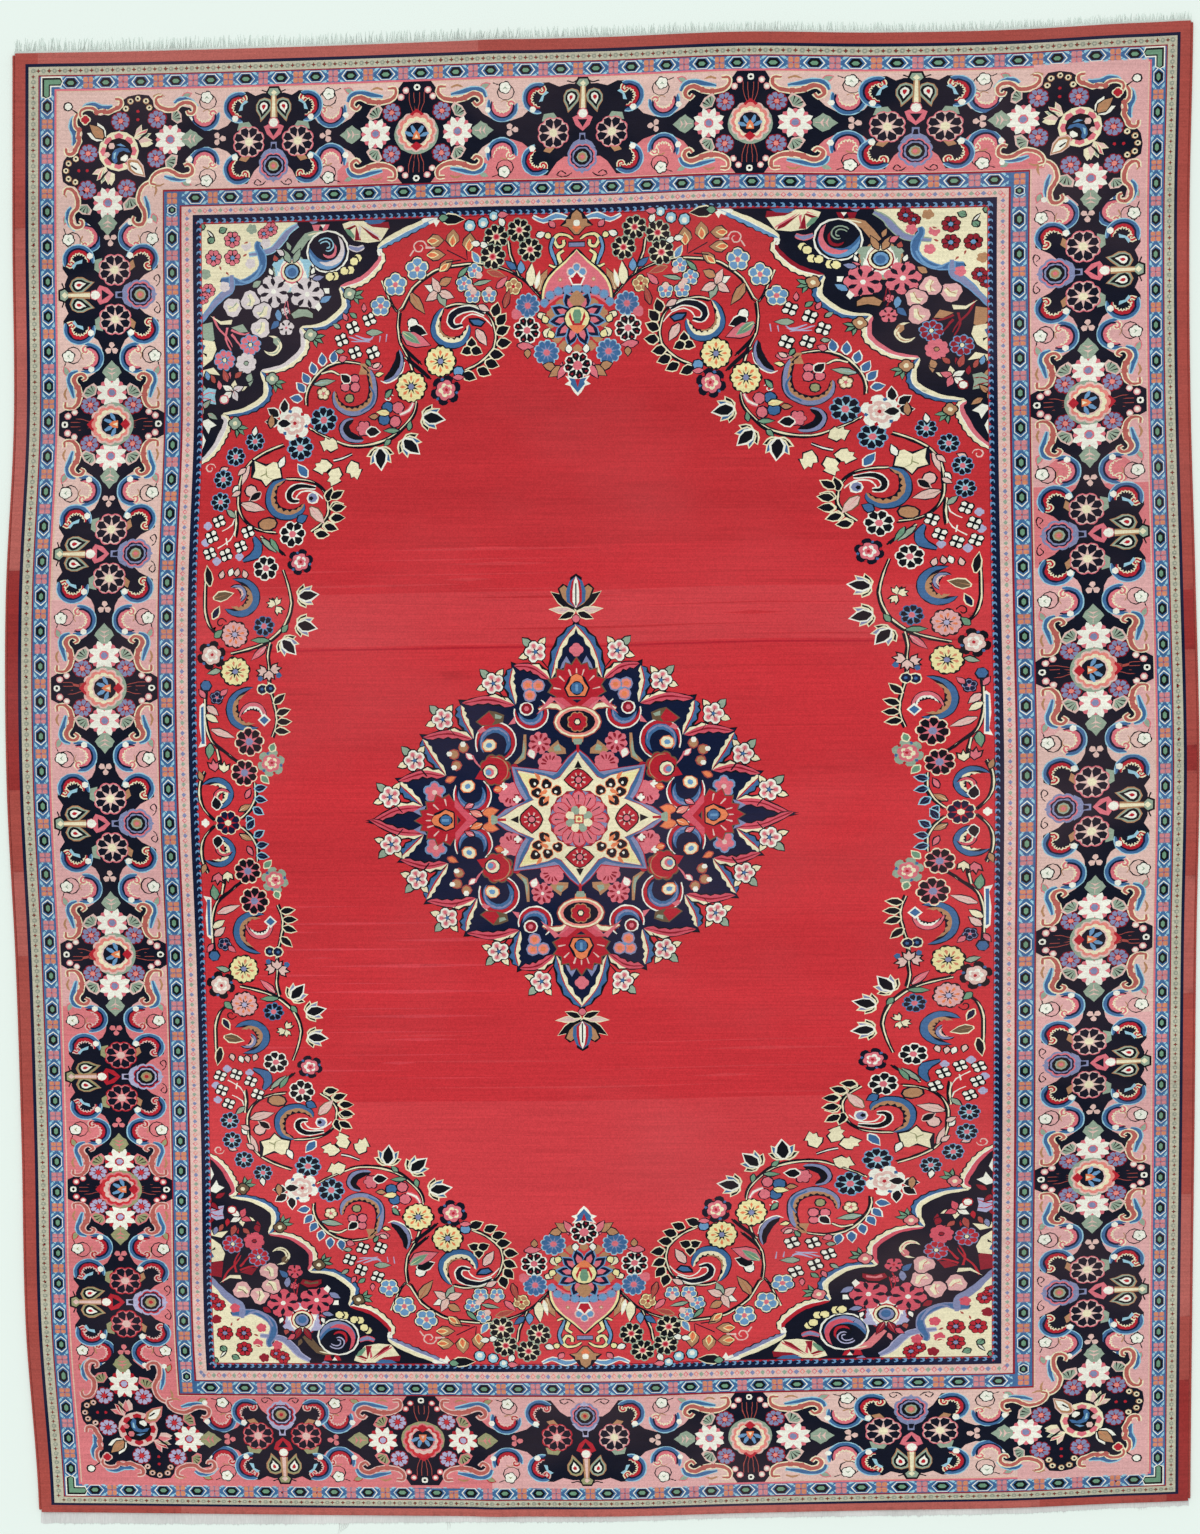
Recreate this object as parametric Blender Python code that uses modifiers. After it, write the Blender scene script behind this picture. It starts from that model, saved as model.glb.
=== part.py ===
"""A hand-knotted wool rug, lying flat on a floor.

Metres, +Z up. The rug's length runs along Y and its width along X. The origin is on the floor, under the
middle of the rug's bounding box. The pieces are the knotted body, the overcast selvedge along each side,
the warp fringe at the far end and the woven cotton web at the near end.
"""
import math
import random

import bpy

MM = 0.001

# Driving dimensions of the rug.
RUG_WIDTH = 2.600
RUG_LENGTH = 3.230
RUG_THICKNESS = 11 * MM
RIM_ROUNDING = 3 * MM
PIECE_GAP = 0.3 * MM

# The overcast selvedge, a roll of wool along each side.
SELVEDGE_RADIUS = 3.5 * MM
SELVEDGE_END_INSET = 4 * MM
BODY_INSET = 2 * SELVEDGE_RADIUS + PIECE_GAP

# The body's mesh. Its columns stand closer together across the crease.
BODY_ROWS = 30
CREASE_COLUMNS = 12
PLAIN_COLUMNS_LEFT = 11
PLAIN_COLUMNS_RIGHT = 17

# The crease that long storage left along the rug, and how much higher it stands at the two ends.
CREASE_X = -0.233
CREASE_HALF_WIDTH = 0.120
CREASE_SPREAD = 0.034
CREASE_HEIGHT = 2.0 * MM
CREASE_END_HEIGHT = 4.5 * MM
CREASE_END_REACH = 0.22

# The fringe of warp ends, in locks.
FRINGE_LOCKS = 190
FRINGE_THICKNESS = 2 * MM
FRINGE_ROOT_DEPTH = 6 * MM
FRINGE_LENGTH_LEFT = 25 * MM
FRINGE_LENGTH_RIGHT = 15 * MM
FRINGE_LENGTH_SPREAD = 0.28
LOCK_ROOT_SHARE = 0.62
LOCK_TIP_SHARE = 0.30
LOCK_LEAN_SHARE = 0.25

# The woven cotton web at the near end.
WEB_THICKNESS = 2.5 * MM
WEB_STEPS = 120
WEB_RAGGED = 1.2 * MM
WEB_END_SLANT = 12 * MM
FRAY_PITCH = 5 * MM
FRAY_WIDTH = 2 * MM
FRAY_TAPER = 0.12
FRAY_FAN = 0.2

SEED = 7

# How far each side edge lies from the straight one, towards +X, in millimetres.
# along the rug in metres, left edge, right edge
SIDE_EDGES = [
    (-1.60, 64, -4),
    (-1.20, 35, 0),
    (-0.80, 26, 5),
    (-0.40, 13, 9),
    (0.00, -7, 16),
    (0.40, -9, 7),
    (0.80, 9, -4),
    (1.20, 6, -6),
    (1.60, 6, 2),
]

# How far each end edge lies from the straight one, towards +Y, in millimetres.
# across the rug in metres, near edge, far edge
END_EDGES = [
    (-1.20, -22, -46),
    (-0.90, -25, -40),
    (-0.60, -28, -31),
    (-0.30, -30, -20),
    (0.00, -31, -12),
    (0.30, -23, 0),
    (0.60, -17, -2),
    (0.90, -12, 4),
    (1.20, 0, 20),
]

# How deep the near end's web is.
# across the rug in metres, depth in millimetres
WEB_DEPTHS = [
    (-1.30, 26),
    (-0.78, 23),
    (-0.26, 15),
    (0.26, 13),
    (0.78, 15),
    (1.30, 12),
]

# Where warps have worked loose from the web.
# across the rug in metres, how many, length in millimetres, lean in millimetres
FRAYS = [
    (-0.575, 5, 26, -5),
    (-0.340, 2, 17, 2),
    (1.180, 4, 9, 3),
]

# Colour, roughness and metallic value of each piece.
FINISHES = {
    "rug_body": ((0.56, 0.06, 0.06), 0.90, 0.0),
    "selvedge": ((0.42, 0.08, 0.06), 0.85, 0.0),
    "fringe_far": ((0.78, 0.77, 0.70), 0.88, 0.0),
    "web_near": ((0.68, 0.69, 0.62), 0.90, 0.0),
}


def smooth_read(table, column, place):
    """Reads a column of a table at any place, along a smooth curve through its evenly spaced rows."""
    first, pitch = table[0][0], table[1][0] - table[0][0]
    position = (place - first) / pitch
    row = max(0, min(len(table) - 2, int(position)))
    part = position - row
    before, start, end, after = (
        table[max(0, min(len(table) - 1, row + step))][column] for step in (-1, 0, 1, 2)
    )
    if not 0 <= part <= 1:
        return start + (end - start) * part
    slope_start, slope_end = (end - before) / 2, (after - start) / 2
    bend = 3 * (end - start) - 2 * slope_start - slope_end
    twist = 2 * (start - end) + slope_start + slope_end
    return start + slope_start * part + bend * part**2 + twist * part**3


def side_x(side, y, inset=0.0):
    """The X of the left (-1) or right (+1) edge at y, moved inwards by inset."""
    column = 1 if side < 0 else 2
    return side * (RUG_WIDTH / 2 - inset) + smooth_read(SIDE_EDGES, column, y) * MM


def end_y(end, x, outset=0.0):
    """The Y of the near (-1) or far (+1) edge at x, moved outwards by outset."""
    column = 1 if end < 0 else 2
    return end * (RUG_LENGTH / 2 + outset) + smooth_read(END_EDGES, column, x) * MM


def plan_place(u, v, inset=0.0):
    """Where a point of the straight rug, u and v from -1 to 1, lies on the floor. The sides move in by inset."""
    straight_x, straight_y = u * RUG_WIDTH / 2, v * RUG_LENGTH / 2
    left, right = side_x(-1, straight_y, inset), side_x(1, straight_y, inset)
    near, far = end_y(-1, straight_x), end_y(1, straight_x)
    return left + (right - left) * (u + 1) / 2, near + (far - near) * (v + 1) / 2


def crease_lift(x, y):
    """How high the crease lifts the rug off the floor."""
    away = (x - CREASE_X) / CREASE_SPREAD
    to_end = min(1.0, max(0.0, 1 - (RUG_LENGTH / 2 - abs(y)) / CREASE_END_REACH))
    height = CREASE_HEIGHT + (CREASE_END_HEIGHT - CREASE_HEIGHT) * to_end**2
    if abs(x - CREASE_X) > CREASE_HALF_WIDTH:
        return 0.0
    return height * math.exp(-0.5 * away**2)


def finish(name):
    """The material of a piece, made once."""
    found = bpy.data.materials.get(name)
    if found:
        return found
    colour, roughness, metallic = FINISHES[name]
    material = bpy.data.materials.new(name)
    material.use_nodes = True
    shader = material.node_tree.nodes["Principled BSDF"]
    shader.inputs["Base Color"].default_value = (*colour, 1)
    shader.inputs["Roughness"].default_value = roughness
    shader.inputs["Metallic"].default_value = metallic
    return material


def keep(piece, name, material, collection, holder):
    """Names a piece, gives it its material and puts it with the others."""
    piece.name = name
    piece.data.name = name
    piece.data.materials.append(finish(material))
    for other in list(piece.users_collection):
        other.objects.unlink(piece)
    collection.objects.link(piece)
    piece.parent = holder
    return piece


def body_columns():
    """The X of each column of the body's mesh on the straight rug, from -1 to 1."""
    half = RUG_WIDTH / 2
    left, right = (CREASE_X - CREASE_HALF_WIDTH) / half, (CREASE_X + CREASE_HALF_WIDTH) / half
    columns = [-1 + (left + 1) * i / PLAIN_COLUMNS_LEFT for i in range(PLAIN_COLUMNS_LEFT)]
    columns += [left + (right - left) * i / CREASE_COLUMNS for i in range(CREASE_COLUMNS)]
    columns += [right + (1 - right) * i / PLAIN_COLUMNS_RIGHT for i in range(PLAIN_COLUMNS_RIGHT + 1)]
    return columns


def strip_inner_edge(end, left, right):
    """The inner edge of an end's strip, from left to right. It follows the body's own corners and columns."""
    body = [plan_place(u, end, BODY_INSET) for u in body_columns()]
    first, last = body[0][1], body[-1][1]
    edge = [(left, first), *body, (right, last)]
    return [(x, y + end * PIECE_GAP) for x, y in edge]


def make_body(collection, holder):
    """The knotted body: foundation and pile in one slab, with the rug's uneven outline and its crease."""
    columns = body_columns()
    count = len(columns) - 1
    bpy.ops.mesh.primitive_grid_add(x_subdivisions=count, y_subdivisions=BODY_ROWS, size=2)
    body = bpy.context.object
    for vertex in body.data.vertices:
        u = columns[round((vertex.co.x + 1) / 2 * count)]
        x, y = plan_place(u, vertex.co.y, BODY_INSET)
        vertex.co = (x, y, crease_lift(x, y))
    thickness = body.modifiers.new("thickness", "SOLIDIFY")
    thickness.thickness = RUG_THICKNESS
    thickness.offset = 1
    rim = body.modifiers.new("rim", "BEVEL")
    rim.limit_method = "ANGLE"
    rim.angle_limit = 1.0
    rim.width = RIM_ROUNDING
    rim.segments = 2
    return keep(body, "rug_body", "rug_body", collection, holder)


def make_selvedge(side, name, collection, holder):
    """The roll of wool that is wound over the outer warps of one side."""
    data = bpy.data.curves.new(name, "CURVE")
    data.dimensions = "3D"
    data.bevel_depth = SELVEDGE_RADIUS
    data.bevel_resolution = 2
    data.use_fill_caps = True
    line = data.splines.new("POLY")
    line.points.add(BODY_ROWS)
    last = 1 - 2 * SELVEDGE_END_INSET / RUG_LENGTH
    for i, point in enumerate(line.points):
        v = max(-last, min(last, 2 * i / BODY_ROWS - 1))
        point.co = (*plan_place(side, v, SELVEDGE_RADIUS), SELVEDGE_RADIUS, 1)
    roll = bpy.data.objects.new(name, data)
    return keep(roll, name, "selvedge", collection, holder)


def flat_piece(points, thickness, name):
    """A flat piece with this outline, lying on the floor."""
    data = bpy.data.curves.new(name, "CURVE")
    data.dimensions = "2D"
    data.fill_mode = "BOTH"
    data.extrude = thickness / 2
    line = data.splines.new("POLY")
    line.points.add(len(points) - 1)
    line.use_cyclic_u = True
    for point, (x, y) in zip(line.points, points):
        point.co = (x, y, 0, 1)
    piece = bpy.data.objects.new(name, data)
    piece.location.z = thickness / 2
    return piece


def end_span(end, inset):
    """The X of the left and right corners of an end, moved inwards by inset."""
    y = end * RUG_LENGTH / 2
    return side_x(-1, y, inset), side_x(1, y, inset)


def make_fringe(chance, collection, holder):
    """The warp ends at the far end, in locks that stand on a narrow woven strip."""
    left, right = end_span(1, SELVEDGE_RADIUS)
    pitch = (right - left) / FRINGE_LOCKS
    root = PIECE_GAP + FRINGE_ROOT_DEPTH
    outline = []
    for lock in range(FRINGE_LOCKS):
        middle = left + pitch * (lock + 0.5)
        share = (lock + 0.5) / FRINGE_LOCKS
        length = FRINGE_LENGTH_LEFT + (FRINGE_LENGTH_RIGHT - FRINGE_LENGTH_LEFT) * share
        length *= 1 + FRINGE_LENGTH_SPREAD * chance.uniform(-1, 1)
        lean = LOCK_LEAN_SHARE * pitch * chance.uniform(-1, 1)
        half_root, half_tip = pitch * LOCK_ROOT_SHARE / 2, pitch * LOCK_TIP_SHARE / 2
        tip = end_y(1, middle, root + length)
        outline.append((middle - half_root, end_y(1, middle - half_root, root)))
        outline.append((middle + lean - half_tip, tip))
        outline.append((middle + lean + half_tip, tip))
        outline.append((middle + half_root, end_y(1, middle + half_root, root)))
    outline.append((right, end_y(1, right, root)))
    outline += reversed(strip_inner_edge(1, left, right))
    outline.append((left, end_y(1, left, root)))
    fringe = flat_piece(outline, FRINGE_THICKNESS, "fringe_far")
    return keep(fringe, "fringe_far", "fringe_far", collection, holder)


def loose_warps():
    """Where each loose warp leaves the web, how far it reaches and how far its tip has slipped sideways."""
    warps = {}
    for place, count, length, lean in FRAYS:
        for i in range(count):
            reach = length * MM * (1 - FRAY_TAPER * i)
            slip = lean * MM * (1 + FRAY_FAN * i)
            warps[place + i * FRAY_PITCH] = (reach, slip)
    return warps


def web_edge(chance, left, right):
    """The worn outer edge of the near end's web, from left to right, with its loose warps."""
    warps = loose_warps()
    steps = [left + (right - left) * i / WEB_STEPS for i in range(1, WEB_STEPS)]
    steps = [x for x in steps if all(abs(x - root) > FRAY_PITCH / 2 for root in warps)]
    edge = []
    for x in sorted([left + WEB_END_SLANT, right, *warps, *steps]):
        depth = PIECE_GAP + smooth_read(WEB_DEPTHS, 1, x) * MM
        if x in warps:
            reach, slip = warps[x]
            tip = end_y(-1, x, depth + reach)
            edge.append((x - FRAY_WIDTH / 2, end_y(-1, x, depth)))
            edge.append((x + slip - FRAY_WIDTH / 4, tip))
            edge.append((x + slip + FRAY_WIDTH / 4, tip))
            edge.append((x + FRAY_WIDTH / 2, end_y(-1, x, depth)))
        else:
            edge.append((x, end_y(-1, x, depth + WEB_RAGGED * chance.uniform(-1, 1))))
    return [point for point in edge if point[0] >= left + WEB_END_SLANT]


def make_web(chance, collection, holder):
    """The plain cotton web that closes the near end, with a worn outer edge and a few loose warps."""
    left, right = end_span(-1, SELVEDGE_RADIUS)
    outline = [*reversed(strip_inner_edge(-1, left, right)), *web_edge(chance, left, right)]
    web = flat_piece(outline, WEB_THICKNESS, "web_near")
    return keep(web, "web_near", "web_near", collection, holder)


def centre_on_origin(parts, holder):
    """Moves the holder, so that the origin is under the middle of the rug's box."""
    bpy.context.view_layer.update()
    graph = bpy.context.evaluated_depsgraph_get()
    corners = [
        part.matrix_world @ vertex.co
        for part in parts
        for vertex in part.evaluated_get(graph).to_mesh().vertices
    ]
    for axis in (0, 1):
        places = [corner[axis] for corner in corners]
        holder.location[axis] = -(min(places) + max(places)) / 2


def main():
    for old in list(bpy.data.objects):
        bpy.data.objects.remove(old)
    collection = bpy.data.collections.new("persian_rug")
    bpy.context.scene.collection.children.link(collection)
    holder = bpy.data.objects.new("rug", None)
    collection.objects.link(holder)
    chance = random.Random(SEED)
    parts = [
        make_body(collection, holder),
        make_selvedge(-1, "selvedge_left", collection, holder),
        make_selvedge(1, "selvedge_right", collection, holder),
        make_fringe(chance, collection, holder),
        make_web(chance, collection, holder),
    ]
    centre_on_origin(parts, holder)


main()
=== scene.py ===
# %% [markdown]
# # A hand-knotted Persian rug
#
# The rug is knotted wool on a cotton foundation, 2.6 m wide and 3.2 m long. Nothing on it stands up but its
# pile, so almost all of its look is colour. A weaver knots it from a cartoon, a drawing of one quarter that is
# turned over for the others. This lesson works in the same way: it draws the cartoon with small curves and
# shapes, lays the shapes over each other, cuts them into one surface and gives every piece of it its dye.

# %% Setup
import math
import random

import bpy
import numpy as np
from mathutils.geometry import delaunay_2d_cdt
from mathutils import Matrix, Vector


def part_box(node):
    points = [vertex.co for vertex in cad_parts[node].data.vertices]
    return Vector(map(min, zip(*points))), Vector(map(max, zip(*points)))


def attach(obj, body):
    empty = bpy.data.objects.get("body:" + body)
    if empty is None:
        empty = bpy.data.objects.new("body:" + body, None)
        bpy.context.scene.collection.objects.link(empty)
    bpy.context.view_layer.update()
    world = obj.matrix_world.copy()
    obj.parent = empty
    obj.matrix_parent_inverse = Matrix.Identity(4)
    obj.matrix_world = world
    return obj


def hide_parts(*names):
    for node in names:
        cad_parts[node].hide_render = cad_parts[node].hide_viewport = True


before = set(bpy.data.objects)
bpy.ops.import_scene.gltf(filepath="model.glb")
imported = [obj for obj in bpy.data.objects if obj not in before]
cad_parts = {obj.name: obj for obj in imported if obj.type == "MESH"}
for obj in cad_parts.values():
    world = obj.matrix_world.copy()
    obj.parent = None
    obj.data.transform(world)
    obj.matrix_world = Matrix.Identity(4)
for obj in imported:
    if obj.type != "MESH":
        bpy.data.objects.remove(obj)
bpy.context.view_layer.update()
body_low, body_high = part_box("rug_body")
print("the knotted body lies between", body_low, "and", body_high)

# %% [markdown]
# ## The rug's own sizes
#
# These are the sizes of the solids, in metres: the straight rug that the loom would give, and how far its edges
# have crept out of line. The surface is built on the same curves, so it follows the solids everywhere.

# %% Sizes
MM = 0.001
TAU = 2 * math.pi
RUG_WIDTH, RUG_LENGTH = 2.600, 3.230
RUG_THICKNESS = 11 * MM
RIM_ROUNDING = 3 * MM
PIECE_GAP = 0.3 * MM
SELVEDGE_RADIUS = 3.5 * MM
SELVEDGE_END_INSET = 4 * MM
BODY_INSET = 2 * SELVEDGE_RADIUS + PIECE_GAP
BODY_ROWS, CREASE_COLUMNS, PLAIN_COLUMNS_LEFT, PLAIN_COLUMNS_RIGHT = 30, 12, 11, 17
CREASE_X, CREASE_HALF_WIDTH, CREASE_SPREAD = -0.233, 0.120, 0.034
CREASE_HEIGHT, CREASE_END_HEIGHT, CREASE_END_REACH = 2.0 * MM, 4.5 * MM, 0.22

# along the rug in metres, left edge, right edge in millimetres towards +X
SIDE_EDGES = [
    (-1.60, 64, -4), (-1.20, 35, 0), (-0.80, 26, 5), (-0.40, 13, 9), (0.00, -7, 16),
    (0.40, -9, 7), (0.80, 9, -4), (1.20, 6, -6), (1.60, 6, 2),
]
# across the rug in metres, near edge, far edge in millimetres towards +Y
END_EDGES = [
    (-1.20, -22, -46), (-0.90, -25, -40), (-0.60, -28, -31), (-0.30, -30, -20), (0.00, -31, -12),
    (0.30, -23, 0), (0.60, -17, -2), (0.90, -12, 4), (1.20, 0, 20),
]
# across the rug in metres, depth of the near web in millimetres
WEB_DEPTHS = [(-1.30, 26), (-0.78, 23), (-0.26, 15), (0.26, 13), (0.78, 15), (1.30, 12)]
print("the loom's rug:", RUG_WIDTH, "by", RUG_LENGTH, "m and", RUG_THICKNESS / MM, "mm thick")

# %% The curves of the edges
def smooth_read(table, column, place):
    """Reads a column of a table at any place, along a smooth curve through its evenly spaced rows."""
    rows = np.array(table, float)
    position = (np.asarray(place, float) - rows[0, 0]) / (rows[1, 0] - rows[0, 0])
    row = np.clip(position.astype(int), 0, len(rows) - 2)
    part = position - row
    values = np.pad(rows[:, column], 1, mode="edge")
    before, start, end, after = (values[row + i] for i in range(4))
    out, back = (end - before) / 2, (after - start) / 2
    bend, twist = 3 * (end - start) - 2 * out - back, 2 * (start - end) + out + back
    curve = start + out * part + bend * part**2 + twist * part**3
    return np.where((part >= 0) & (part <= 1), curve, start + (end - start) * part)


def side_x(side, y, inset=0.0):
    """The X of the left (-1) or right (+1) edge at y, moved inwards by inset."""
    return side * (RUG_WIDTH / 2 - inset) + smooth_read(SIDE_EDGES, 1 if side < 0 else 2, y) * MM


def end_y(end, x, outset=0.0):
    """The Y of the near (-1) or far (+1) edge at x, moved outwards by outset."""
    return end * (RUG_LENGTH / 2 + outset) + smooth_read(END_EDGES, 1 if end < 0 else 2, x) * MM


def plan_place(u, v, inset=0.0):
    """Where a point of the straight rug, u and v from -1 to 1, lies on the floor."""
    straight_x, straight_y = u * RUG_WIDTH / 2, v * RUG_LENGTH / 2
    left, right = side_x(-1, straight_y, inset), side_x(1, straight_y, inset)
    near, far = end_y(-1, straight_x), end_y(1, straight_x)
    return left + (right - left) * (u + 1) / 2, near + (far - near) * (v + 1) / 2


def crease_lift(x, y):
    """How high the crease that storage left lifts the rug off the floor."""
    to_end = np.clip(1 - (RUG_LENGTH / 2 - np.abs(y)) / CREASE_END_REACH, 0, 1)
    height = CREASE_HEIGHT + (CREASE_END_HEIGHT - CREASE_HEIGHT) * to_end**2
    away = (x - CREASE_X) / CREASE_SPREAD
    return np.where(np.abs(x - CREASE_X) > CREASE_HALF_WIDTH, 0.0, height * np.exp(-0.5 * away**2))


def body_columns():
    """The columns of the solid body across the straight rug, from -1 to 1."""
    left, right = ((CREASE_X + s * CREASE_HALF_WIDTH) / (RUG_WIDTH / 2) for s in (-1, 1))
    spans = ((-1, left, PLAIN_COLUMNS_LEFT), (left, right, CREASE_COLUMNS), (right, 1, PLAIN_COLUMNS_RIGHT))
    return np.array([a + (b - a) * i / n for a, b, n in spans for i in range(n)] + [1.0])


print(
    "the left edge is out of line by", round(float(side_x(-1, 1.5) + RUG_WIDTH / 2) / MM, 1),
    "mm at its far end"
)

# %% [markdown]
# ## Where the plan lies on the floor
#
# The solids were moved once, so that the origin is under the middle of the whole rug. The same move is read
# off the solid body here, instead of being guessed.

# %% The move
columns = body_columns()
rows = np.linspace(-1, 1, BODY_ROWS + 1)
rim_x = np.concatenate([plan_place(u, rows, BODY_INSET)[0] for u in (-1.0, 1.0)])
rim_y = np.concatenate([plan_place(columns, v, BODY_INSET)[1] for v in (-1.0, 1.0)])
SHIFT_X = (body_low[0] + body_high[0] - rim_x.min() - rim_x.max()) / 2
SHIFT_Y = (body_low[1] + body_high[1] - rim_y.min() - rim_y.max()) / 2
print("moved by", round(float(SHIFT_X), 5), round(float(SHIFT_Y), 5))

# %% [markdown]
# ## The dyes
#
# The wool was dyed in a few vats: reds from madder, blues and near-blacks from indigo, and pale yellows, greens
# and greys. The numbers are what a maker reads off a colour card, as they show in daylight. A dye is a colour
# of the face, not a picture, so the pile stays one surface and each face keeps the number of its dye.

# %% Dyes
DYES = {
    "red": (199, 50, 57), "madder": (178, 34, 48), "wine": (140, 26, 42), "brick": (166, 76, 68),
    "night": (14, 18, 34), "black": (14, 16, 24),
    "navy": (13, 24, 54), "blue": (62, 104, 150), "sky": (105, 150, 190), "pale": (150, 198, 214),
    "rose": (214, 112, 124),
    "salmon": (226, 136, 126), "blush": (221, 188, 178), "beige": (216, 186, 164), "cream": (232, 226, 190),
    "white": (236, 238, 224), "lemon": (232, 224, 164),
    "green": (108, 150, 122), "sage": (146, 166, 146), "orange": (226, 128, 84), "camel": (176, 132, 96),
    "violet": (128, 136, 172), "olive": (104, 84, 62), "rust": (150, 50, 48), "clay": (179, 96, 88),
    "shell": (218, 168, 166), "coral": (214, 122, 126),
    "poppy": (204, 62, 68), "cerise": (208, 64, 73), "ruby": (190, 48, 54),
    "stone": (188, 186, 164), "ash": (146, 152, 136), "mauve": (142, 120, 140), "tan": (208, 134, 102),
    "dusty": (206, 132, 136),
    "carmine": (206, 84, 100), "mist": (212, 204, 204), "lilac": (172, 172, 202), "moss": (150, 152, 112),
}
print("dyes on the shelf:", len(DYES))

# %% [markdown]
# ## The cartoon and its pens
#
# The cartoon is a list of flat shapes, each a dye and an outline. Curves could be Blender's own curve objects,
# but thousands of them would be slow to fill and hard to cut along each other. Plain lists of points are quick,
# and a place given as a function lets one drawing be moved, turned, mirrored and stretched without copying it.

# %% Places on the cartoon
RIM = 1.2
DRAWING = []


def paper(a, b):
    """The drawing's own coordinates: a across and b along the rug, from the middle of the medallion."""
    return a, b


def moved(where, x, y, turn=0.0, size=1.0, wide=1.0):
    """A place on another one: moved to x and y, turned, and made wider along its own first axis."""
    c, s = size * math.cos(turn), size * math.sin(turn)
    return lambda a, b: where(x + wide * a * c - b * s, y + wide * a * s + b * c)


def lay(where, dye, points):
    """Lays one flat shape of a dye over what is already drawn."""
    DRAWING.append((dye, [where(a, b) for a, b in points]))


def shapes_in(draw, *how):
    """How many shapes a motif takes: it is drawn once on the paper and taken off again."""
    before = len(DRAWING)
    draw(paper, *how)
    taken = len(DRAWING) - before
    del DRAWING[before:]
    return taken


print("a place moved by 3 and 4:", moved(paper, 3, 4)(0, 0))

# %% [markdown]
# ## Outlines
#
# Most shapes of the rug come from three outlines: a smooth curve through a few points, an oval and a flower
# head with petals. A curve with handles would miss the points between its ends. This one passes through all of
# them, and its slope at each is the one between the two neighbours, so points read off the rug can be used as
# they are.

# %% Outlines
def smooth(points, steps=4):
    """More points along the smooth curve through these ones."""
    ends = [points[0], *points, points[-1]]
    curve = []
    for i in range(1, len(points)):
        before, start, end, after = ends[i - 1 : i + 3]
        for step in range(steps):
            t = step / steps
            curve.append(
                tuple(
                    q + t * ((r - p) + t * ((2 * p - 5 * q + 4 * r - s) + t * (3 * q - 3 * r + s - p))) / 2
                    for p, q, r, s in zip(before, start, end, after)
                )
            )
    return [*curve, points[-1]]


def scaled(points, wide, tall):
    """An outline that is drawn for a motif of size one, made as wide and as tall as this one."""
    return [(a * wide, b * tall) for a, b in points]


def oval(radius, sides=8, wide=1.0):
    """An oval with a few straight sides, which at the size of a knot looks round."""
    return [
        (radius * wide * math.cos(TAU * i / sides), radius * math.sin(TAU * i / sides)) for i in range(sides)
    ]


def petalled(radius, petals, depth, sharp=0.7, turn=0.0, steps=4):
    """The outline of a flower head. The gaps between its petals reach in by depth, and sharp makes points."""
    points = []
    for i in range(petals * steps):
        angle = TAU * i / (petals * steps)
        reach = radius * (1 - depth + depth * abs(math.cos(petals * angle / 2)) ** sharp)
        points.append((reach * math.cos(angle + turn), reach * math.sin(angle + turn)))
    return points


print("a flower head of 8 petals has", len(petalled(1, 8, 0.2)), "points")

# %% [markdown]
# ## Lines, leaves and crescents
#
# A line in a rug is a narrow band of knots that gets wider and thinner. The pen below sets both sides of the
# band off from a path. A leaf is a lens, a daisy a ring of petals, and a horn a crescent along a spiral that
# gets tighter.

# %% Lines
def sides_of_line(points, widths):
    """The two sides of a line drawn with a pen whose width changes along it."""
    left, right = [], []
    for i, (x, y) in enumerate(points):
        ax, ay = points[max(0, i - 1)]
        bx, by = points[min(len(points) - 1, i + 1)]
        long = math.hypot(bx - ax, by - ay) or 1.0
        part = i / (len(points) - 1) * (len(widths) - 1)
        k = min(int(part), len(widths) - 2)
        half = (widths[k] + (widths[k + 1] - widths[k]) * (part - k)) / 2
        nx, ny = -(by - ay) / long * half, (bx - ax) / long * half
        left.append((x + nx, y + ny))
        right.append((x - nx, y - ny))
    return left, right


def lay_band(where, dye, left, right, run=4):
    """Lays the band between two sides in short runs, so that it may curl over itself."""
    for i in range(0, len(left) - 1, run):
        lay(where, dye, left[i : i + run + 1] + right[i : i + run + 1][::-1])


def line(where, dye, points, *widths, rim=None, steps=4):
    """A vine or stem through these points, with a rim of another dye."""
    path = smooth(points, steps) if len(points) > 2 else points
    if len(widths) == 1:
        widths = widths * 2
    if rim:
        lay_band(where, rim, *sides_of_line(path, [w + 2 * RIM for w in widths]))
    lay_band(where, dye, *sides_of_line(path, widths))


# %% Leaves, daisies and crescents
def leaf(where, x, y, turn, length, width, rim, fill, vein=None, bend=0.0):
    """A pointed leaf that grows from x and y."""
    here = moved(where, x, y, turn)
    lens = [(0, 0.25), (0.3, 1), (0.62, 0.85), (1, 0), (0.62, -0.85), (0.3, -1), (0, -0.25)]

    def outline(grow):
        """The leaf's outline, larger all round by grow."""
        return [
            (a * (length + 2 * grow) - grow, b * (width / 2 + grow) + bend * length * a * a) for a, b in lens
        ]

    lay(here, rim, outline(RIM))
    lay(here, fill, outline(0))
    if vein:
        lay(here, vein, [(0, 0.3), (0.75 * length, 0.4 * bend * length), (0, -0.3)])


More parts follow.
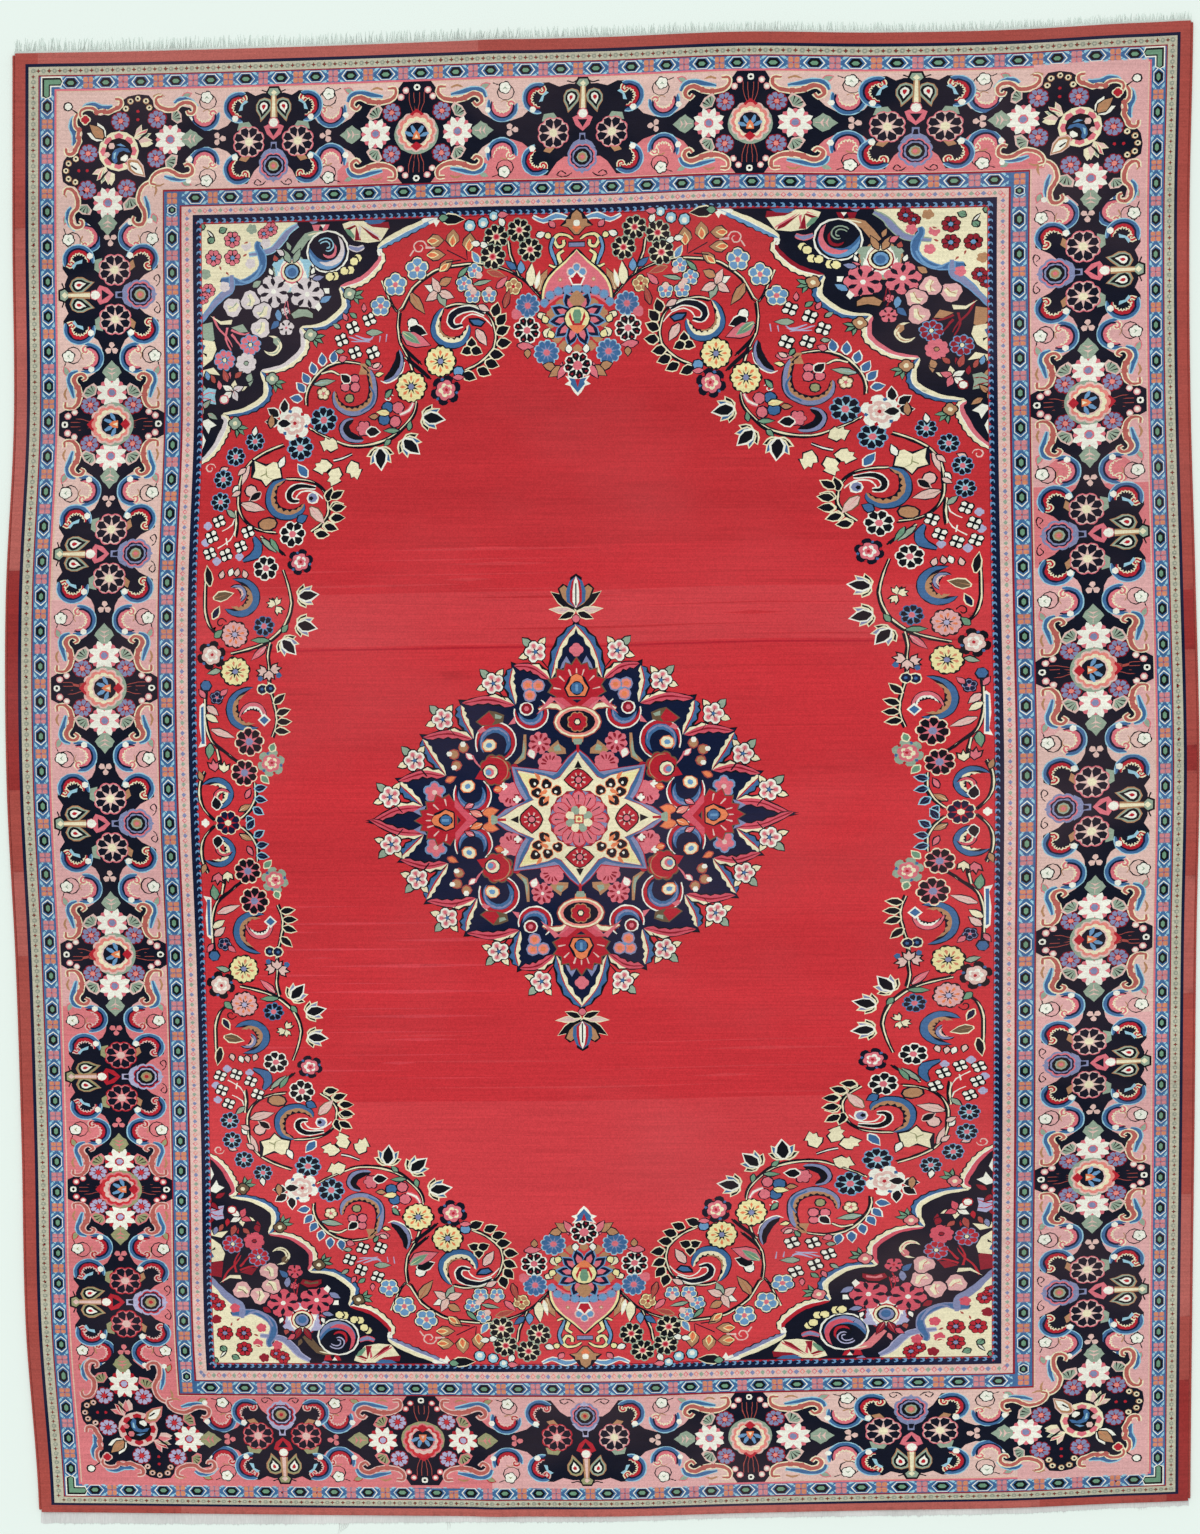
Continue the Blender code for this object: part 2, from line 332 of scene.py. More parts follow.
def daisy(where, x, y, radius, rim, petal, heart, petals=8, turn=0.0, ground=None, gap=0.16):
    """A round flower: a rim, a ring of separate petals and a heart."""
    here = moved(where, x, y, turn)
    lay(here, rim, petalled(radius, petals, gap))
    if ground:
        lay(here, ground, petalled(radius - RIM, petals, gap))
    for i in range(petals):
        arm = moved(here, 0, 0, TAU * i / petals)
        wide, tip = 2.05 * radius / petals, 1.4 * radius / petals
        side = [(0.62 * radius, wide), (0.88 * radius, tip)]
        lay(arm, petal, [(0.26 * radius, 0), *side, *((a, -b) for a, b in side[::-1])])
    lay(here, heart, oval(0.27 * radius, 6))


def horn(where, x, y, radius, start, sweep, thick, dye, curl=0.6, teeth=0, steps=16, ends=0.0):
    """A crescent along a spiral that tightens to curl times its radius. Its inner edge may have teeth."""
    outer, inner = [], []
    for i in range(steps + 1):
        part = i / steps
        angle = start + sweep * part
        reach = radius * (1 + (curl - 1) * part)
        body = thick * (ends + (1 - ends) * math.sin(math.pi * part) ** 0.6)
        if teeth and i % 2:
            body *= 1 - teeth
        outer.append((x + reach * math.cos(angle), y + reach * math.sin(angle)))
        inner.append((x + (reach - body) * math.cos(angle), y + (reach - body) * math.sin(angle)))
    lay_band(where, dye, outer, inner, 5)


print("a crescent takes", shapes_in(horn, 0, 0, 10, 0, 3, 2, "cream"), "short runs")
print("a daisy takes", shapes_in(daisy, 0, 0, 9, "wine", "violet", "salmon"), "shapes")

# %% [markdown]
# ## The bands
#
# From the rim inwards the rug is a brick-red edge, a navy line, a greyish guard with small crosses, a blue
# guard with cartouches, the wide main border, a second blue guard, a guard of small diamonds, a navy band with
# a running wave, and the red field. Each band is a whole rectangle laid over the one before, because only the
# uppermost dye counts in the end. The small tables below list the lots: where a new batch of yarn of another
# shade was begun. Such stripes are what makes a hand-knotted ground look alive.

# %% Bands
# Each band of the rug from its rim inwards.
# dye, half its outline across, half its outline along
BANDS = [
    ("brick", 566.5, 775.5),
    ("navy", 552.5, 763.5),
    ("stone", 549.5, 760.5),
    ("wine", 539.8, 752.2),
    ("blue", 538.0, 750.8),
    ("rose", 523.2, 738.2),
    ("beige", 521.4, 736.6),
    ("blush", 519.4, 735.2),
    ("beige", 416.0, 636.0),
    ("wine", 415.0, 634.8),
    ("blue", 413.2, 633.2),
    ("wine", 397.6, 619.6),
    ("blush", 395.8, 618.0),
    ("navy", 384.8, 609.6),
    ("wine", 377.2, 601.6),
    ("red", 375.6, 600.2),
]
BAND_STEP = 14.0
FIELD_ACROSS, FIELD_ALONG = BANDS[-1][1:]
print("the field is", round(2 * FIELD_ACROSS / BAND_STEP), "steps wide inside", len(BANDS) - 1, "bands")

# %% Lots of yarn
# Where a new lot of yarn was begun: dye, left, right, near, far.
BRICK_LOTS = [
    ("clay", -580, -540, 255, 599),
    ("rust", -580, -540, 34, 255),
    ("clay", -580, -540, -138, -50),
    ("rust", 540, 580, 152, 211),
    ("rust", 540, 580, 32, 57),
    ("clay", 540, 580, -196, -75),
    ("clay", 540, 580, -564, -425),
    ("rust", 540, 580, -800, -634),
    ("clay", -420, 420, -790, -760),
    ("clay", -540, -100, 760, 790),
]
GROUND_LOTS = [
    ("shell", -520, -416, -190, 225),
    ("coral", -520, -416, -740, -190),
    ("shell", 416, 520, -740, 740),
    ("coral", 416, 520, 240, 320),
    ("blush", 416, 520, -215, 65),
    ("shell", -340, -240, 636, 662),
    ("coral", -240, -77, 636, 658),
    ("coral", -77, 428, 636, 690),
    ("coral", -520, -100, -740, -636),
    ("shell", -100, 120, -740, -636),
    ("shell", 400, 520, -740, -636),
]
FIELD_LOTS = [
    ("ruby", -FIELD_ACROSS, FIELD_ACROSS, 272, FIELD_ALONG),
    ("poppy", -FIELD_ACROSS, FIELD_ACROSS, 174, 227),
    ("poppy", -FIELD_ACROSS, FIELD_ACROSS, -FIELD_ALONG, -300),
    ("madder", -FIELD_ACROSS, FIELD_ACROSS, 170, 172),
]
# dye, left, right, near, far, how many
STREAKS = [
    ("poppy", -356, 60, 227, 272, 9),
    ("ruby", -120, 370, 174, 257, 8),
    ("cerise", -370, -60, -278, -83, 22),
    ("poppy", -200, 370, -300, -220, 8),
    ("ruby", -370, 370, -81, 158, 12),
]

# %% Laying the bands
MIRRORS = [(1, 1), (-1, 1), (1, -1), (-1, -1)]


def frame_outline(across, along):
    """A rectangle with points all along its sides, so that it can follow the rug's uneven edges."""
    points = []
    corners = [(-across, -along), (across, -along), (across, along), (-across, along)]
    for (ax, ay), (bx, by) in zip(corners, corners[1:] + corners[:1]):
        steps = round((abs(bx - ax) + abs(by - ay)) / BAND_STEP)
        points += [(ax + (bx - ax) * i / steps, ay + (by - ay) * i / steps) for i in range(steps)]
    return points


def lay_lots(lots):
    """The patches of a ground that were knotted with another lot of its yarn."""
    for dye, left, right, near, far in lots:
        count = max(1, round((far - near) / BAND_STEP))
        side = [near + (far - near) * i / count for i in range(count + 1)]
        lay(paper, dye, [(right, y) for y in side] + [(left, y) for y in side[::-1]])


def lay_streaks():
    """Single runs of knots of another lot, pointed at both ends."""
    for dye, left, right, near, far, count in STREAKS:
        for i in range(count):
            y = near + (far - near) * (i + 0.5) / count
            long = (right - left) * (0.42 + 0.3 * math.sin(2.4 * i))
            x = (left + right) / 2 + (right - left - long) * 0.5 * math.sin(4.1 * i + 1)
            thick = 1.3 + 1.3 * (i % 3)
            ends = [-0.5, -0.25, 0.0, 0.25, 0.5]
            near_side = [(x + long * part, y - thick * (0.5 - abs(part))) for part in ends]
            lay(paper, dye, near_side + [(a, 2 * y - b) for a, b in near_side[-2:0:-1]])


def lay_bands(bands):
    """Lays some of the bands, the outer one first."""
    for dye, across, along in bands:
        lay(paper, dye, frame_outline(across, along))


lay_bands(BANDS[:1])
lay_lots(BRICK_LOTS)
lay_bands(BANDS[1:8])
lay_lots(GROUND_LOTS)
lay_bands(BANDS[8:])
lay_lots(FIELD_LOTS)
lay_streaks()
print("bands, lots and streaks:", len(DRAWING), "shapes")

# %% [markdown]
# ## The guards
#
# The two blue guards repeat a six-sided cartouche and a square flower of four petals, as narrow borders do on
# most rugs of this kind. The repeat is spread evenly over the length of a side, the way a weaver fits it, so
# the corners come out whole. All four sides use the same place functions.

# %% Sides of a band
def sides_of(across, along):
    """The four sides of a band's middle line: its place, how far it runs each way, and which way is out."""
    return [
        (lambda a, b, k=k: (a, k * (along + b)), across) for k in (1, -1)
    ] + [(lambda a, b, k=k: (k * (across + b), a), along) for k in (1, -1)]


def along_side(reach, pitch):
    """Even places along a side, as near the pitch as fits."""
    count = round(2 * reach / pitch)
    return [(-reach + (i + 0.5) * 2 * reach / count) for i in range(count)]


# half of a guard's middle line across, half of it along, half its width
OUTER_BLUE, INNER_BLUE = (530.6, 744.5, 6.4), (405.4, 626.4, 6.6)
CARTOUCHE_PITCH = 35.0
CARTOUCHE = [(1, 0), (0.5, 1), (-0.5, 1), (-1, 0), (-0.5, -1), (0.5, -1)]
CARTOUCHE_RINGS = [("white", 0.82, 0.86), ("blue", 0.72, 0.74), ("black", 0.56, 0.64), ("green", 0.32, 0.3)]
PALE_LEAVES = [
    [(0.5, 0.98), (0.86, 0.5), (1.0, 0.7), (0.86, 1.0)],
    [(0.92, 0.42), (1.2, 0.2), (1.16, 0.66), (1.02, 0.62)],
]
SQUARE_PETAL = [
    (0.12, 0.12), (0.12, 0.75), (0.35, 0.94), (0.75, 0.94), (0.94, 0.75), (0.94, 0.35), (0.75, 0.12),
]
print("a blue guard has", len(along_side(OUTER_BLUE[1], CARTOUCHE_PITCH)), "cartouches on a long side")


# %% Cartouches and square flowers
def cartouche(where, half, deep):
    """A six-sided cartouche of the blue guards, with a pair of pale leaves at each corner."""
    for sx, sy in MIRRORS:
        for pale_leaf in PALE_LEAVES:
            lay(where, "pale", scaled(pale_leaf, sx * half, sy * deep))
    for dye, long, tall in CARTOUCHE_RINGS:
        lay(where, dye, scaled(CARTOUCHE, half * long, deep * tall))


def four_petals(where, half, deep, dye):
    """The square flower between two cartouches."""
    lay(where, "mauve", [(half, deep), (-half, deep), (-half, -deep), (half, -deep)])
    for sx, sy in MIRRORS:
        lay(where, dye, scaled(SQUARE_PETAL, sx * half, sy * deep))
    lay(where, "madder", oval(0.16 * deep, 4))


print("a cartouche takes", shapes_in(cartouche, 11.5, 6.4), "shapes")

# %% The blue guards
def blue_guard(across, along, deep, pitch, spare):
    """The cartouches and square flowers all round a blue guard. A long side's ends leave spare free."""
    for side, (where, reach) in enumerate(sides_of(across, along)):
        spots = along_side(reach - (spare if side > 1 else 6), pitch)
        half = (spots[1] - spots[0]) / 2
        for i, a in enumerate(spots):
            cartouche(moved(where, a, 0), 11.5, deep)
            if i:
                four_petals(moved(where, a - half, 0), 5.0, 0.88 * deep, "tan" if i % 2 else "dusty")
        if side > 1 and spare > half:
            for a in (spots[0] - half, half - spots[0]):
                four_petals(moved(where, a, 0), 5.0, 0.88 * deep, "dusty")
                cartouche(moved(where, a * (1 + 11.0 / abs(a)), 0), 6.0, 0.8 * deep)


def corner_leaf(across, along, deep):
    """The black and green angle at each corner of the outer blue guard."""
    for sx, sy in MIRRORS:
        where = moved(lambda a, b: (sx * a, sy * b), across, along)
        for dye, size in (("white", 1.0), ("black", 0.78), ("green", 0.44)):
            r, long = deep * size, 12 + 8 * size
            lay(where, dye, [
                (r, r), (r - long, r), (r - long - 2, 0.2 * r), (r - long, -0.6 * r), (-0.6 * r, -0.6 * r),
                (-0.6 * r, r - long), (0.2 * r, r - long - 2), (r, r - long)
            ])


blue_guard(*OUTER_BLUE, CARTOUCHE_PITCH, 6)
blue_guard(*INNER_BLUE, CARTOUCHE_PITCH, 22.4)
for sx, sy in MIRRORS:
    four_petals(moved(paper, sx * INNER_BLUE[0], sy * INNER_BLUE[1]), 5.2, 5.6, "tan")
corner_leaf(*OUTER_BLUE)
print("with the blue guards:", len(DRAWING), "shapes")

# %% [markdown]
# ## The small guards
#
# The grey guard has crosses and rings, the pink one has small diamonds in turn, and on the navy band a wave
# runs round the field. At this size a motif is only a few knots wide, so each is two or three tiny polygons.

# %% The small guards
GREY_GUARD, PINK_GUARD, WAVE_BAND = (544.6, 756.3), (390.4, 613.8), (380.6, 605.2)
CROSS_PITCH, DIAMOND_PITCH, WAVE_PITCH = 10.6, 5.15, 7.6

for where, reach in sides_of(*GREY_GUARD):
    for a in along_side(reach, CROSS_PITCH):
        cross = moved(where, a, 0)
        lay(cross, "olive", [
            (2.6, 0), (0.7, 0.7), (0, 2.6), (-0.7, 0.7), (-2.6, 0), (-0.7, -0.7), (0, -2.6), (0.7, -0.7)
        ])
        lay(cross, "wine", oval(1.0, 4))
        ring = moved(where, a + CROSS_PITCH / 2, 0)
        lay(ring, "ash", oval(2.6, 6))
        lay(ring, "stone", oval(1.1, 4))

for where, reach in sides_of(*PINK_GUARD):
    for i, a in enumerate(along_side(reach, DIAMOND_PITCH)):
        here = moved(where, a, 0)
        if i % 2:
            lay(here, "salmon" if i % 4 == 1 else "rose", oval(2.6, 4))
            lay(here, "blush", oval(1.5, 4))
        else:
            lay(here, "sage" if i % 4 else "violet", oval(2.4, 4))

for where, reach in sides_of(*WAVE_BAND):
    for a in along_side(reach, WAVE_PITCH):
        here = moved(where, a, 0)
        lay(here, "red", [(-5.4, -4.2), (-3.8, -2.4), (-2.2, -4.2)])
        lay(here, "sky", [
            (-2.4, -4.2), (-0.8, -3.4), (0.4, -2.0), (0.6, -0.8), (-1.0, -0.6), (-1.4, 0.4), (0.9, 0.6),
            (2.4, -0.8), (2.2, -2.6), (3.0, -4.2)
        ])
print("with all guards:", len(DRAWING), "shapes")

# %% [markdown]
# ## The main border
#
# The wide border repeats two units in turn. One is a shell palmette with white stars and red scrolls, the other
# a pair of paisley drops with a lotus. Dark and pink grounds lock into each other between them. A unit is drawn
# once about its own middle, and its two halves are stretched a little so that a whole number of units fits
# every side. First come the small things that the units share.

# %% Stars, sprigs and beads
EIGHTH = TAU / 8


def star(where, x, y, radius, turn=0.0):
    """A white star flower with eight pointed petals."""
    here = moved(where, x, y, turn)
    lay(here, "rose", petalled(radius * 0.9, 8, 0.42, 0.6, EIGHTH / 2))
    lay(here, "white", petalled(radius, 8, 0.42, 1.5))
    lay(here, "rose", oval(0.3 * radius, 8))
    lay(here, "violet", oval(0.22 * radius, 6))


def sprig(where, x, y, turn, size, dye="sage"):
    """A small tuft of leaf with black veins."""
    here = moved(where, x, y, turn)
    under = [(0, 0), (0.4, 0.75), (0.95, 0.8), (1.1, 0), (0.8, -0.75), (0.3, -0.7)]
    tuft = [(0.1, 0), (0.45, 0.6), (0.85, 0.6), (0.95, 0), (0.7, -0.55), (0.35, -0.5)]
    lay(here, "blush", scaled(under, size, size))
    lay(here, dye, scaled(tuft, size, size))
    for side in (-1, 0, 1):
        lay(here, "black", [
            (0.2 * size, 0.1 * side * size), (0.85 * size, (0.4 * side + 0.07) * size),
            (0.85 * size, (0.4 * side - 0.07) * size)
        ])


def lance(where, x, y, turn, length, width):
    """A broad grey-green leaf with toothed sides."""
    here = moved(where, x, y, turn)
    side = [(0, 0.3), (0.18, 0.62), (0.3, 0.8), (0.4, 1.0), (0.52, 0.84), (0.66, 0.7), (0.76, 0.42)]
    outline = [(a * length, b * width / 2) for a, b in side] + [(length, 0)]
    outline += [(a * length, -b * width / 2) for a, b in side[::-1]]
    lay(here, "sage", outline)
    lay(here, "blush", [(0.1 * length, 0.35), (0.72 * length, 0), (0.1 * length, -0.35)])
    for part in (0.28, 0.48):
        for side in (-1, 1):
            lay(here, "blush", [
                (part * length, 0), ((part + 0.17) * length, side * width * 0.26), ((part + 0.1) * length, 0)
            ])


def bead_ring(where, x, y, dye="cream"):
    """A bead with a black hole."""
    lay(moved(where, x, y), dye, oval(3.4, 8))
    lay(moved(where, x, y), "black", oval(1.7, 6))


def bead(where, x, y, size=3.2):
    """A white bead in a blush ring."""
    lay(moved(where, x, y), "blush", oval(size, 8))
    lay(moved(where, x, y), "white", oval(size * 0.62, 6))


def trefoil(where, x, y, turn, size, dye="blush"):
    """Three small petals on one stem."""
    for i in (-1, 0, 1):
        petal = [(0, 0), (0.5, 0.42), (0.9, 0.3), (1, 0), (0.9, -0.3), (0.5, -0.42)]
        lay(moved(where, x, y, turn + i * 2.1), dye, scaled(petal, size, size))


print("a star takes", shapes_in(star, 0, 0, 16), "shapes and a sprig", shapes_in(sprig, 0, 0, 0, 10))

# %% [markdown]
# ## Scrolls and buds of the border
#
# The curved shoulders between the dark and the pink ground are scrolls: a blue crescent with a toothed red one
# inside. Seen closely they are five bands on one spiral, each a bit thinner than the one under it.

# %% Scrolls and buds
def curl(where, x, y, radius, start, hand, dye="rose"):
    """The small tight spiral at the end of a scroll."""
    here = moved(where, x, y, start)
    path = [
        (radius * (1 - 0.16 * i) * math.cos(hand * 0.9 * i), radius * (1 - 0.16 * i) * math.sin(hand * 0.9 * i))
        for i in range(6)
    ]
    line(here, dye, path, 1.9, 1.5, rim="cream", steps=2)


def crescent_scroll(where, radius, middle, hand, core, fill):
    """A blue crescent with a red toothed one inside it, round a core of another dye."""
    start, sweep = middle - hand * 1.9, hand * 3.8
    lay(where, core, oval(radius * 0.9, 12))
    horn(where, 0, 0, radius + 1.0, start, sweep, radius * 0.5, "pale", 0.94, ends=0.2)
    horn(where, 0, 0, radius, start, sweep, radius * 0.4, "blue", 0.94, ends=0.2)
    horn(where, 0, 0, radius * 0.82, start, sweep, radius * 0.3, "navy", 0.92, ends=0.2)
    horn(where, 0, 0, radius * 0.72, start, sweep, radius * 0.4, "cream", 0.86, 0.42, ends=0.3)
    horn(where, 0, 0, radius * 0.72, start, sweep, radius * 0.26, fill, 0.86, 0.3, ends=0.3)
    end = start + sweep
    curl(where, 0.5 * radius * math.cos(end), 0.5 * radius * math.sin(end), 0.26 * radius, end, hand, fill)


def bud(where, turn=0.0):
    """A white bud that black thread outlines, in front of a paler one."""
    here = moved(where, 0, 0, turn)
    lay(moved(here, 1.0, -4.5), "black", oval(8.2, 10, 1.1))
    lay(moved(here, 1.0, -4.5), "ground", oval(7.2, 10, 1.1))
    lay(here, "black", petalled(6.8, 5, 0.16))
    lay(here, "white", petalled(5.7, 5, 0.16))
    lay(here, "sage", [(-2.5, -1.5), (0, 1.5), (2.5, -1.5), (0, -0.4)])
    line(here, "black", [(-12, 5), (-8, 3.4), (-5, 3)], 0.8, 1.2)


def halves(where, before, after):
    """A unit's two halves: the place that stretches with the band, and how to stand a whole motif on it."""
    for side, stretch in ((-1, before), (1, after)):
        half = lambda a, b: where(side * a * stretch, b)
        spot = lambda x, y: lambda a, b: where(side * (x * stretch + a), y + b)
        yield half, spot, stretch


def red_scroll(where):
    """The red scroll with cream edges on the shoulder of a palmette unit, with its blue shadow."""
    line(
        where, "blue", [(34, 37), (46, 39.5), (58, 41.5), (66, 39), (69, 33)], 1.2, 4.4, 4.0, 2.0, rim="pale",
        steps=3
    )
    spine = [
        (29, 45), (22, 45), (21.5, 38), (28, 33), (38, 31.5), (47, 33), (56, 37), (63, 35), (65, 29),
        (60, 25.5), (56.5, 29)
    ]
    line(where, "clay", spine, 2.0, 3.2, 4.4, 4.6, 3.4, 2.0, rim="cream", steps=3)
    lay(moved(where, 38, 31.5), "clay", oval(3.4, 6))
    lay(moved(where, 48, 33.5), "clay", oval(3.4, 6))


print("a red scroll takes", shapes_in(red_scroll), "shapes and a bud", shapes_in(bud))

# %% Edges of the dark ground
GROUND = "night"
PALMETTE_EDGE = [
    (0, 51), (14, 51), (19, 44), (22, 37), (30, 33), (40, 30), (50, 33), (58, 35), (63, 30), (60, 24), (66, 17),
    (76, 11), (92, 9), (104, 10)
]
PAISLEY_EDGE = [
    (0, 44), (14, 45), (24, 42), (34, 47), (45, 46), (54, 38), (57, 28), (53, 20), (60, 13), (72, 9), (84, 10)
]
PAISLEY_INNER_EDGE = [
    (0, -28), (18, -28), (25, -33), (34, -46), (45, -46), (54, -38), (57, -28), (53, -19), (60, -13), (72, -9),
    (84, -10)
]
print("the dark ground turns", len(PALMETTE_EDGE) + len(PAISLEY_EDGE), "corners in half a repeat")

# %% [markdown]
# ## The palmette unit
#
# A shell palmette lies in the middle: a scalloped dome in blush, salmon and cream round a black heart. White
# stars stand left and right of it, violet daisies in the four gaps, and a bundle of thin stems above and below.
# One quarter is drawn and turned over for the others.

# %% The palmette unit
def palmette_unit(where, before, after):
    """The unit of the main border round a shell palmette."""
    for half, spot, _ in halves(where, before, after):
        for hand in (1, -1):
            flip = lambda a, b: half(a, hand * b)
            stand = lambda x, y: lambda a, b: spot(x, hand * y)(a, hand * b)
            red_scroll(flip)
            daisy(stand(25, 21), 0, 0, 9.6, "wine", "violet", "salmon", 8, 0.2, "wine", 0.1)
            sprig(stand(38, 16), 0, 0, 0.9, 11, "sage")
            line(flip, "brick", [(3, 19), (7, 30), (7.5, 40)], 0.7)
            line(flip, "brick", [(1, 19), (2.5, 30), (3, 40)], 0.6)
            for x, y in ((11, 42.5), (16, 36)):
                lay(stand(x, y), "rose", oval(3.5, 7))
                bead(stand(x, y), 0, 0, 3.0)
        star(spot(41, 0), 0, 0, 16, EIGHTH / 2)
        lance(spot(56, 0), 0, 0, 0, 21, 19)
    for hand in (1, -1):
        bead_ring(where, 0, 45.5 * hand, "white")
    shell(where, 0, 1)


def shell(where, x, y, size=1.0):
    """The shell palmette: a scalloped dome round a black heart with blue petals."""
    here = moved(where, x, y, TAU / 4, size)
    arc = [(-2 + 20.5 * math.cos(t / 10), 22 * math.sin(t / 10)) for t in range(2, 32, 2)]
    lay(here, "sage", [(19.6, 0), *arc, *((a, -b) for a, b in arc[::-1])])
    lay(here, "blush", petalled(20.6, 12, 0.1))
    lay(here, "madder", [(23, 0), (17, 7.5), (13, 0), (17, -7.5)])
    lay(here, "salmon", petalled(18.8, 12, 0.12))
    lay(moved(here, -0.5, 0), "cream", petalled(15.6, 12, 0.1))
    lay(moved(here, -1.5, 0), "blush", petalled(12.6, 10, 0.1))
    lay(moved(here, -2, 0), "night", oval(11.2, 12))
    for turn in (-1.15, -0.45, 0.45, 1.15):
        lay(moved(here, -6, 0, turn), "sky", [(2, 0), (8, 2.6), (13, 1.8), (13, -0.4), (8, -1.6)])
    lay(moved(here, -6.5, 0), "orange", [(-1, 4), (4, 3), (8, 0), (4, -3), (-1, -4)])
    lay(moved(here, -6.5, 0), "cream", [(0, 2), (4, 0), (0, -2)])
    lay(here, "madder", [(-19, 0), (-14, 6), (-10, 0), (-14, -6)])


print("a palmette unit takes", shapes_in(palmette_unit, 1.0, 1.0), "shapes")

# %% [markdown]
# ## The paisley unit
#
# A paisley is a drop whose tip bends. Here two of them stand point to point in green and black, with round
# black flowers beside them and a violet lotus on the inner side. Each drop is one outline laid five times,
# smaller every time and shifted a little towards its round end.

# %% Lotus and paisley
def lotus(where):
    """The violet lotus at the inner side of a paisley unit, with its feathered crown."""
    lay(where, "violet", [(-13, 9), (-9, 15), (-3, 18), (-3, 24), (3, 24), (3, 18), (9, 15), (13, 9)])
    for x, y in ((-8, 12), (-3.5, 15), (3.5, 15), (8, 12)):
        line(where, "pale", [(x * 0.3, 10), (x, y)], 1.6, 0.8)
    lay(where, "night", [(-1.6, 22), (1.6, 22), (2.6, 17), (-2.6, 17)])
    lay(where, "violet", petalled(15.4, 8, 0.1, 0.7, 0.39))
    lay(where, "rose", petalled(13.4, 8, 0.12, 0.7, 0.39))
    lay(where, "navy", petalled(11.8, 8, 0.1, 0.7, 0.39))
    lay(where, "violet", petalled(10.2, 8, 0.08, 0.7, 0.39))
    lay(where, "black", oval(8.6, 10))
    lay(where, "sage", oval(5.6, 8))
    lay(where, "camel", oval(4.2, 8))
    lay(where, "rose", oval(2.2, 5))
    lay(moved(where, 0, -13), "violet", [(-5, 2), (0, -4), (5, 2)])


def paisley(where):
    """One drop of the paisley pair, standing on its point."""
    drop = [
        (4.0, -12), (5.0, -7.4), (8.4, -1.6), (8.4, 4), (5.6, 8.6), (0.5, 10.4), (-4.6, 8.4), (-7.0, 4),
        (-5.6, -1.6), (-1.4, -6.4), (1.6, -9.6)
    ]
    for dye, size in (("camel", 1.1), ("sage", 0.98), ("black", 0.8), ("white", 0.5), ("madder", 0.24)):
        lay(where, dye, [(a * size + 1.4 * (1 - size), b * size + 2.4 * (1 - size)) for a, b in drop])


print("a paisley takes", shapes_in(paisley), "shapes and a lotus", shapes_in(lotus))

# %% The paisley unit
def paisley_unit(where, before, after):
    """The unit of the main border round a pair of paisleys, with a lotus on its inner side."""
    for half, spot, stretch in halves(where, before, after):
        crescent_scroll(spot(45, 31.5), 15.4, 0.1, 1, GROUND, "madder")
        crescent_scroll(spot(45, -31.5), 15.4, -0.5, -1, GROUND, "madder")
        lay(spot(37, 32), "pale", [(-3, 4), (2, 1), (3, -4), (7, -5), (4, 2), (0, 6)])
        lay(spot(50, 20), "white", oval(3.4, 6))
        lay(spot(50, -19), "white", oval(3.4, 6))
        line(half, "black", [(16, 47.5), (9, 46), (5, 48.5)], 1.4)
        line(half, "black", [(16, -45), (21, -42), (25, -46), (20, -48)], 1.2)
        line(half, "black", [(10, -44), (14, -47), (20, -48)], 1.0)
        bloom = spot(29 + 14 * (1 - stretch), -4)
        lay(moved(bloom, 3, 15), "sage", [(-8, -2), (-3, 5), (7, 4), (9, -3)])
        lay(moved(bloom, 3, -15), "camel", [(-6, 2), (2, 3), (7, -3), (0, -5)])
        daisy(bloom, 0, 0, 16.4, "rose", GROUND, "cream", 8, EIGHTH / 2, "blush", 0.12)
        paisley(spot(10.5 + 4 * (1 - stretch), 29))
        trefoil(spot(71, 0), 0, 0, math.pi, 6.8)
    lay(where, "black", [(-8, 45), (-5, 51), (5, 51), (8, 45), (3, 40), (-3, 40)])
    lay(where, "sage", [(-6, 45), (-4, 49), (4, 49), (6, 45), (2, 41), (-2, 41)])
    lay(where, "cream", [(-3, 45), (0, 48), (3, 45), (0, 42)])
    lay(where, "camel", [(-2.6, 42), (2.6, 42), (3.6, 20), (-3.6, 20)])
    lay(where, "cream", [(-1.2, 42), (1.2, 42), (2, 20), (-2, 20)])
    lay(where, "rose", [(-10, 11), (-6, 13), (6, 13), (10, 11), (7, 3), (0, -3), (-7, 3)])
    lay(where, GROUND, [(-5, 9), (5, 9), (0, 1)])
    lay(moved(where, 0, 15), "rose", oval(5.4, 8))
    lay(moved(where, 0, 15), "white", oval(4.6, 8))
    lotus(moved(where, 0, -28.5))


print("a paisley unit takes", shapes_in(paisley_unit, 1.0, 1.0), "shapes")

# %% [markdown]
# ## Between two units
#
# In the hollows between two units pink crescents and outlined buds fill the pale ground. They belong to neither
# unit, so they have a helper of their own and are laid before the units.

# %% Between two units
def between(spot):
    """The pink crescents and outlined buds in the hollows beside the neck between two units."""
    for hand in (1, -1):
        stand = lambda x, y: lambda a, b: spot(x, hand * y)(a, hand * b)
        crescent_scroll(stand(86, 23.5), 15.6, -1.7, 1, "ground", "rose")
        line(stand(86, 23.5), "camel", [(-2, 4), (3, 6), (6, 3)], 0.9)
        bud(stand(88, 42))
        lay(stand(71, 20), "white", oval(3.2, 6))
        leaf(stand(64, 43), 0, 0, 0.35, 9, 4.5, "rose", "sage")
        line(stand(42, 44), "camel", [(-8, 0), (-2, 2), (4, 0)], 1.2, 2.4, 1.0)


CORNER = (459.0, 674.8)
MIDDLE_ACROSS, MIDDLE_ALONG = 467.3, 685.2
print("the border's middle line runs", MIDDLE_ACROSS, "across and", MIDDLE_ALONG, "along from the middle")

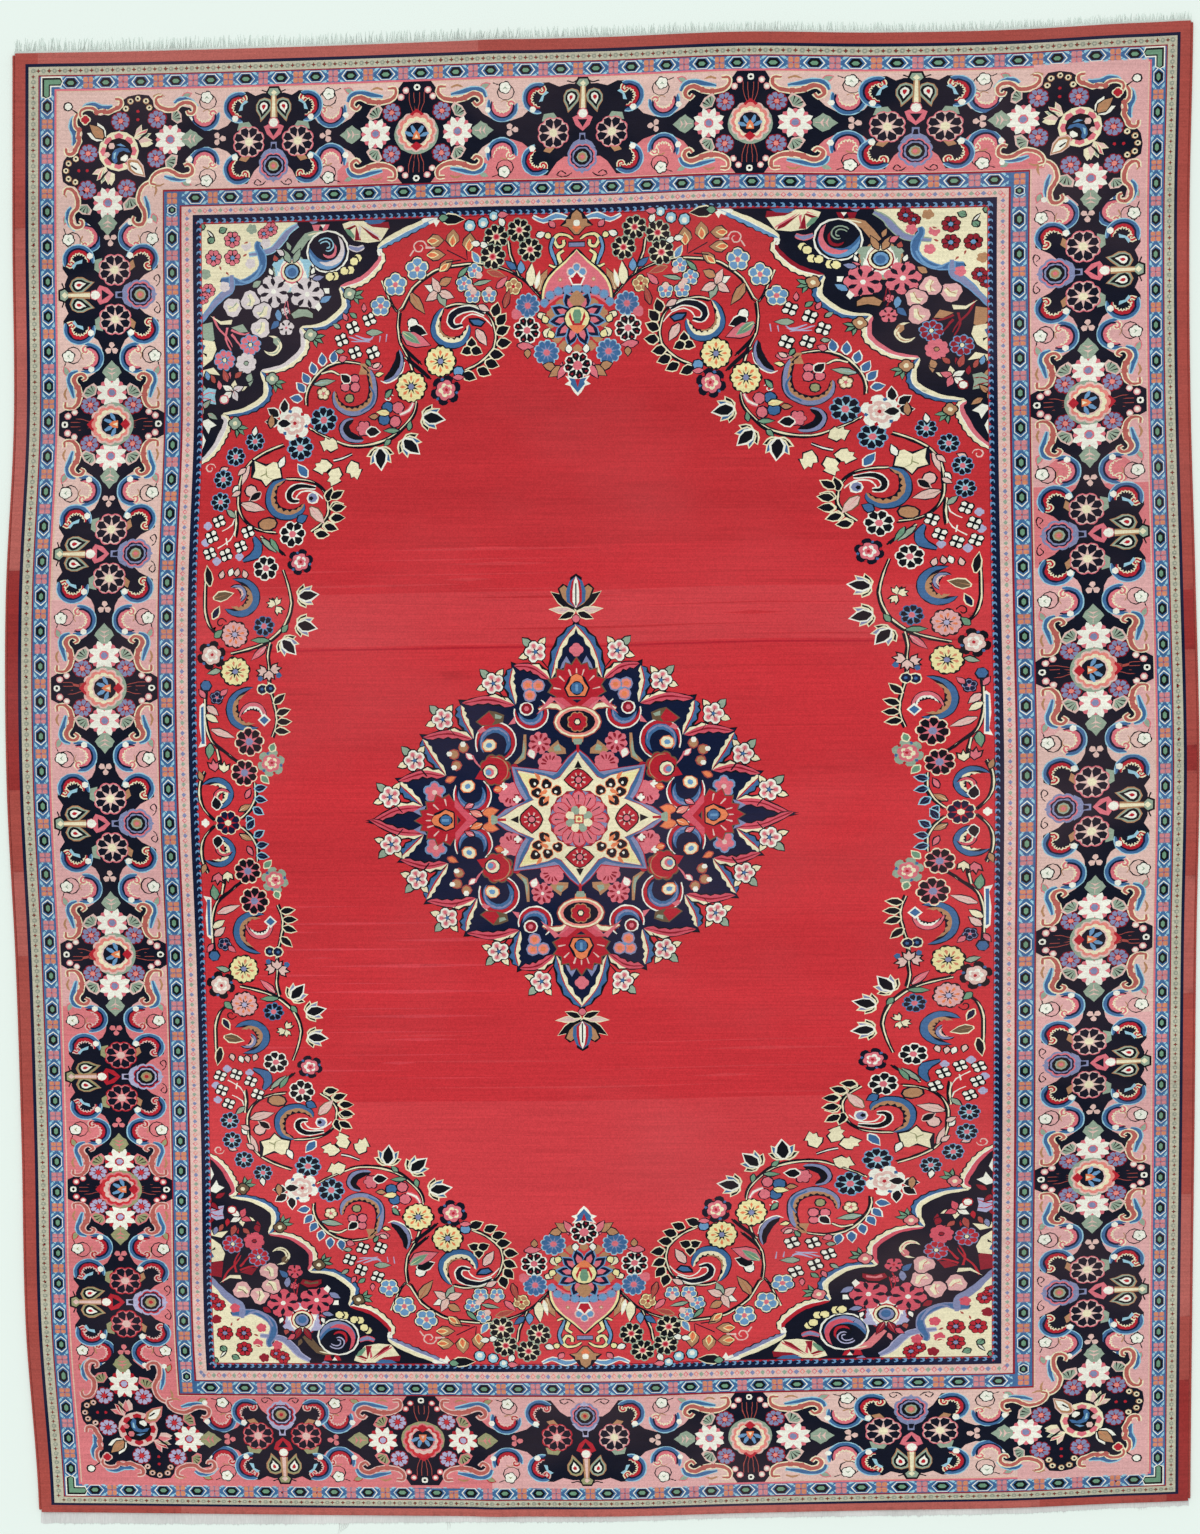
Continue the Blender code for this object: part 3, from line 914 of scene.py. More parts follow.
# %% [markdown]
# ## Fitting the repeat
#
# Five units stand on each half of a long side and three on each half of a short one. The repeat of the short
# sides was knotted a little off the middle, and slip is the number that says so. The dark ground of every unit
# is laid first, so that the units can't cover each other.

# %% Units in their places
# place, unit, how much its half towards the middle is stretched, the same for the other half
UNITS_ACROSS = [
    (0.0, paisley_unit, 1.0, 1.0), (166.0, palmette_unit, 1.0, 1.0), (309.0, paisley_unit, 0.74, 0.77)
]
UNITS_ALONG = [
    (0.0, paisley_unit, 0.78, 0.78), (136.0, palmette_unit, 0.8, 0.8), (271.0, paisley_unit, 0.76, 0.76),
    (401.0, palmette_unit, 0.78, 0.78), (531.0, paisley_unit, 0.76, 0.785)
]

SLIP = {1: 5.0, -1: -3.0}
SIDE_DEPTH = 1.03


def places_of_units():
    """Every unit of the main border with its place. The ends' units have slipped a little along their band."""
    for at, unit, before, after in UNITS_ACROSS:
        for k in (1, -1):
            for s in (1, -1) if at else (1,):
                yield unit, lambda a, b: (s * (at + a) + SLIP[k], k * (MIDDLE_ALONG + b)), before, after
    for at, unit, before, after in UNITS_ALONG:
        for k in (1, -1):
            for s in (1, -1) if at else (1,):
                yield unit, lambda a, b: (k * (MIDDLE_ACROSS + b * SIDE_DEPTH), s * (at + a)), before, after


PALMETTE_GROUND = PALMETTE_EDGE + [(a, -b) for a, b in PALMETTE_EDGE][::-1]
PAISLEY_GROUND = PAISLEY_EDGE + PAISLEY_INNER_EDGE[::-1]
for unit, where, before, after in places_of_units():
    for half, _, _ in halves(where, before, after):
        lay(half, GROUND, PALMETTE_GROUND if unit is palmette_unit else PAISLEY_GROUND)
print("units of the border:", sum(1 for _ in places_of_units()))

# %% [markdown]
# ## Turning the corner
#
# At a corner the two sides meet in a unit of their own, with a rosette on the diagonal and two arms that are
# mirrors of each other. The arm is drawn once and the mirror only swaps its two numbers.

# %% An arm of the corner
def corner_half(where):
    """The upper arm of a corner of the main border, from the rosette in its middle."""
    lay(where, GROUND, [
        (-38.4, 38.4), (-37.1, 40.6), (-31.3, 43), (-25, 41.8), (-24.1, 37.3), (-17.9, 36.6), (-10.7, 38.4),
        (-3.6, 40), (3.6, 43.8), (4.9, 51.8), (8.9, 55.2), (19.6, 57), (29.9, 55.5), (34.1, 50.9), (35, 43.8),
        (38.4, 40.6), (46.4, 37.9), (54.5, 38.8), (62.5, 43.8), (71.4, 42.4), (73.2, 38.4), (67.9, 37.3),
        (71.4, 31.3), (75.9, 25), (85.7, 18.8), (100, 18.8), (100, 2.7), (85.7, 2.7), (75.9, -0.9), (67, -9.8),
        (67.9, -15.2), (72.3, -17.9), (70.5, -22.3), (62.5, -24.1), (54.5, -20.1), (45.5, -18.3), (36.6, -20.1),
        (32.6, -27.2), (29.5, -29.5), (0, 0)
    ])
    line(
        where, "blue", [(-36.6, 42.4), (-32.1, 46.9), (-25, 47.3), (-18.8, 44.6), (-12.5, 44.2), (-6.2, 44.6)],
        1.4, 4.4, 2.6, rim="pale", steps=3
    )
    line(where, "night", [
        (-37.3, 41.5), (-31.3, 44.6), (-25, 44.8), (-18.8, 42.4), (-10.7, 42.4), (-3.6, 44.2)
    ], 1.2, steps=2)
    scroll = [
        (-3.6, 52.7), (0.9, 52.2), (2.5, 49.1), (0.9, 44.6), (-4.5, 42.4), (-10.7, 39.5), (-16.1, 40.6),
        (-21.9, 39.5), (-24.6, 43), (-30.4, 44.2), (-36.6, 42.4), (-38.8, 38.4), (-37.3, 33.9)
    ]
    line(where, "clay", scroll, 2.2, 3.8, 3.0, 2.0, rim="cream", steps=3)
    for x, y in [(-14.3, 40.4), (-22.1, 39.6), (-1.8, 43.8)]:
        lay(moved(where, x, y), "clay", oval(2.9, 6))
    for x, y in [(7.1, 42.9), (11.8, 50.2), (19, 52.7), (27.2, 50.2), (30.5, 43.3)]:
        lay(moved(where, x, y), "camel", oval(3.3, 7))
        lay(moved(where, x, y), "cream", oval(2.8, 6))
        lay(moved(where, x, y), "black", oval(1.5, 5))
    for x, y in [(19.2, 39.7), (19.2, 31.7)]:
        lay(moved(where, x, y), "madder", oval(1.7, 5))
    line(where, "violet", [(0.9, 21.4), (0.9, 16.1)], 1.6, 2.2)
    for x, y in [(1.8, 30.4), (38.4, 31.7), (37.5, -8)]:
        daisy(where, x, y, 9.8, "wine", "violet", "salmon", 8, 0.2, "wine", 0.1)
    for turn, dye in ((1.2, "blush"), (0.72, "rose"), (0.4, "sage"), (-0.02, "blush")):
        leaf(where, 16.5, 10.7, turn, 16, 5.6, "cream", dye)
    for points in (
        [(14.3, 12.1), (16.1, 18.8), (18.3, 24.1)], [(20.1, 10.7), (25, 15.2), (30.4, 18.8)],
        [(17, 3.6), (22.3, 5.8), (27.7, 2.7)]
    ):
        line(where, "black", points, 0.8, 2.0, 0.8, steps=2)
    lay(where, "cream", [(15.2, 3.6), (22.3, 8), (32.1, 9.8), (34.4, 7.1), (28.6, 3.6), (21.4, 3.6)])
    sprig(where, 52.7, 31.3, 0.5, 10, "sage")
    sprig(where, 46.4, -10.7, -0.3, 11, "sage")
    star(where, 51.6, 10.7, 16.2, EIGHTH / 2)
    lance(where, 63.4, 10.9, 0, 21, 19)
    line(
        where, "blue", [(55.4, 47.3), (59.8, 50.4), (66.1, 50.9), (73.2, 48.2), (78.1, 42.9)], 1.2, 4.0, 2.4,
        rim="pale", steps=3
    )
    upper = [
        (43.3, 54.5), (37.9, 53.1), (37.5, 48.2), (42, 43.3), (49.1, 40.9), (56.3, 41.5), (58.9, 44.2),
        (64.3, 47.3), (71.4, 46.9), (75.9, 42.9), (74.6, 37.1), (69.6, 36.6), (68.3, 39.5)
    ]
    line(where, "clay", upper, 2.0, 3.6, 3.8, 3.4, 2.0, rim="cream", steps=3)
    line(
        where, "blue", [(45.5, -26.3), (52.7, -28.6), (60.7, -29.5), (67.9, -28.6), (73.2, -25.4)], 1.2, 3.8,
        1.6, rim="pale", steps=3
    )
    lower = [
        (37.1, -34.4), (32.6, -33), (33, -28.6), (36.2, -24.1), (42, -21), (49.1, -20.1), (55.4, -22.8),
        (60.7, -25.9), (67.9, -26.1), (73.2, -23.7), (73.7, -17.9), (69.6, -14.3), (65.6, -15.6)
    ]
    line(where, "clay", lower, 2.0, 2.8, 3.8, 3.4, 2.0, rim="cream", steps=3)
    lay(moved(where, 70.1, -31.3), "white", oval(3.0, 6))


print("an arm of the corner takes", shapes_in(corner_half), "shapes")

# %% The corner unit
def corner_unit(where):
    """The piece of the main border that turns the corner: two arms and the rosette between them."""
    other = lambda a, b: where(-b, -a)
    corner_half(other)
    corner_half(where)
    lay(where, GROUND, [
        (-22.3, 10.7), (-10.7, 22.3), (19.6, 10.7), (29.5, -8.9), (25, -26.8), (8.9, -28.6), (-10.7, -19.6)
    ])
    lay(where, "cream", oval(20.0, 16))
    for i in range(8):
        lay(
            moved(where, 0, 0, i * EIGHTH), "rose",
            [(16.4, -4.4), (18.6, 0), (16.4, 4.4), (12.6, 4.0), (12.6, -4.0)]
        )
    lay(where, "black", oval(13.6, 12))
    for x, y, r in [(-7.1, 5.4, 3.4), (-11.6, -3.1, 3.0)]:
        lay(moved(where, x, y), "blush", oval(r, 6))
    lay(where, "blue", [
        (-3.6, 1.8), (1.8, 3.6), (8.9, 2.7), (11.6, -1.3), (5.4, -0.9), (0.9, -0.9), (-1.8, -5.4),
        (-0.9, -10.7), (-3.6, -13.4), (-7.1, -8), (-6.2, -1.8)
    ])
    lay(where, "sky", [(-2.7, 6.2), (1.8, 8), (7.1, 4.5), (1.8, 4.9)])
    lay(where, "pale", [(-4.9, -1.8), (-2.7, -0.9), (-3.6, -7.1), (-5.4, -8)])
    lay(moved(where, 4.5, -5.8), "black", oval(6.6, 8))
    lay(moved(where, 4.5, -5.8), "white", [
        (1.8, 2.7), (4.9, 0.9), (4.9, -1.8), (1.8, -4.9), (-2.7, -3.6), (-2.7, -0.9)
    ])
    leaf(where, -13.8, 14.3, 2.05, 17, 7.6, "black", "white", "rose")
    leaf(where, -16.1, 12.1, 2.75, 17, 7.6, "black", "white", "rose")
    leaf(where, -15.6, 13.8, 2.36, 19, 9.6, "black", "camel", "orange")
    leaf(where, 9.8, -9.4, -EIGHTH, 23, 12.5, "blush", "camel")
    leaf(where, 12.1, -11.6, -EIGHTH, 18, 8.0, "camel", "white")
    line(where, "black", [(12.5, -14.7), (18.3, -18.8)], 1.4)
    lay(moved(where, -33.5, 32.3), "cream", petalled(5.6, 4, 0.2))
    lay(moved(where, -33.5, 32.3), "madder", petalled(4.3, 4, 0.2))
    line(where, "black", [(-47.3, 43.3), (-41.5, 38.8)], 1.2)
    lay(moved(where, -50.7, 45.7), "black", oval(5.0, 8))
    lay(moved(where, -50.7, 45.7), "white", oval(3.8, 7))

# %% [markdown]
# ## Laying the border
#
# Everything of the border is laid now: first what fills the hollows, then the corners, then the units. The
# ground inside a scroll takes the lot of yarn of its place. On the left, nearer half a small table swaps in
# deeper shades.

# %% Laying the units
def lot_at(lots, x, y, dye):
    """The dye of the lot that was in use at a place."""
    for lot, left, right, near, far in lots:
        if left <= x <= right and near <= y <= far:
            dye = lot
    return dye


first = len(DRAWING)
for sx, sy in MIRRORS:
    for arm in (
        lambda x, y: lambda a, b: (sx * (CORNER[0] - x - a), sy * (MIDDLE_ALONG + y + b)),
        lambda x, y: lambda a, b: (sx * (MIDDLE_ACROSS + y + b), sy * (CORNER[1] - x - a)),
    ):
        between(arm)
    corner_unit(lambda a, b: (sx * (CORNER[0] - a), sy * (CORNER[1] + b)))
for unit, where, before, after in places_of_units():
    if unit is palmette_unit:
        for _, spot, _ in halves(where, before, after):
            between(spot)
for unit, where, before, after in places_of_units():
    unit(where, before, after)
# On the left, nearer half of the border some dyes are swapped for deeper ones.
DEEPER_FROM = -190
DEEPER = {
    "blush": "coral", "rose": "madder", "salmon": "red", "cream": "blush", "violet": "lilac", "sage": "moss"
}
for i, (dye, points) in enumerate(DRAWING[first:], first):
    x, y = points[0]
    if dye == "ground":
        DRAWING[i] = (lot_at(GROUND_LOTS, x, y, "blush"), points)
    elif x < 0 and y < DEEPER_FROM and dye in DEEPER:
        DRAWING[i] = (DEEPER[dye], points)
print("with the main border:", len(DRAWING), "shapes")

# %% [markdown]
# ## The drawing of the field
#
# The cartoon of a medallion rug holds one quarter of the field. The weaver reads it forwards, backwards, and
# then upside down, so that four quarters face each other. In the script a place is a function that takes two
# numbers to the sheet of paper, so a quarter is turned over by handing its drawing another place. Each cell
# below draws one kind of thing and prints how many shapes the cartoon holds by then.

# %% One quarter drawn four times
def told(what):
    """Prints how far the cartoon has come."""
    print(what, "drawn:", len(DRAWING), "shapes on the cartoon")


def quarters(draw):
    """Draws one quarter of the cartoon and turns it over for the other three."""
    for sx, sy in MIRRORS:
        draw(lambda a, b, sx=sx, sy=sy: (sx * a, sy * b))


# %% [markdown]
# ## Blades and scallops
#
# The long curved leaves of this rug have one smooth side and one toothed side, as if they were cut with shears,
# and black thread round both. Their outline could be drawn point by point, but it is easier to draw the spine
# alone and to set the two sides off from it. Short runs of the band keep every outline simple, even where the
# blade curls over itself.

# %% Blades and scallops
def toothed(path, width, teeth):
    """The far side of a band beside a path, cut into teeth, while its near side is the path itself."""
    left, _ = sides_of_line(path, [2 * width] * 2)
    count = len(path) - 1
    far = []
    for i, ((x, y), (ax, ay)) in enumerate(zip(path, left)):
        part = math.sin(math.pi * i / count) ** 0.5 * (1 - teeth * (i % 2))
        far.append((x + (ax - x) * part, y + (ay - y) * part))
    return far


def scallop(where, points, inner, outer, width=4.6):
    """A long curved leaf on the edge of a dark ground: one dye inside, another one outside with teeth."""
    path = smooth(points, 6)
    wide, narrow = toothed(path, -width, 0.0), toothed(path, width, 0.3)
    lay_band(where, "night", toothed(path, -width - RIM, 0), toothed(path, width + RIM, 0.2))
    lay_band(where, inner, path, wide)
    lay_band(where, outer, path, narrow)
    lay_band(where, "white", toothed(path, 0.5, 0), toothed(path, -0.5, 0))


def crescent(where, points, outside, inside, outer="blue", inner="camel"):
    """A long curved blade: a dye on its outer side, a toothed one on its inner side, black thread round it."""
    path = smooth(points, 3)
    grow = RIM if outside > 0 else -RIM
    lay_band(where, "night", toothed(path, outside + grow, 0), toothed(path, inside - grow, 0))
    lay_band(where, outer, path, toothed(path, outside, 0))
    lay_band(where, inner, path, toothed(path, inside, 0.5))


print("a scallop has", len(smooth([(0, 0), (20, 8), (40, 0)], 6)), "places on its spine")

# %% [markdown]
# ## Small flowers
#
# The weaver knows some six kinds of small flower and repeats them in other dyes: the lattice of four dots, the
# flower of five petals, the gapped rosette, the daisy with veins, the full rose. Each is a few flat shapes laid
# over each other round one place, so a helper for each kind keeps the drawing itself short.

# %% Small flowers
def lattice(where, x, y, radius=7.0, turn=0.4):
    """Four white dots in a black outline, tied together in the middle."""
    here = moved(where, x, y, turn)
    lay(here, "black", petalled(radius, 4, 0.34, 0.8, TAU / 8, 5))
    for i in range(4):
        dot_outline = [(0.18, 0), (0.5, 0.32), (0.82, 0.2), (0.82, -0.2), (0.5, -0.32)]
        lay(moved(here, 0, 0, TAU / 8 + i * TAU / 4), "white", scaled(dot_outline, radius, radius))


def spiral(where, x, y, radius, start, turns, width, dye, rim=None, shrink=0.72):
    """A line that winds inwards."""
    steps = max(6, round(abs(turns) * 9))
    path = []
    for i in range(steps + 1):
        reach, angle = radius * (1 - shrink * i / steps), start + TAU * turns * i / steps
        path.append((reach * math.cos(angle), reach * math.sin(angle)))
    line(moved(where, x, y), dye, path, width * 0.7, width, width * 0.6, rim=rim, steps=2)


def five(where, x, y, radius, turn=0.3, petal="sky", rim="cream", heart="rose"):
    """A flower with five round petals."""
    here = moved(where, x, y, turn)
    lay(here, "night", petalled(radius + RIM, 5, 0.2))
    lay(here, rim, petalled(radius, 5, 0.22))
    for i in range(5):
        outline = [(0.2, 0), (0.5, 0.36), (0.78, 0.3), (0.88, 0), (0.78, -0.3), (0.5, -0.36)]
        lay(moved(here, 0, 0, TAU * i / 5), petal, scaled(outline, radius, radius))
    lay(here, heart, oval(0.24 * radius, 6))


def gapped(where, x, y, radius, petals=7, turn=0.0, petal="blush", gap="night", heart="white"):
    """A pale rosette whose petals a dark drop divides."""
    here = moved(where, x, y, turn)
    lay(here, petal, petalled(radius, petals, 0.2))
    for i in range(petals):
        drop = [(0.3, 0), (0.56, 0.13), (0.76, 0.1), (0.82, 0), (0.76, -0.1), (0.56, -0.13)]
        lay(moved(here, 0, 0, TAU * (i + 0.5) / petals), gap, scaled(drop, radius, radius))
    lay(here, heart, oval(0.16 * radius, 6))


def rayed(where, x, y, radius, petals=8, turn=0.0, petal="cream", vein="madder", heart="violet"):
    """A daisy on a black ground, with a red vein in each petal."""
    here = moved(where, x, y, turn)
    lay(here, "black", petalled(radius + RIM, petals, 0.12))
    for i in range(petals):
        arm = moved(here, 0, 0, TAU * i / petals)
        wide = 2.6 / petals * radius
        side = [(0.55 * radius, wide * 0.8), (0.8 * radius, wide), (0.96 * radius, wide * 0.5)]
        notch = (0.88 * radius, 0)
        lay(arm, petal, [(0.2 * radius, 0), *side, notch, *((a, -b) for a, b in side[::-1])])
        lay(arm, vein, scaled([(0.3, 0), (0.6, 0.1), (0.74, 0), (0.6, -0.1)], radius, radius))
    lay(here, heart, oval(0.2 * radius, 6))


def rose(where, x, y, radius, ring="night", petal="rose", heart="cream"):
    """A full rose: a dark ring of leaves and rings of petals."""
    here = moved(where, x, y, 0.3)
    lay(here, ring, petalled(radius, 6, 0.24))
    for i in range(6):
        spark = scaled([(0.6, 0), (0.74, 0.12), (0.86, 0), (0.74, -0.12)], radius, radius)
        lay(moved(here, 0, 0, TAU * (i + 0.5) / 6), "blue" if i % 2 else "madder", spark)
    lay(here, petal, petalled(0.66 * radius, 6, 0.16))
    lay(moved(here, 0, 0, 0.4), heart, petalled(0.46 * radius, 5, 0.3))
    lay(moved(here, 0.05 * radius, 0), petal, petalled(0.3 * radius, 5, 0.3))
    lay(moved(here, 0.05 * radius, 0), "madder", oval(0.12 * radius, 5))


for name, kind in (
    ("lattice", lattice), ("five petals", five), ("gapped", gapped), ("rayed", rayed), ("rose", rose)
):
    print("the flower", name, "takes", shapes_in(kind, 0, 0, 8), "shapes")

# %% [markdown]
# ## Buds
#
# Berries and buds fill the places that are too small for a flower. A berry is two ovals. The fan is a camel bud
# with three green leaves, and it hides the sharp corner where two scallops meet.

# %% Buds
def dot(where, x, y, radius, rim, dye):
    """A berry: one oval on another one."""
    lay(moved(where, x, y), rim, oval(radius + RIM, 8))
    lay(moved(where, x, y), dye, oval(radius, 7))


def fan(where, x, y, turn, size=9.0):
    """The camel bud with three small green leaves that sits where two scallops meet."""
    here = moved(where, x, y, turn)
    for bend in (-0.75, 0.0, 0.75):
        leaf(moved(here, 0.5 * size, 0, bend), 0, 0, 0, 1.15 * size, 0.36 * size, "black", "green")
    lay(here, "black", petalled(0.82 * size, 4, 0.2, 0.7, TAU / 8))
    lay(here, "camel", petalled(0.68 * size, 4, 0.2, 0.7, TAU / 8))
    lay(here, "cream", oval(0.26 * size, 6))


print("a fan takes", shapes_in(fan, 0, 0, 0), "shapes")

# %% [markdown]
# ## The corners of the field
#
# Each corner of the field is a dark quarter of a medallion, called a spandrel, with a cream ground in its own
# corner. Its edge is a row of scallops. A single smooth curve would lose the sharp notches, so the edge is kept
# as six short curves that start where the last one ended. The two grounds are laid first and everything else
# lies on them.

# %% Grounds of a spandrel
FIRST_OF_SPANDRELS = len(DRAWING)
SCALLOPED_EDGE = [
    [(-137.5, 601), (-163, 590.5), (-187.5, 578.5), (-199.5, 571)],
    [(-199.5, 571), (-195.5, 559.5), (-212, 541.5), (-228.5, 535), (-237.5, 534)],
    [(-237.5, 534), (-232.5, 522.5), (-233.5, 511), (-253.5, 496), (-278, 494)],
    [(-278, 494), (-273.5, 485), (-275.5, 470), (-295, 455), (-318, 451.5)],
    [(-318, 451.5), (-311.5, 439), (-313, 424.5), (-332, 412.5), (-357.5, 408.5)],
    [(-357.5, 408.5), (-351, 402.5), (-355, 388.5), (-366, 370.5), (-381, 358)],
]


def spandrel_grounds(q):
    """The dark ground, the cream one in its corner and the waving ribbons between them."""
    ground = [point for part in SCALLOPED_EDGE for point in smooth(part, 3)]
    corner = (-FIELD_ACROSS, FIELD_ALONG)
    top = [(-FIELD_ACROSS + 18 * i, FIELD_ALONG) for i in range(13)]
    side = [(-FIELD_ACROSS, FIELD_ALONG - 18 * i) for i in range(13, 0, -1)]
    lay(q, "night", [corner, *top, *ground, (-FIELD_ACROSS, ground[-1][1] + 8), *side])
    cream = [
        (-279.5, 599), (-282, 596), (-291, 591), (-298.5, 581.5), (-306.5, 573), (-313, 572), (-316.5, 581),
        (-320.5, 577), (-316.5, 568), (-317, 558), (-322, 549), (-333.5, 541.5), (-346.5, 543), (-356.5, 546),
        (-358, 542), (-348, 538), (-355.5, 530.5), (-363.5, 523), (-372.5, 513), (-378.5, 503)
    ]
    lay(q, "cream", [corner, *top[1:6], *cream, (-FIELD_ACROSS, cream[-1][1] + 8), *side[8:]])
    waves = [
        [(-279.5, 597), (-289.5, 590), (-296, 581.5), (-305, 573), (-314, 570.5), (-328.5, 568.5)],
        [
            (-318.5, 581.5), (-320, 576), (-315.5, 567), (-315, 556.5), (-322, 547.5), (-333.5, 541.5),
            (-341.5, 541)
        ],
        [(-337.5, 540.5), (-346.5, 543), (-356.5, 543.5)],
        [(-346.5, 548.5), (-346.5, 535.5), (-355.5, 528), (-364.5, 519), (-377, 503)],
    ]
    for i, points in enumerate(waves):
        line(q, "violet" if i in (0, 3) else "blue", points, 2.4, 6.0, 5.0, 2.4, rim="sky" if i else "pale")
    line(q, "sky", [(-340, 543), (-330, 541.5), (-321, 547.5), (-315.5, 558)], 1.0, 3.0, 1.6)


quarters(spandrel_grounds)
told("spandrel grounds")

# %% [markdown]
# ## Flowers on the cream ground
#
# The cream corner holds red rosettes in black thread. Between them stand leaves and some flowers that are only
# a shade off the ground, which is how a weaver fills a space without drawing the eye to it.

# %% Flowers on the cream ground
def flowers_on_cream(q):
    """Red rosettes in black thread, green leaves and faint flowers on the cream corner."""
    for x, y, r in [
        (-345, 584, 8.8), (-364, 566, 8.8), (-345, 566, 8.6), (-306.5, 593.5, 7.6), (-313.5, 589, 6.6),
        (-369.5, 533.5, 7.6), (-375, 526, 6.6)
    ]:
        daisy(q, x, y, r, "black", "rose", "sky", 7, 0.2, "black")
    for x, y, t in [(-357.5, 592.5, 0.4), (-368, 581.5, 0.9), (-374.5, 595, 2.0)]:
        leaf(q, x, y, t, 7, 6, "black", "green", "black")
    leaf(q, -364, 587, 2.3, 9, 2.2, "black", "white")
    for x, y, dye in [
        (-325.5, 594, "sage"), (-372, 550, "sage"), (-331, 577.5, "blush"), (-311.5, 579.5, "blush"),
        (-327, 559.5, "blush"), (-353, 537, "blush")
    ]:
        lay(moved(q, x, y, 0.8), dye, petalled(5.4, 5, 0.2))
    for x, y, t in [(-333.5, 580, 0.3), (-358, 557.5, -1.2), (-351.5, 552, -0.9), (-334.5, 567, 0.5)]:
        leaf(q, x, y, t, 5, 2, "cream", "brick")


quarters(flowers_on_cream)
told("flowers on cream")

# %% [markdown]
# ## The comma scroll
#
# A comma scroll winds inwards and thins out as it goes. Drawn as a spiral pen line it would keep its width, so
# it is made of horns: crescents whose spine tightens and whose body swells and fades.

# %% The comma scroll
def comma_scroll(q):
    """The camel hook and the round scroll in blue and sky, with the cut flower above them."""
    lay(q, "camel", [
        (-272.5, 588.5), (-260.5, 591.5), (-246, 589), (-239, 581.5), (-241, 576.5), (-246, 575), (-248, 579),
        (-252.5, 584.5), (-263, 584.5), (-269, 581), (-275.5, 572), (-281, 566), (-286, 570), (-279.5, 580)
    ])
    line(q, "cream", [(-269, 586.5), (-259, 588.5), (-247.5, 586), (-243, 580)], 1.0, 2.0, 1.2)
    here = moved(q, -249.5, 569.5)
    lay(here, "white", oval(21.5, 16))
    lay(here, "night", oval(19.8, 16))
    horn(here, 0, 0, 19.0, 2.9, 3.7, 9.6, "blue", 0.9)
    horn(here, 0, 0, 18.6, 3.1, 3.1, 5.2, "sky", 0.9)
    horn(here, 0, 0, 18.8, 1.0, -3.3, 5.6, "blush", 0.7)
    horn(here, 0, 0, 10.4, 0.9, -3.6, 3.2, "rose", 0.5)
    spiral(here, 0, 1, 13.0, 0.9, -0.8, 1.6, "black")
    spiral(here, -1, 5, 8.5, 2.6, -0.7, 2.6, "night", "pale")
    lay(q, "rose", [
        (-265.5, 597), (-263.5, 591), (-259, 590), (-257.5, 595.5), (-254, 595), (-254, 589.5), (-249.5, 592),
        (-247.5, 597)
    ])
    lay(q, "white", [(-256.5, 596.5), (-254, 592.5), (-251.5, 596.5)])
    lay(q, "violet", [(-268, 600.5), (-265.5, 597.5), (-260.5, 598.5), (-259, 601)])


quarters(comma_scroll)
told("comma scroll")

# %% [markdown]
# ## The striped lily
#
# The lily is the one motif that the guard cuts through, as if the drawing went on underneath. Its stripes are
# plain polygons, because a worn rug shows them as blocks of knots and nothing finer.

# %% The striped lily
def striped_lily(q):
    """The lily that the frame cuts through, in cream, wine and blush."""
    lay(q, "cream", [
        (-234.5, 596.5), (-227, 599.5), (-199, 598.5), (-188.5, 591), (-196, 578.5), (-209, 577), (-223, 579.5),
        (-232.5, 591.5)
    ])
    for points in (
        [(-231.5, 592), (-222, 595.5), (-220.5, 594), (-228, 590)], [(-221, 595), (-216, 579.5), (-222, 580)],
        [(-217.5, 595.5), (-199, 582.5), (-197, 578.5), (-204, 581.5)],
        [(-211, 597), (-188.5, 597.5), (-187.5, 591), (-204, 592.5)]
    ):
        lay(q, "wine", points)
    for points in (
        [(-231.5, 593.5), (-223, 597.5), (-222, 596)], [(-218.5, 594), (-216, 593), (-217.5, 580.5)],
        [(-215.5, 596), (-196, 582.5), (-195, 580), (-209, 589.5)]
    ):
        lay(q, "blush", points)
    lay(q, "blue", [(-213, 598.5), (-206.5, 595.5), (-196, 596), (-191, 599.5), (-209, 601)])
    lay(q, "green", [(-232.5, 592), (-229.5, 586), (-223, 581), (-222, 584.5), (-227, 591)])
    line(q, "violet", [(-228.5, 574), (-220.5, 571), (-213, 573.5)], 2.0, 4.0, 1.4, rim="blush")


quarters(striped_lily)
told("striped lily")

# %% [markdown]
# ## The pale palmette
#
# A palmette is a flower seen from the side and from above at once. Here it is a stack of outlines that get
# smaller, each in its own dye, and leaves that are drawn once and turned over for the other side.

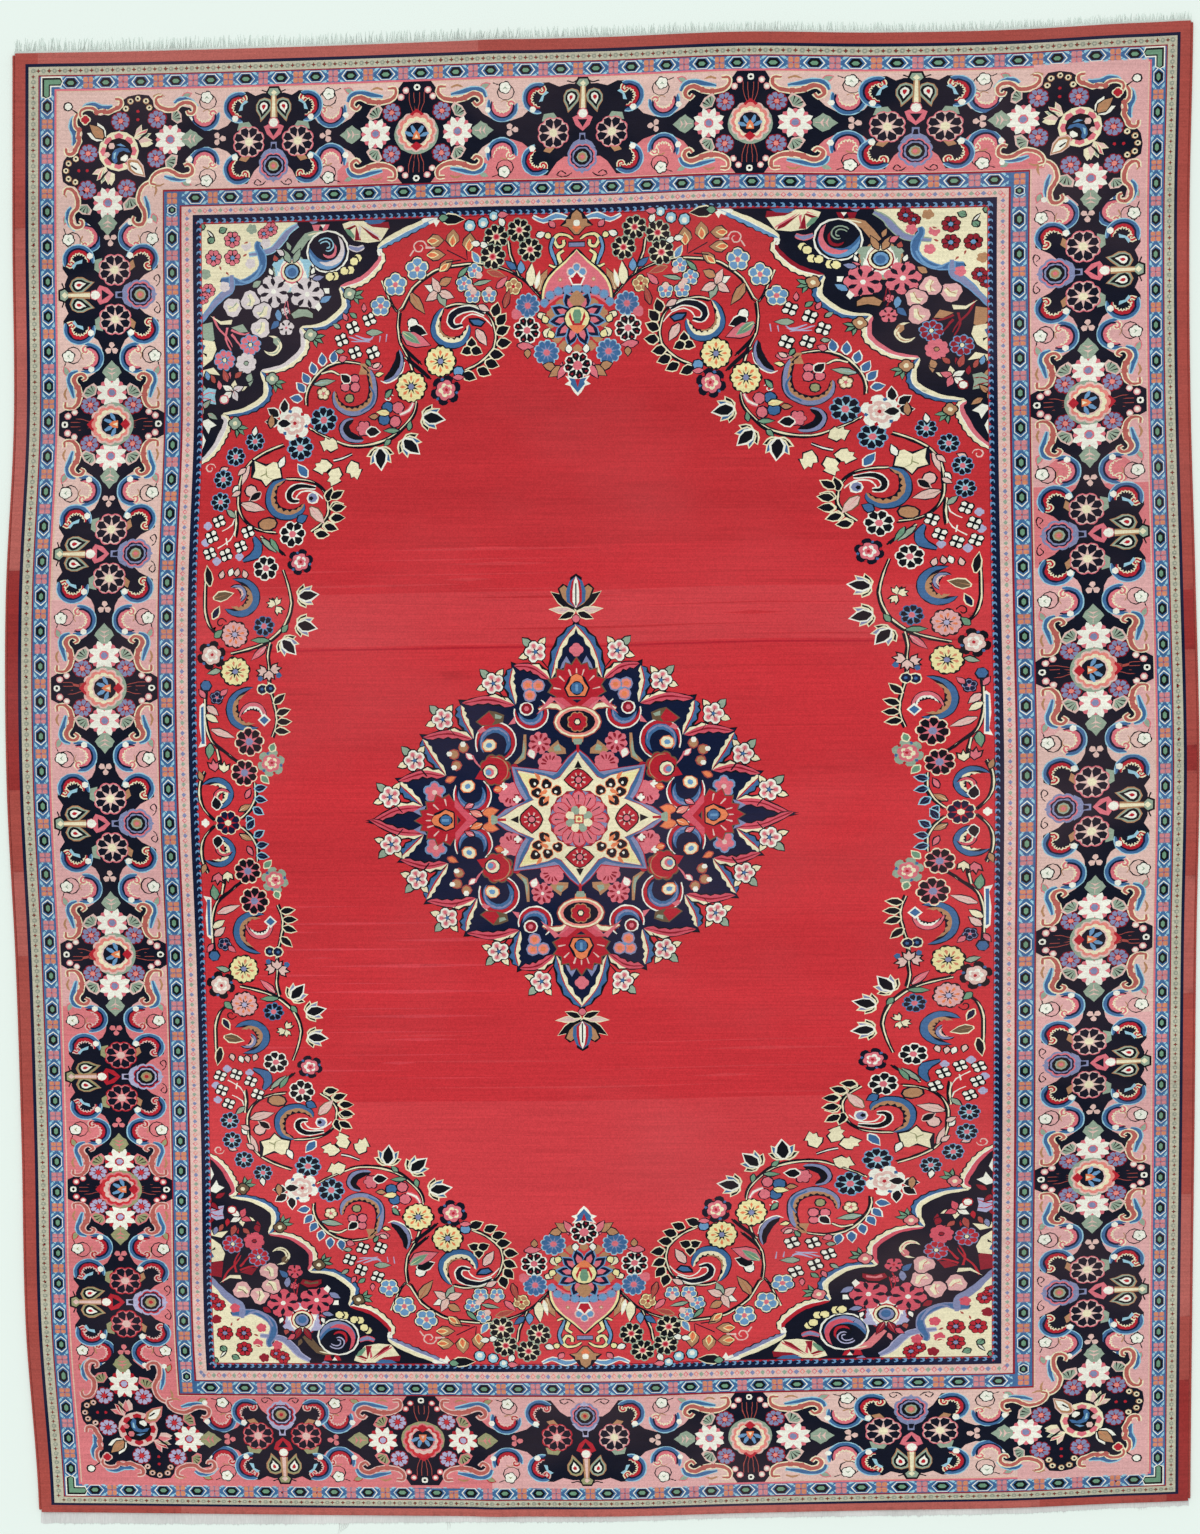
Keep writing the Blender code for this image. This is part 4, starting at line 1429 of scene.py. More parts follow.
# %% The pale palmette
def pale_palmette(q):
    """The largest flower of the spandrel: rings of pale petals round a blue heart, with two gapped rosettes."""
    here = moved(q, -285.5, 548)
    lay(here, "sage", petalled(20, 8, 0.12, 0.7, 0.39))
    lay(here, "pale", petalled(18.4, 8, 0.12, 0.7, 0.39))
    lay(moved(here, 0, 1), "white", petalled(15.6, 8, 0.1, 0.7, 0.39))
    lay(moved(here, 0, 2), "rose", oval(11.6, 12))
    lay(moved(here, 0, 2.4), "cream", oval(10.4, 12))
    lay(moved(here, 0, 2.6), "black", oval(8.4, 12))
    lay(moved(here, 0, 2.6), "sky", oval(6.8, 10))
    lay(moved(here, 0, 2.0), "blue", oval(4.4, 8))
    for side in (-1, 1):
        flip = lambda a, b, side=side, here=here: here(side * a, b)
        lay(flip, "pale", [(13, 2), (20, 10), (17, 14), (9, 15), (11, 9)])
        leaf(flip, 17, -6, 0.6, 9, 5, "night", "blush")
        leaf(flip, 20, 0, 1.2, 7, 4, "night", "white")
        leaf(flip, 2, 12, 1.1, 15, 6, "night", "sage", "camel")
        lay(flip, "cream", [(4, -15), (14, -10), (16, -17), (8, -21)])
    leaf(q, -293.5, 567.5, 2.5, 9, 5, "night", "blush")
    leaf(q, -287, 572.5, 2.0, 9, 4, "night", "camel")
    leaf(q, -301, 561.5, 1.9, 6, 5, "night", "brick")
    for x, y, r, t in [(-304, 531, 16.5, 0.3), (-270.5, 527.5, 17.0, 0.0)]:
        gapped(q, x, y, r, 7, t)
        for i in range(7):
            lay(
                moved(q, x, y, t + TAU * (i + 0.5) / 7), "night",
                [(0.78 * r, -0.4), (r, -1.5), (r, 1.5), (0.78 * r, 0.4)]
            )
    lay(q, "white", [(-254, 533), (-248, 533), (-248.5, 527.5), (-252, 527.5)])
    lay(q, "white", [(-263.5, 514.5), (-258.5, 519.5), (-256, 514), (-259.5, 510)])
    leaf(q, -257, 519.5, 0.5, 12, 6, "night", "sky")
    leaf(q, -264.5, 542.5, 0.2, 11, 5, "night", "violet")


quarters(pale_palmette)
told("pale palmette")

# %% [markdown]
# ## Folded leaves and cream buds
#
# Below the palmette the flowers get smaller. The buds are one drawing placed four times with another turn each,
# which is shorter than four drawings and looks just as lively.

# %% Folded leaves and cream buds
def cream_buds(q):
    """The folded leaf, three-lobed cream buds and the daisies below them."""
    lay(q, "black", [
        (-288.5, 509), (-280, 515.5), (-270, 514.5), (-263.5, 509), (-264.5, 501.5), (-274, 503.5),
        (-286.5, 501.5)
    ])
    lay(q, "sage", [
        (-286.5, 508.5), (-279.5, 513), (-270.5, 512.5), (-265.5, 508.5), (-265.5, 503.5), (-274, 505.5),
        (-284, 503.5)
    ])
    lay(q, "camel", [
        (-283, 508), (-276.5, 509.5), (-268.5, 508), (-268.5, 506), (-276.5, 507.5), (-281.5, 505)
    ])
    for x, y, t in [(-345, 516.5, 0.5), (-327.5, 522.5, 1.6), (-315.5, 511, 0.9), (-317.5, 494.5, 1.1)]:
        here = moved(q, x, y, t)
        lay(here, "night", petalled(11.6, 3, 0.2, 0.7))
        lay(here, "mist", petalled(10.2, 3, 0.2, 0.7))
        lay(here, "cream", [(-6, -2), (0, -5), (7, -1), (5, 3), (0, 0), (-4, 5)])
        line(here, "camel", [(-5, 1), (0, 0), (6, 2)], 0.9)
    for x, y, t in [(-292, 494.5, 0.3), (-293, 511, 1.2)]:
        gapped(q, x, y, 8.0 if t < 1 else 4.0, 5, t, "blush", "black", "rose")
    leaf(q, -300.5, 512.5, 4.9, 12, 6, "night", "sky")
    leaf(q, -299.5, 501, 3.9, 11, 6, "night", "blue")
    leaf(q, -324.5, 536.5, 0.6, 10, 6, "night", "sage")
    for points in (
        [(-292, 521.5), (-293.5, 512.5), (-290.5, 503.5)], [(-290.5, 521.5), (-289, 512.5), (-288, 508.5)]
    ):
        line(q, "rose", points, 0.9)
    for x, y, r, petal, heart in [
        (-328, 478.5, 11.0, "rose", "cream"), (-354, 463.5, 11.0, "rose", "cream"),
        (-332.5, 460, 10.6, "blush", "sage")
    ]:
        rim = "sky" if petal == "rose" else "blush"
        daisy(q, x, y, r, rim, petal, "night", 8, 0.2, rim)
        lay(moved(q, x, y), heart, oval(2.0, 6))


quarters(cream_buds)
told("cream buds")

# %% [markdown]
# ## Along the side of the spandrel
#
# Along its long side the spandrel leans on the inner guard, and its flowers are cut in half there. They are
# drawn whole and trimmed afterwards, which spares working out every cut by hand.

# %% Along the side of the spandrel
def spandrel_side(q):
    """The moon, the stems and the half flowers that lean on the inner guard."""
    horn(q, -306.5, 476.5, 10.6, 1.9, -4.6, 4.6, "cream", 0.86)
    horn(q, -306.5, 476.5, 8.6, 1.4, -3.9, 1.0, "camel", 0.9)
    for points in (
        [(-365, 507.5), (-360, 496), (-351, 485.5), (-346, 476.5)],
        [(-351, 496), (-352.5, 484.5), (-347.5, 473)], [(-347, 493.5), (-335.5, 489), (-329, 490.5)],
        [(-347, 489.5), (-341, 481.5), (-336, 474)]
    ):
        line(q, "rose", points, 2.4, 1.0)
    lay(q, "cream", [(-368, 508.5), (-357.5, 502.5), (-345.5, 504), (-347, 499.5), (-357.5, 499)])
    lay(q, "sage", [(-347, 496), (-335.5, 499.5), (-330, 491.5), (-338, 490.5)])
    lay(q, "sage", [(-378, 499), (-366, 501.5), (-364, 484.5), (-370.5, 479.5), (-378.5, 491.5)])
    lay(q, "cream", [(-379.5, 485), (-364, 482), (-362, 474.5), (-366.5, 464), (-379, 454)])
    lay(q, "blue", [(-379.5, 481), (-373, 478.5), (-375.5, 472), (-379.5, 471)])
    lay(q, "black", [(-375.5, 471), (-372, 470), (-372, 467)])
    lay(q, "cream", [(-377.5, 453), (-365.5, 456.5), (-359, 448.5), (-367, 450), (-374.5, 446.5)])
    for x, y, t, dye in [
        (-351.5, 443.5, 1.2, "rose"), (-343.5, 446, 0.7, "brick"), (-364, 441, 2.0, "brick"),
        (-373, 433.5, 2.4, "sage"), (-359, 434.5, 1.7, "rose"), (-340, 433, 0.4, "cream"),
        (-349, 430.5, 1.0, "white"), (-370.5, 444, 1.8, "sky")
    ]:
        leaf(q, x, y, t, 9, 4.6, "black", dye)
    leaf(q, -328.5, 447, 4.7, 10, 6, "night", "sage")
    lay(q, "pale", [
        (-378.5, 429.5), (-370.5, 436), (-362.5, 434.5), (-364, 427), (-362.5, 419), (-370.5, 420.5),
        (-377.5, 424.5)
    ])
    for points in (
        [(-377.5, 427), (-370.5, 431), (-363.5, 430.5)], [(-377, 426), (-369.5, 424.5), (-363.5, 421.5)]
    ):
        line(q, "rose", points, 0.9)
    for x, y, t in [(-375.5, 415.5, 0.9), (-370.5, 410.5, -0.6), (-378, 408, 1.4)]:
        leaf(q, x, y, t, 11, 5, "black", "sage", "rose")
    for x, y, t, dye in [
        (-345.5, 432.5, 1.4, "cream"), (-345.5, 432.5, 0.4, "blush"), (-345.5, 432.5, -1.2, "blush"),
        (-346.5, 432.5, 2.6, "white"), (-347.5, 431, -2.5, "white")
    ]:
        leaf(q, x, y, t, 11, 6.5, "night", dye, "brick")
    dot(q, -354.5, 424, 3.8, "rose", "white")
    lay(q, "white", [(-377, 402.5), (-370.5, 405), (-362, 398.5), (-368, 396), (-370, 390), (-374, 396.5)])
    lay(q, "white", [(-380, 390), (-375.5, 390), (-372.5, 383.5), (-377.5, 368), (-379.5, 368)])
    lay(q, "cream", [(-378.5, 387.5), (-376.5, 387.5), (-375.5, 382), (-378, 373.5)])
    leaf(q, -351.5, 442, 1.9, 13, 6, "night", "brick", "rose")
    leaf(q, -331, 441.5, 1.2, 9, 6, "night", "sage")


quarters(spandrel_side)
told("spandrel side")

# %% [markdown]
# ## The scallops
#
# The six scallops close the spandrel towards the field. They follow the same six curves as the ground, so no
# gap can open between them, and a fan sits in each notch.

# %% The scallops
def scallops(q):
    """The berries beside the scroll, the six scallops of the edge and the fans in their notches."""
    for x, y in [(-219.5, 562), (-223, 559), (-227, 550.5), (-233, 550), (-242.5, 545), (-247.5, 544.5)]:
        dot(q, x, y, 4.2, "night", "lemon")
    for x, y in [(-221.5, 563.5), (-230.5, 552.5), (-244, 547)]:
        lay(moved(q, x, y), "black", oval(1.5, 5))
    pairs = [
        ("cream", "sky"), ("rose", "cream"), ("cream", "blue"), ("blush", "cream"), ("cream", "blue"),
        ("blush", "cream")
    ]
    for part, dyes in zip(SCALLOPED_EDGE, pairs):
        scallop(q, part, *dyes)
    fan(q, -228, 527, -0.35)
    fan(q, -267.5, 487, -0.6)
    fan(q, -306.5, 444, -0.8)
    fan(q, -343.5, 400, -0.9)


quarters(scallops)
told("scallops")

# %% [markdown]
# ## Four spandrels in other dyes
#
# The four corners of this rug aren't alike: one corner is greyish, and the others have wine-red daisies and pink
# buds. The drawing stays the same and a small table says which dye stands in for which. The trimming at the
# inner guard is done here as well, by keeping the part of every outline that lies in the field.

# %% Other dyes and trimming
# The table's rows: right of the middle, above the middle.
SPANDREL_SWAPS = {
    (False, True): {"blush": "mist", "camel": "sage"},
    (True, True): {"blush": "rose", "rose": "wine", "sage": "camel", "mist": "shell", "pale": "sage"},
    (False, False): {
        "blush": "carmine", "rose": "madder", "sage": "wine", "pale": "lilac", "camel": "olive",
        "mist": "shell", "sky": "violet"
    },
    (True, False): {
        "blush": "carmine", "rose": "madder", "sage": "wine", "pale": "lilac", "camel": "coral",
        "mist": "shell", "sky": "violet"
    },
}
FIELD_EDGE = (375.4, 600.0)


def cut_off(points, axis):
    """The part of an outline that lies in the field, across or along."""
    kept = []
    for p, q in zip(points, points[1:] + points[:1]):
        over, next_over = (abs(v[axis]) - FIELD_EDGE[axis] for v in (p, q))
        if over <= 0:
            kept.append(p)
        if (over > 0) != (next_over > 0):
            part = over / (over - next_over)
            kept.append((p[0] + (q[0] - p[0]) * part, p[1] + (q[1] - p[1]) * part))
    return kept


for i, (dye, points) in enumerate(DRAWING[FIRST_OF_SPANDRELS:], FIRST_OF_SPANDRELS):
    lots = SPANDREL_SWAPS[points[0][0] > 0, points[0][1] > 0]
    DRAWING[i] = (lots.get(dye, dye), cut_off(cut_off(points, 0), 1))
DRAWING[:] = [shape for shape in DRAWING if len(shape[1]) > 2]
told("spandrels trimmed and")

# %% [markdown]
# ## The vines of the wreath
#
# A wreath of flowers runs round the open red field. It hangs on vines, and a vine is the first thing a designer
# draws, because every leaf and flower has to grow from one. Each vine is a smooth curve through a few points,
# in cream with a dark rim, with a thin black line beside it where the worn black knots of the stem have sunk.

# %% Vines
def vines(q):
    """The stems that carry the wreath, each a curve through a few points."""
    stems = [
        [
            (-195.5, 539), (-180.5, 508), (-165, 530.5), (-149.5, 543), (-136.5, 549.5), (-116, 552.5),
            (-98, 553), (-77.5, 548.5), (-59.5, 540.5), (-47, 530.5), (-35.5, 517.5)
        ],
        [(-178.5, 508), (-180, 493), (-177.5, 476), (-169.5, 467), (-158, 455.5)],
        [(-177.5, 476), (-169.5, 460.5), (-164.5, 444)],
        [(-173, 462), (-160.5, 451.5), (-149, 441)],
        [(-68.5, 575), (-67, 563.5), (-63.5, 553.5), (-58, 540.5)],
        [
            (-133, 510.5), (-121.5, 513.5), (-108.5, 512.5), (-96, 508.5), (-87, 499.5), (-82.5, 486.5),
            (-82.5, 475), (-86, 466), (-99, 454), (-113, 447.5)
        ],
        [
            (-294.5, 378), (-312, 371), (-327, 361), (-335.5, 347), (-338, 331.5), (-337, 315), (-330, 302),
            (-317, 293), (-299, 290)
        ],
        [
            (-291, 343.5), (-276.5, 342.5), (-262.5, 339), (-252, 330), (-248.5, 318.5), (-248.5, 307),
            (-254.5, 298), (-264.5, 290.5)
        ],
        [(-340, 312.5), (-339, 299.5), (-340, 287)],
        [(-314, 286.5), (-302.5, 277.5), (-290.5, 268)],
        [
            (-272.5, 417), (-272.5, 426.5), (-268.5, 437.5), (-260.5, 448), (-250.5, 455.5), (-239, 459),
            (-226.5, 458.5), (-217.5, 456.5)
        ],
    ]
    for points in stems:
        line(q, "cream", points, 1.1, 1.5, 1.1, rim="night", steps=3)
        line(q, "black", [(a + 1.9, b - 1.5) for a, b in points], 1.6, 2.2, 1.6, steps=3)


quarters(vines)
told("vines")

# %% [markdown]
# ## The large scrolls
#
# Where a vine curls up, a great crescent fills the curl. It has a blue outer side and a toothed cream or camel
# inner side. The blade helper makes both sides from one spine.

# %% The large scrolls
def large_scrolls(q):
    """The two pairs of great crescents where the vines curl up."""
    crescent(q, [
        (-133.5, 510.5), (-140, 500.5), (-142, 488), (-136.5, 479), (-127, 475), (-116.5, 477), (-111, 484),
        (-108.5, 492.5)
    ], -5.4, 5.2, "blue", "cream")
    line(q, "camel", [(-137.5, 496.5), (-137.5, 488), (-132, 481.5), (-123, 480.5)], 1.0, 2.0, 1.0)
    line(q, "night", [
        (-92.5, 502.5), (-103.5, 508), (-115, 507.5), (-124, 503.5), (-127, 496.5), (-123, 491), (-115, 492.5)
    ], 1.6, 5.0, 6.6, 5.2, 2.0, rim="white", steps=3)
    line(q, "white", [
        (-85.5, 490.5), (-94, 499.5), (-105, 503), (-112.5, 500), (-117, 494)
    ], 1.0, 1.5, 1.0, steps=3)
    lay(q, "night", [(-109.5, 499), (-98.5, 499.5), (-91, 495), (-96, 489.5), (-105, 491.5), (-108.5, 495.5)])
    lay(q, "blue", [(-107, 497.5), (-98.5, 497.5), (-93.5, 494.5), (-97, 491.5), (-103.5, 493)])
    crescent(q, [
        (-290.5, 343), (-301, 338), (-305, 328.5), (-304, 318), (-297, 310), (-285.5, 307.5), (-275.5, 312),
        (-272, 318.5)
    ], -5.4, 5.2, "blue", "camel")
    line(
        q, "black", [(-261, 334), (-275, 336), (-284.5, 333), (-287.5, 326), (-284, 321.5), (-277, 321)], 1.4,
        4.4, 5.4, 4.6, 1.6, rim="white", steps=3
    )
    line(q, "white", [
        (-253, 323), (-262, 330), (-272.5, 331), (-278.5, 327.5), (-280.5, 323)
    ], 1.0, 1.5, 1.0, steps=3)
    lay(moved(q, -263.5, 324), "white", oval(6.4, 8))
    lay(moved(q, -263.5, 324), "violet", oval(4.8, 7))
    lay(moved(q, -265, 323.5), "black", oval(2.4, 5))
    leaf(q, -265.5, 314.5, -0.85, 22, 9, "olive", "blush", "rose")


quarters(large_scrolls)
told("large scrolls")

# %% [markdown]
# ## The scroll near the spandrel
#
# Close to the spandrel a violet scroll holds three red berries and a black leaf. Six blue leaves stand on its
# back like the teeth of a comb.

# %% The scroll near the spandrel
def upper_scroll(q):
    """The violet scroll with its berries, the blue leaves above it and the small stems beside it."""
    crescent(q, [
        (-218.5, 457), (-210.5, 450), (-206.5, 440.5), (-205.5, 428.5), (-207.5, 419), (-214, 413),
        (-223, 409.5), (-232.5, 411), (-240.5, 416.5), (-243.5, 424.5), (-243.5, 430.5)
    ], 4.6, -4.0, "violet", "camel")
    line(q, "blue", [(-208.5, 434), (-204.5, 425), (-207.5, 415.5), (-217.5, 409)], 1.4, 2.4, 1.4, steps=3)
    for x, y, r in [(-223.5, 442, 4.2), (-233, 434, 4.4), (-223.5, 433.5, 4.8)]:
        dot(q, x, y, r, "night", "rose")
    leaf(q, -229, 439, 2.4, 11, 8, "white", "black")
    dot(q, -229, 422.5, 4.2, "night", "moss")
    leaf(q, -264, 437.5, 0.15, 21, 6, "night", "sage", "pale")
    line(q, "cream", [(-257, 448), (-247, 450), (-239, 446)], 1.0, 1.6, 1.0, rim="night", steps=3)
    five(q, -255, 428, 6.4, 0.2, "cream", "camel", "rose")
    for x, y, t in [
        (-277, 423, 3.0), (-274, 430.5, 2.3), (-270, 439, 2.1), (-264, 448, 1.8), (-255.5, 456.5, 1.65),
        (-245.5, 459, 1.4)
    ]:
        leaf(q, x, y, t, 11.5, 7.0, "white", "blue")
    leaf(q, -239, 461, 0.35, 8, 6, "night", "rose")
    leaf(q, -196.5, 454, 3.25, 14, 7, "night", "rose")
    crescent(q, [
        (-179, 470), (-177.5, 459), (-180.5, 449.5), (-187, 442), (-195, 439)
    ], 3.4, -6.0, "violet", "black")
    line(q, "white", [
        (-173.5, 457), (-175.5, 448.5), (-182.5, 440.5), (-191.5, 437), (-197.5, 439)
    ], 0.9, 1.3, 0.9, steps=3)
    spiral(q, -189.5, 422, 5.0, 0.4, 1.0, 1.3, "white")
    leaf(q, -192.5, 424.5, 0.7, 9, 5, "night", "sage")
    for points in (
        [(-229.5, 484), (-221, 481), (-208, 478)], [(-227, 479.5), (-217, 479), (-208, 480.5), (-203, 485.5)],
        [(-222.5, 485.5), (-213.5, 481.5), (-205.5, 481.5)], [(-198.5, 477.5), (-197.5, 484)],
        [(-192, 477.5), (-191, 485.5)]
    ):
        line(q, "lilac", points, 0.8, 1.8, 1.0, steps=2)
    leaf(q, -211, 487.5, 0.0, 16, 6, "night", "sage")
    leaf(q, -101, 487.5, -1.0, 19, 9, "night", "blush", "rose")
    leaf(q, -98.5, 511.5, -0.5, 12, 6, "night", "blush")


quarters(upper_scroll)
told("upper scroll")

# %% [markdown]
# ## Dark leaves
#
# The inner side of the wreath is a fringe of black leaves in cream thread. A row of leaves is a list of places
# and turns, so moving one leaf means changing three numbers.

# %% Dark leaves
def dark_leaves(q):
    """Rows of black leaves in cream thread, and the long green leaves below them."""
    for x, y, t in [
        (-83, 500.5, 1.3), (-80, 492, 0.9), (-80.5, 483.5, 0.45), (-80, 473, 0.1), (-87.5, 463, -0.1),
        (-92, 455, -0.3), (-100, 448, -0.4), (-114.5, 444, -0.4)
    ]:
        leaf(q, x, y, t, 13.5, 9.4, "cream", "black")
    for x, y, t in [
        (-248.5, 321, 1.3), (-245.5, 313.5, 0.3), (-245.5, 303, 0.05), (-252, 295.5, -0.1), (-260, 289.5, -0.3)
    ]:
        leaf(q, x, y, t, 13, 8.6, "cream", "black")
    line(
        q, "blue", [(-321, 286), (-316.5, 277.5), (-318.5, 268.5), (-331, 262)], 1.6, 7.4, 8.6, 1.6,
        rim="night", steps=3
    )
    for x, y in [(-367, 297.5), (-368.5, 281), (-357, 262), (-334.5, 266.5)]:
        lay(moved(q, x, y), "lilac", petalled(4.4, 4, 0.2))
    for points in (
        [(-340.5, 308.5), (-342.5, 298.5), (-352.5, 292)], [(-340, 292), (-344.5, 283), (-356.5, 275)],
        [(-348.5, 285), (-347, 278)]
    ):
        line(q, "white", points, 0.9, 1.4, 0.9, steps=2)
    leaf(q, -313, 284, -0.75, 21, 5, "night", "sage")
    leaf(q, -304, 283.5, -1.0, 16, 4.4, "night", "green")
    leaf(q, -340.5, 306, 2.4, 12, 5, "night", "sage")
    leaf(q, -338.5, 337, -2.3, 8, 4.6, "night", "white")
    for x, y, t, l in [
        (-328.5, 357, -1.9, 20), (-332, 354.5, -2.4, 10), (-336.5, 331.5, -2.6, 9), (-356.5, 352.5, 0.4, 8)
    ]:
        leaf(q, x, y, t, l, 5, "night", "blush")


quarters(dark_leaves)
told("dark leaves")

# %% [markdown]
# ## Camel leaves
#
# At the top of the wreath broad camel leaves carry a small flame of lemon and orange. Two leaves of the same
# turn, one inside the other, give that with a single loop.

# %% Camel leaves
def camel_leaves(q):
    """The broad camel leaves at the top of the wreath, each with a small flame in it."""
    for x, y, t, l, w in [
        (-148, 577, 0.0, 15, 12), (-124.5, 572, 1.5, 16, 12.5), (-108, 567, 1.5, 17, 13),
        (-149, 563, 0.0, 17, 11), (-136.5, 547.5, 0.7, 16, 9)
    ]:
        leaf(q, x, y, t, l, w, "night", "camel", "orange")
        leaf(q, x, y, t, l * 0.6, w * 0.4, "lemon", "orange", "madder")
    for points in ([(-110.5, 567), (-109.5, 557)], [(-130, 567.5), (-110.5, 557)], [(-131, 555), (-116, 557)]):
        line(q, "night", points, 0.9)


quarters(camel_leaves)
told("camel leaves")

# %% [markdown]
# ## The flowers of the wreath
#
# The round flowers are the rhythm of the wreath: light, dark, light. They are listed by kind, because the rows
# of a list are easy to compare with the rug.

# %% The flowers of the wreath
def wreath_flowers(q):
    """All the round flowers of the wreath, from the black daisies to the roses."""
    for x, y, r in [(-80.5, 579, 12.6), (-57.5, 585.5, 12.2), (-46.5, 566, 12.2), (-84, 559.5, 13.0)]:
        daisy(q, x, y, r + 0.6, "sage", "black", "rose", 8, 0.2, "cream")
        lay(moved(q, x, y), "madder", oval(2.2, 6))
    for x, y, t in [(-73.5, 590, 1.9), (-89.5, 570.5, 2.9), (-40, 579.5, 0.3), (-97, 572, 2.9)]:
        leaf(q, x, y, t, 9, 6, "night", "white", "pale")
    for x, y, r in [
        (-160, 549.5, 12), (-182, 534.5, 12), (-102.5, 546, 8), (-113, 533.5, 8.4), (-104.5, 521.5, 8.4),
        (-88, 521.5, 8)
    ]:
        five(q, x, y, r)
    for x, y in [(-98, 541.5), (-107, 530), (-103.5, 525.5), (-88, 526)]:
        lay(moved(q, x, y), "blush", oval(3.6, 6))
    for x, y, r, petal, rim in [
        (-254.5, 401.5, 14, "night", "sky"), (-277.5, 374, 13.5, "night", "sky"),
        (-323, 381.5, 10, "night", "sky"), (-342, 366.5, 10, "night", "sky"), (-353.5, 344, 10, "night", "sky"),
        (-355.5, 321.5, 10, "night", "sky")
    ]:
        daisy(q, x, y, r, rim, petal, "rose", 8, 0.1, "pale")
    daisy(q, -50.5, 486, 14.0, "white", "black", "rose", 8, 0.39, "white")
    for i in range(8):
        lay(moved(q, -50.5, 486, 0.39 + TAU * i / 8), "wine", [(8, 0), (10.4, 1.2), (11, 0), (10.4, -1.2)])
    for x, y, r in [(-49.5, 510.5, 12.6), (-31, 463.5, 13.2)]:
        daisy(q, x, y, r, "pale", "blue", "rose", 10, 0.2, "violet")
    for x, y, r in [(-137.5, 457, 15.5), (-167, 432.5, 15.5)]:
        rayed(q, x, y, r, 8, 0.0, "lemon", "orange")
    rose(q, -132.5, 428, 15.5, "night")
    rose(q, -284.5, 398.5, 17.5, "white", "blush", "white")
    rose(q, -274, 260, 13.5, "night", "rose", "white")
    for x, y, r in [(-282.5, 288, 13.5), (-308, 254.5, 13.0)]:
        daisy(q, x, y, r, "white", "black", "rose", 7, 0.1, "white")
    here = moved(q, -106, 468.5)
    for turn in (1.57, 3.5, -0.4):
        leaf(here, 0, 0, turn, 11, 9, "cream", "black")


quarters(wreath_flowers)
told("wreath flowers")

# %% [markdown]
# ## Leaves and buds between the flowers
#
# Nothing on the wreath's ground is left open for more than a few knots. The leaves that fill it are all one
# lens with a rim, a fill and sometimes a vein, in other dyes and turns.

# %% Leaves and buds between the flowers
def upper_leaves(q):
    """The leaves and buds that fill the upper half of the wreath."""
    here = moved(q, -138, 526)
    for turn, dye in ((2.7, "white"), (3.7, "blush"), (-1.2, "sage"), (-0.4, "blush"), (2.0, "blush")):
        leaf(here, 0, 0, turn, 16, 8, "night", dye, "camel")
    leaf(q, -137, 533.5, 0.5, 13, 8, "night", "camel", "orange")
    leaf(q, -166, 525.5, -1.15, 24, 9, "night", "camel", "brick", 0.15)
    dot(q, -165, 495.5, 5.0, "night", "white")
    leaf(q, -168, 491, -0.35, 18, 11, "white", "black")
    leaf(q, -175.5, 485, -0.55, 30, 14, "night", "rose", "blush", 0.15)
    leaf(q, -174.5, 486.5, -0.6, 20, 6, "sage", "green", "lemon")
    leaf(q, -136, 598.5, -0.05, 24, 10, "cream", "black")
    leaf(q, -137.5, 599, 0.1, 9, 7, "night", "green")
    for x, y, r in [(-107, 591, 5.6), (-93.5, 593.5, 5.4), (-83, 600, 4.4)]:
        dot(q, x, y, r, "night", "pale")
        lay(moved(q, x, y - 1), "white", oval(r * 0.55, 6))
    leaf(q, -78.5, 600.5, 0.1, 10, 6, "night", "rose")
    spiral(q, -157.5, 571, 7.5, 0.2, 1.2, 1.6, "blush")
    line(q, "blush", [(-151.5, 571), (-141.5, 570)], 2.6, 1.0)
    line(q, "blush", [(-163, 568.5), (-167, 562.5)], 1.6, 1.0)
    leaf(q, -98, 554, 2.1, 13, 6, "cream", "sky", "blue")
    leaf(q, -61, 547, 2.5, 13, 6, "night", "blue")
    leaf(q, -55.5, 543, 1.6, 12, 7, "night", "sky")
    leaf(q, -45.5, 530, 1.75, 22, 9, "night", "cream", "camel", -0.2)
    leaf(q, -80, 528.5, 0.8, 15, 6, "night", "rose")
    leaf(q, -118.5, 540.5, 0.8, 14, 4.6, "night", "green")
    leaf(q, -103, 532.5, 0.2, 18, 4, "night", "sage", "green")
    leaf(q, -89, 545, -0.3, 18, 5, "camel", "brick")
    five(q, -63.5, 529.5, 8.5, 0.2, "camel", "lemon", "madder")
    leaf(q, -72.5, 509, 1.3, 18, 6, "night", "brick", "camel")
    lay(moved(q, -61, 502), "rose", petalled(5.6, 3, 0.2))
    leaf(q, -60, 471, -0.1, 17, 7, "night", "rose")
    leaf(q, -50, 467, -1.6, 9, 6, "night", "camel")
    leaf(q, -39.5, 499.5, 0.3, 8, 6, "night", "cream")
    leaf(q, -32, 479, 1.1, 10, 8, "night", "cream", "sage")
    leaf(q, -23, 448.5, 2.9, 12, 8, "night", "camel")
    leaf(q, -19.5, 438.5, 1.3, 15, 7, "night", "rose")
    dot(q, -119.5, 446.5, 5, "night", "sky")
    leaf(q, -124.5, 440.5, 0.0, 11, 5, "night", "rose")


quarters(upper_leaves)
told("upper leaves")
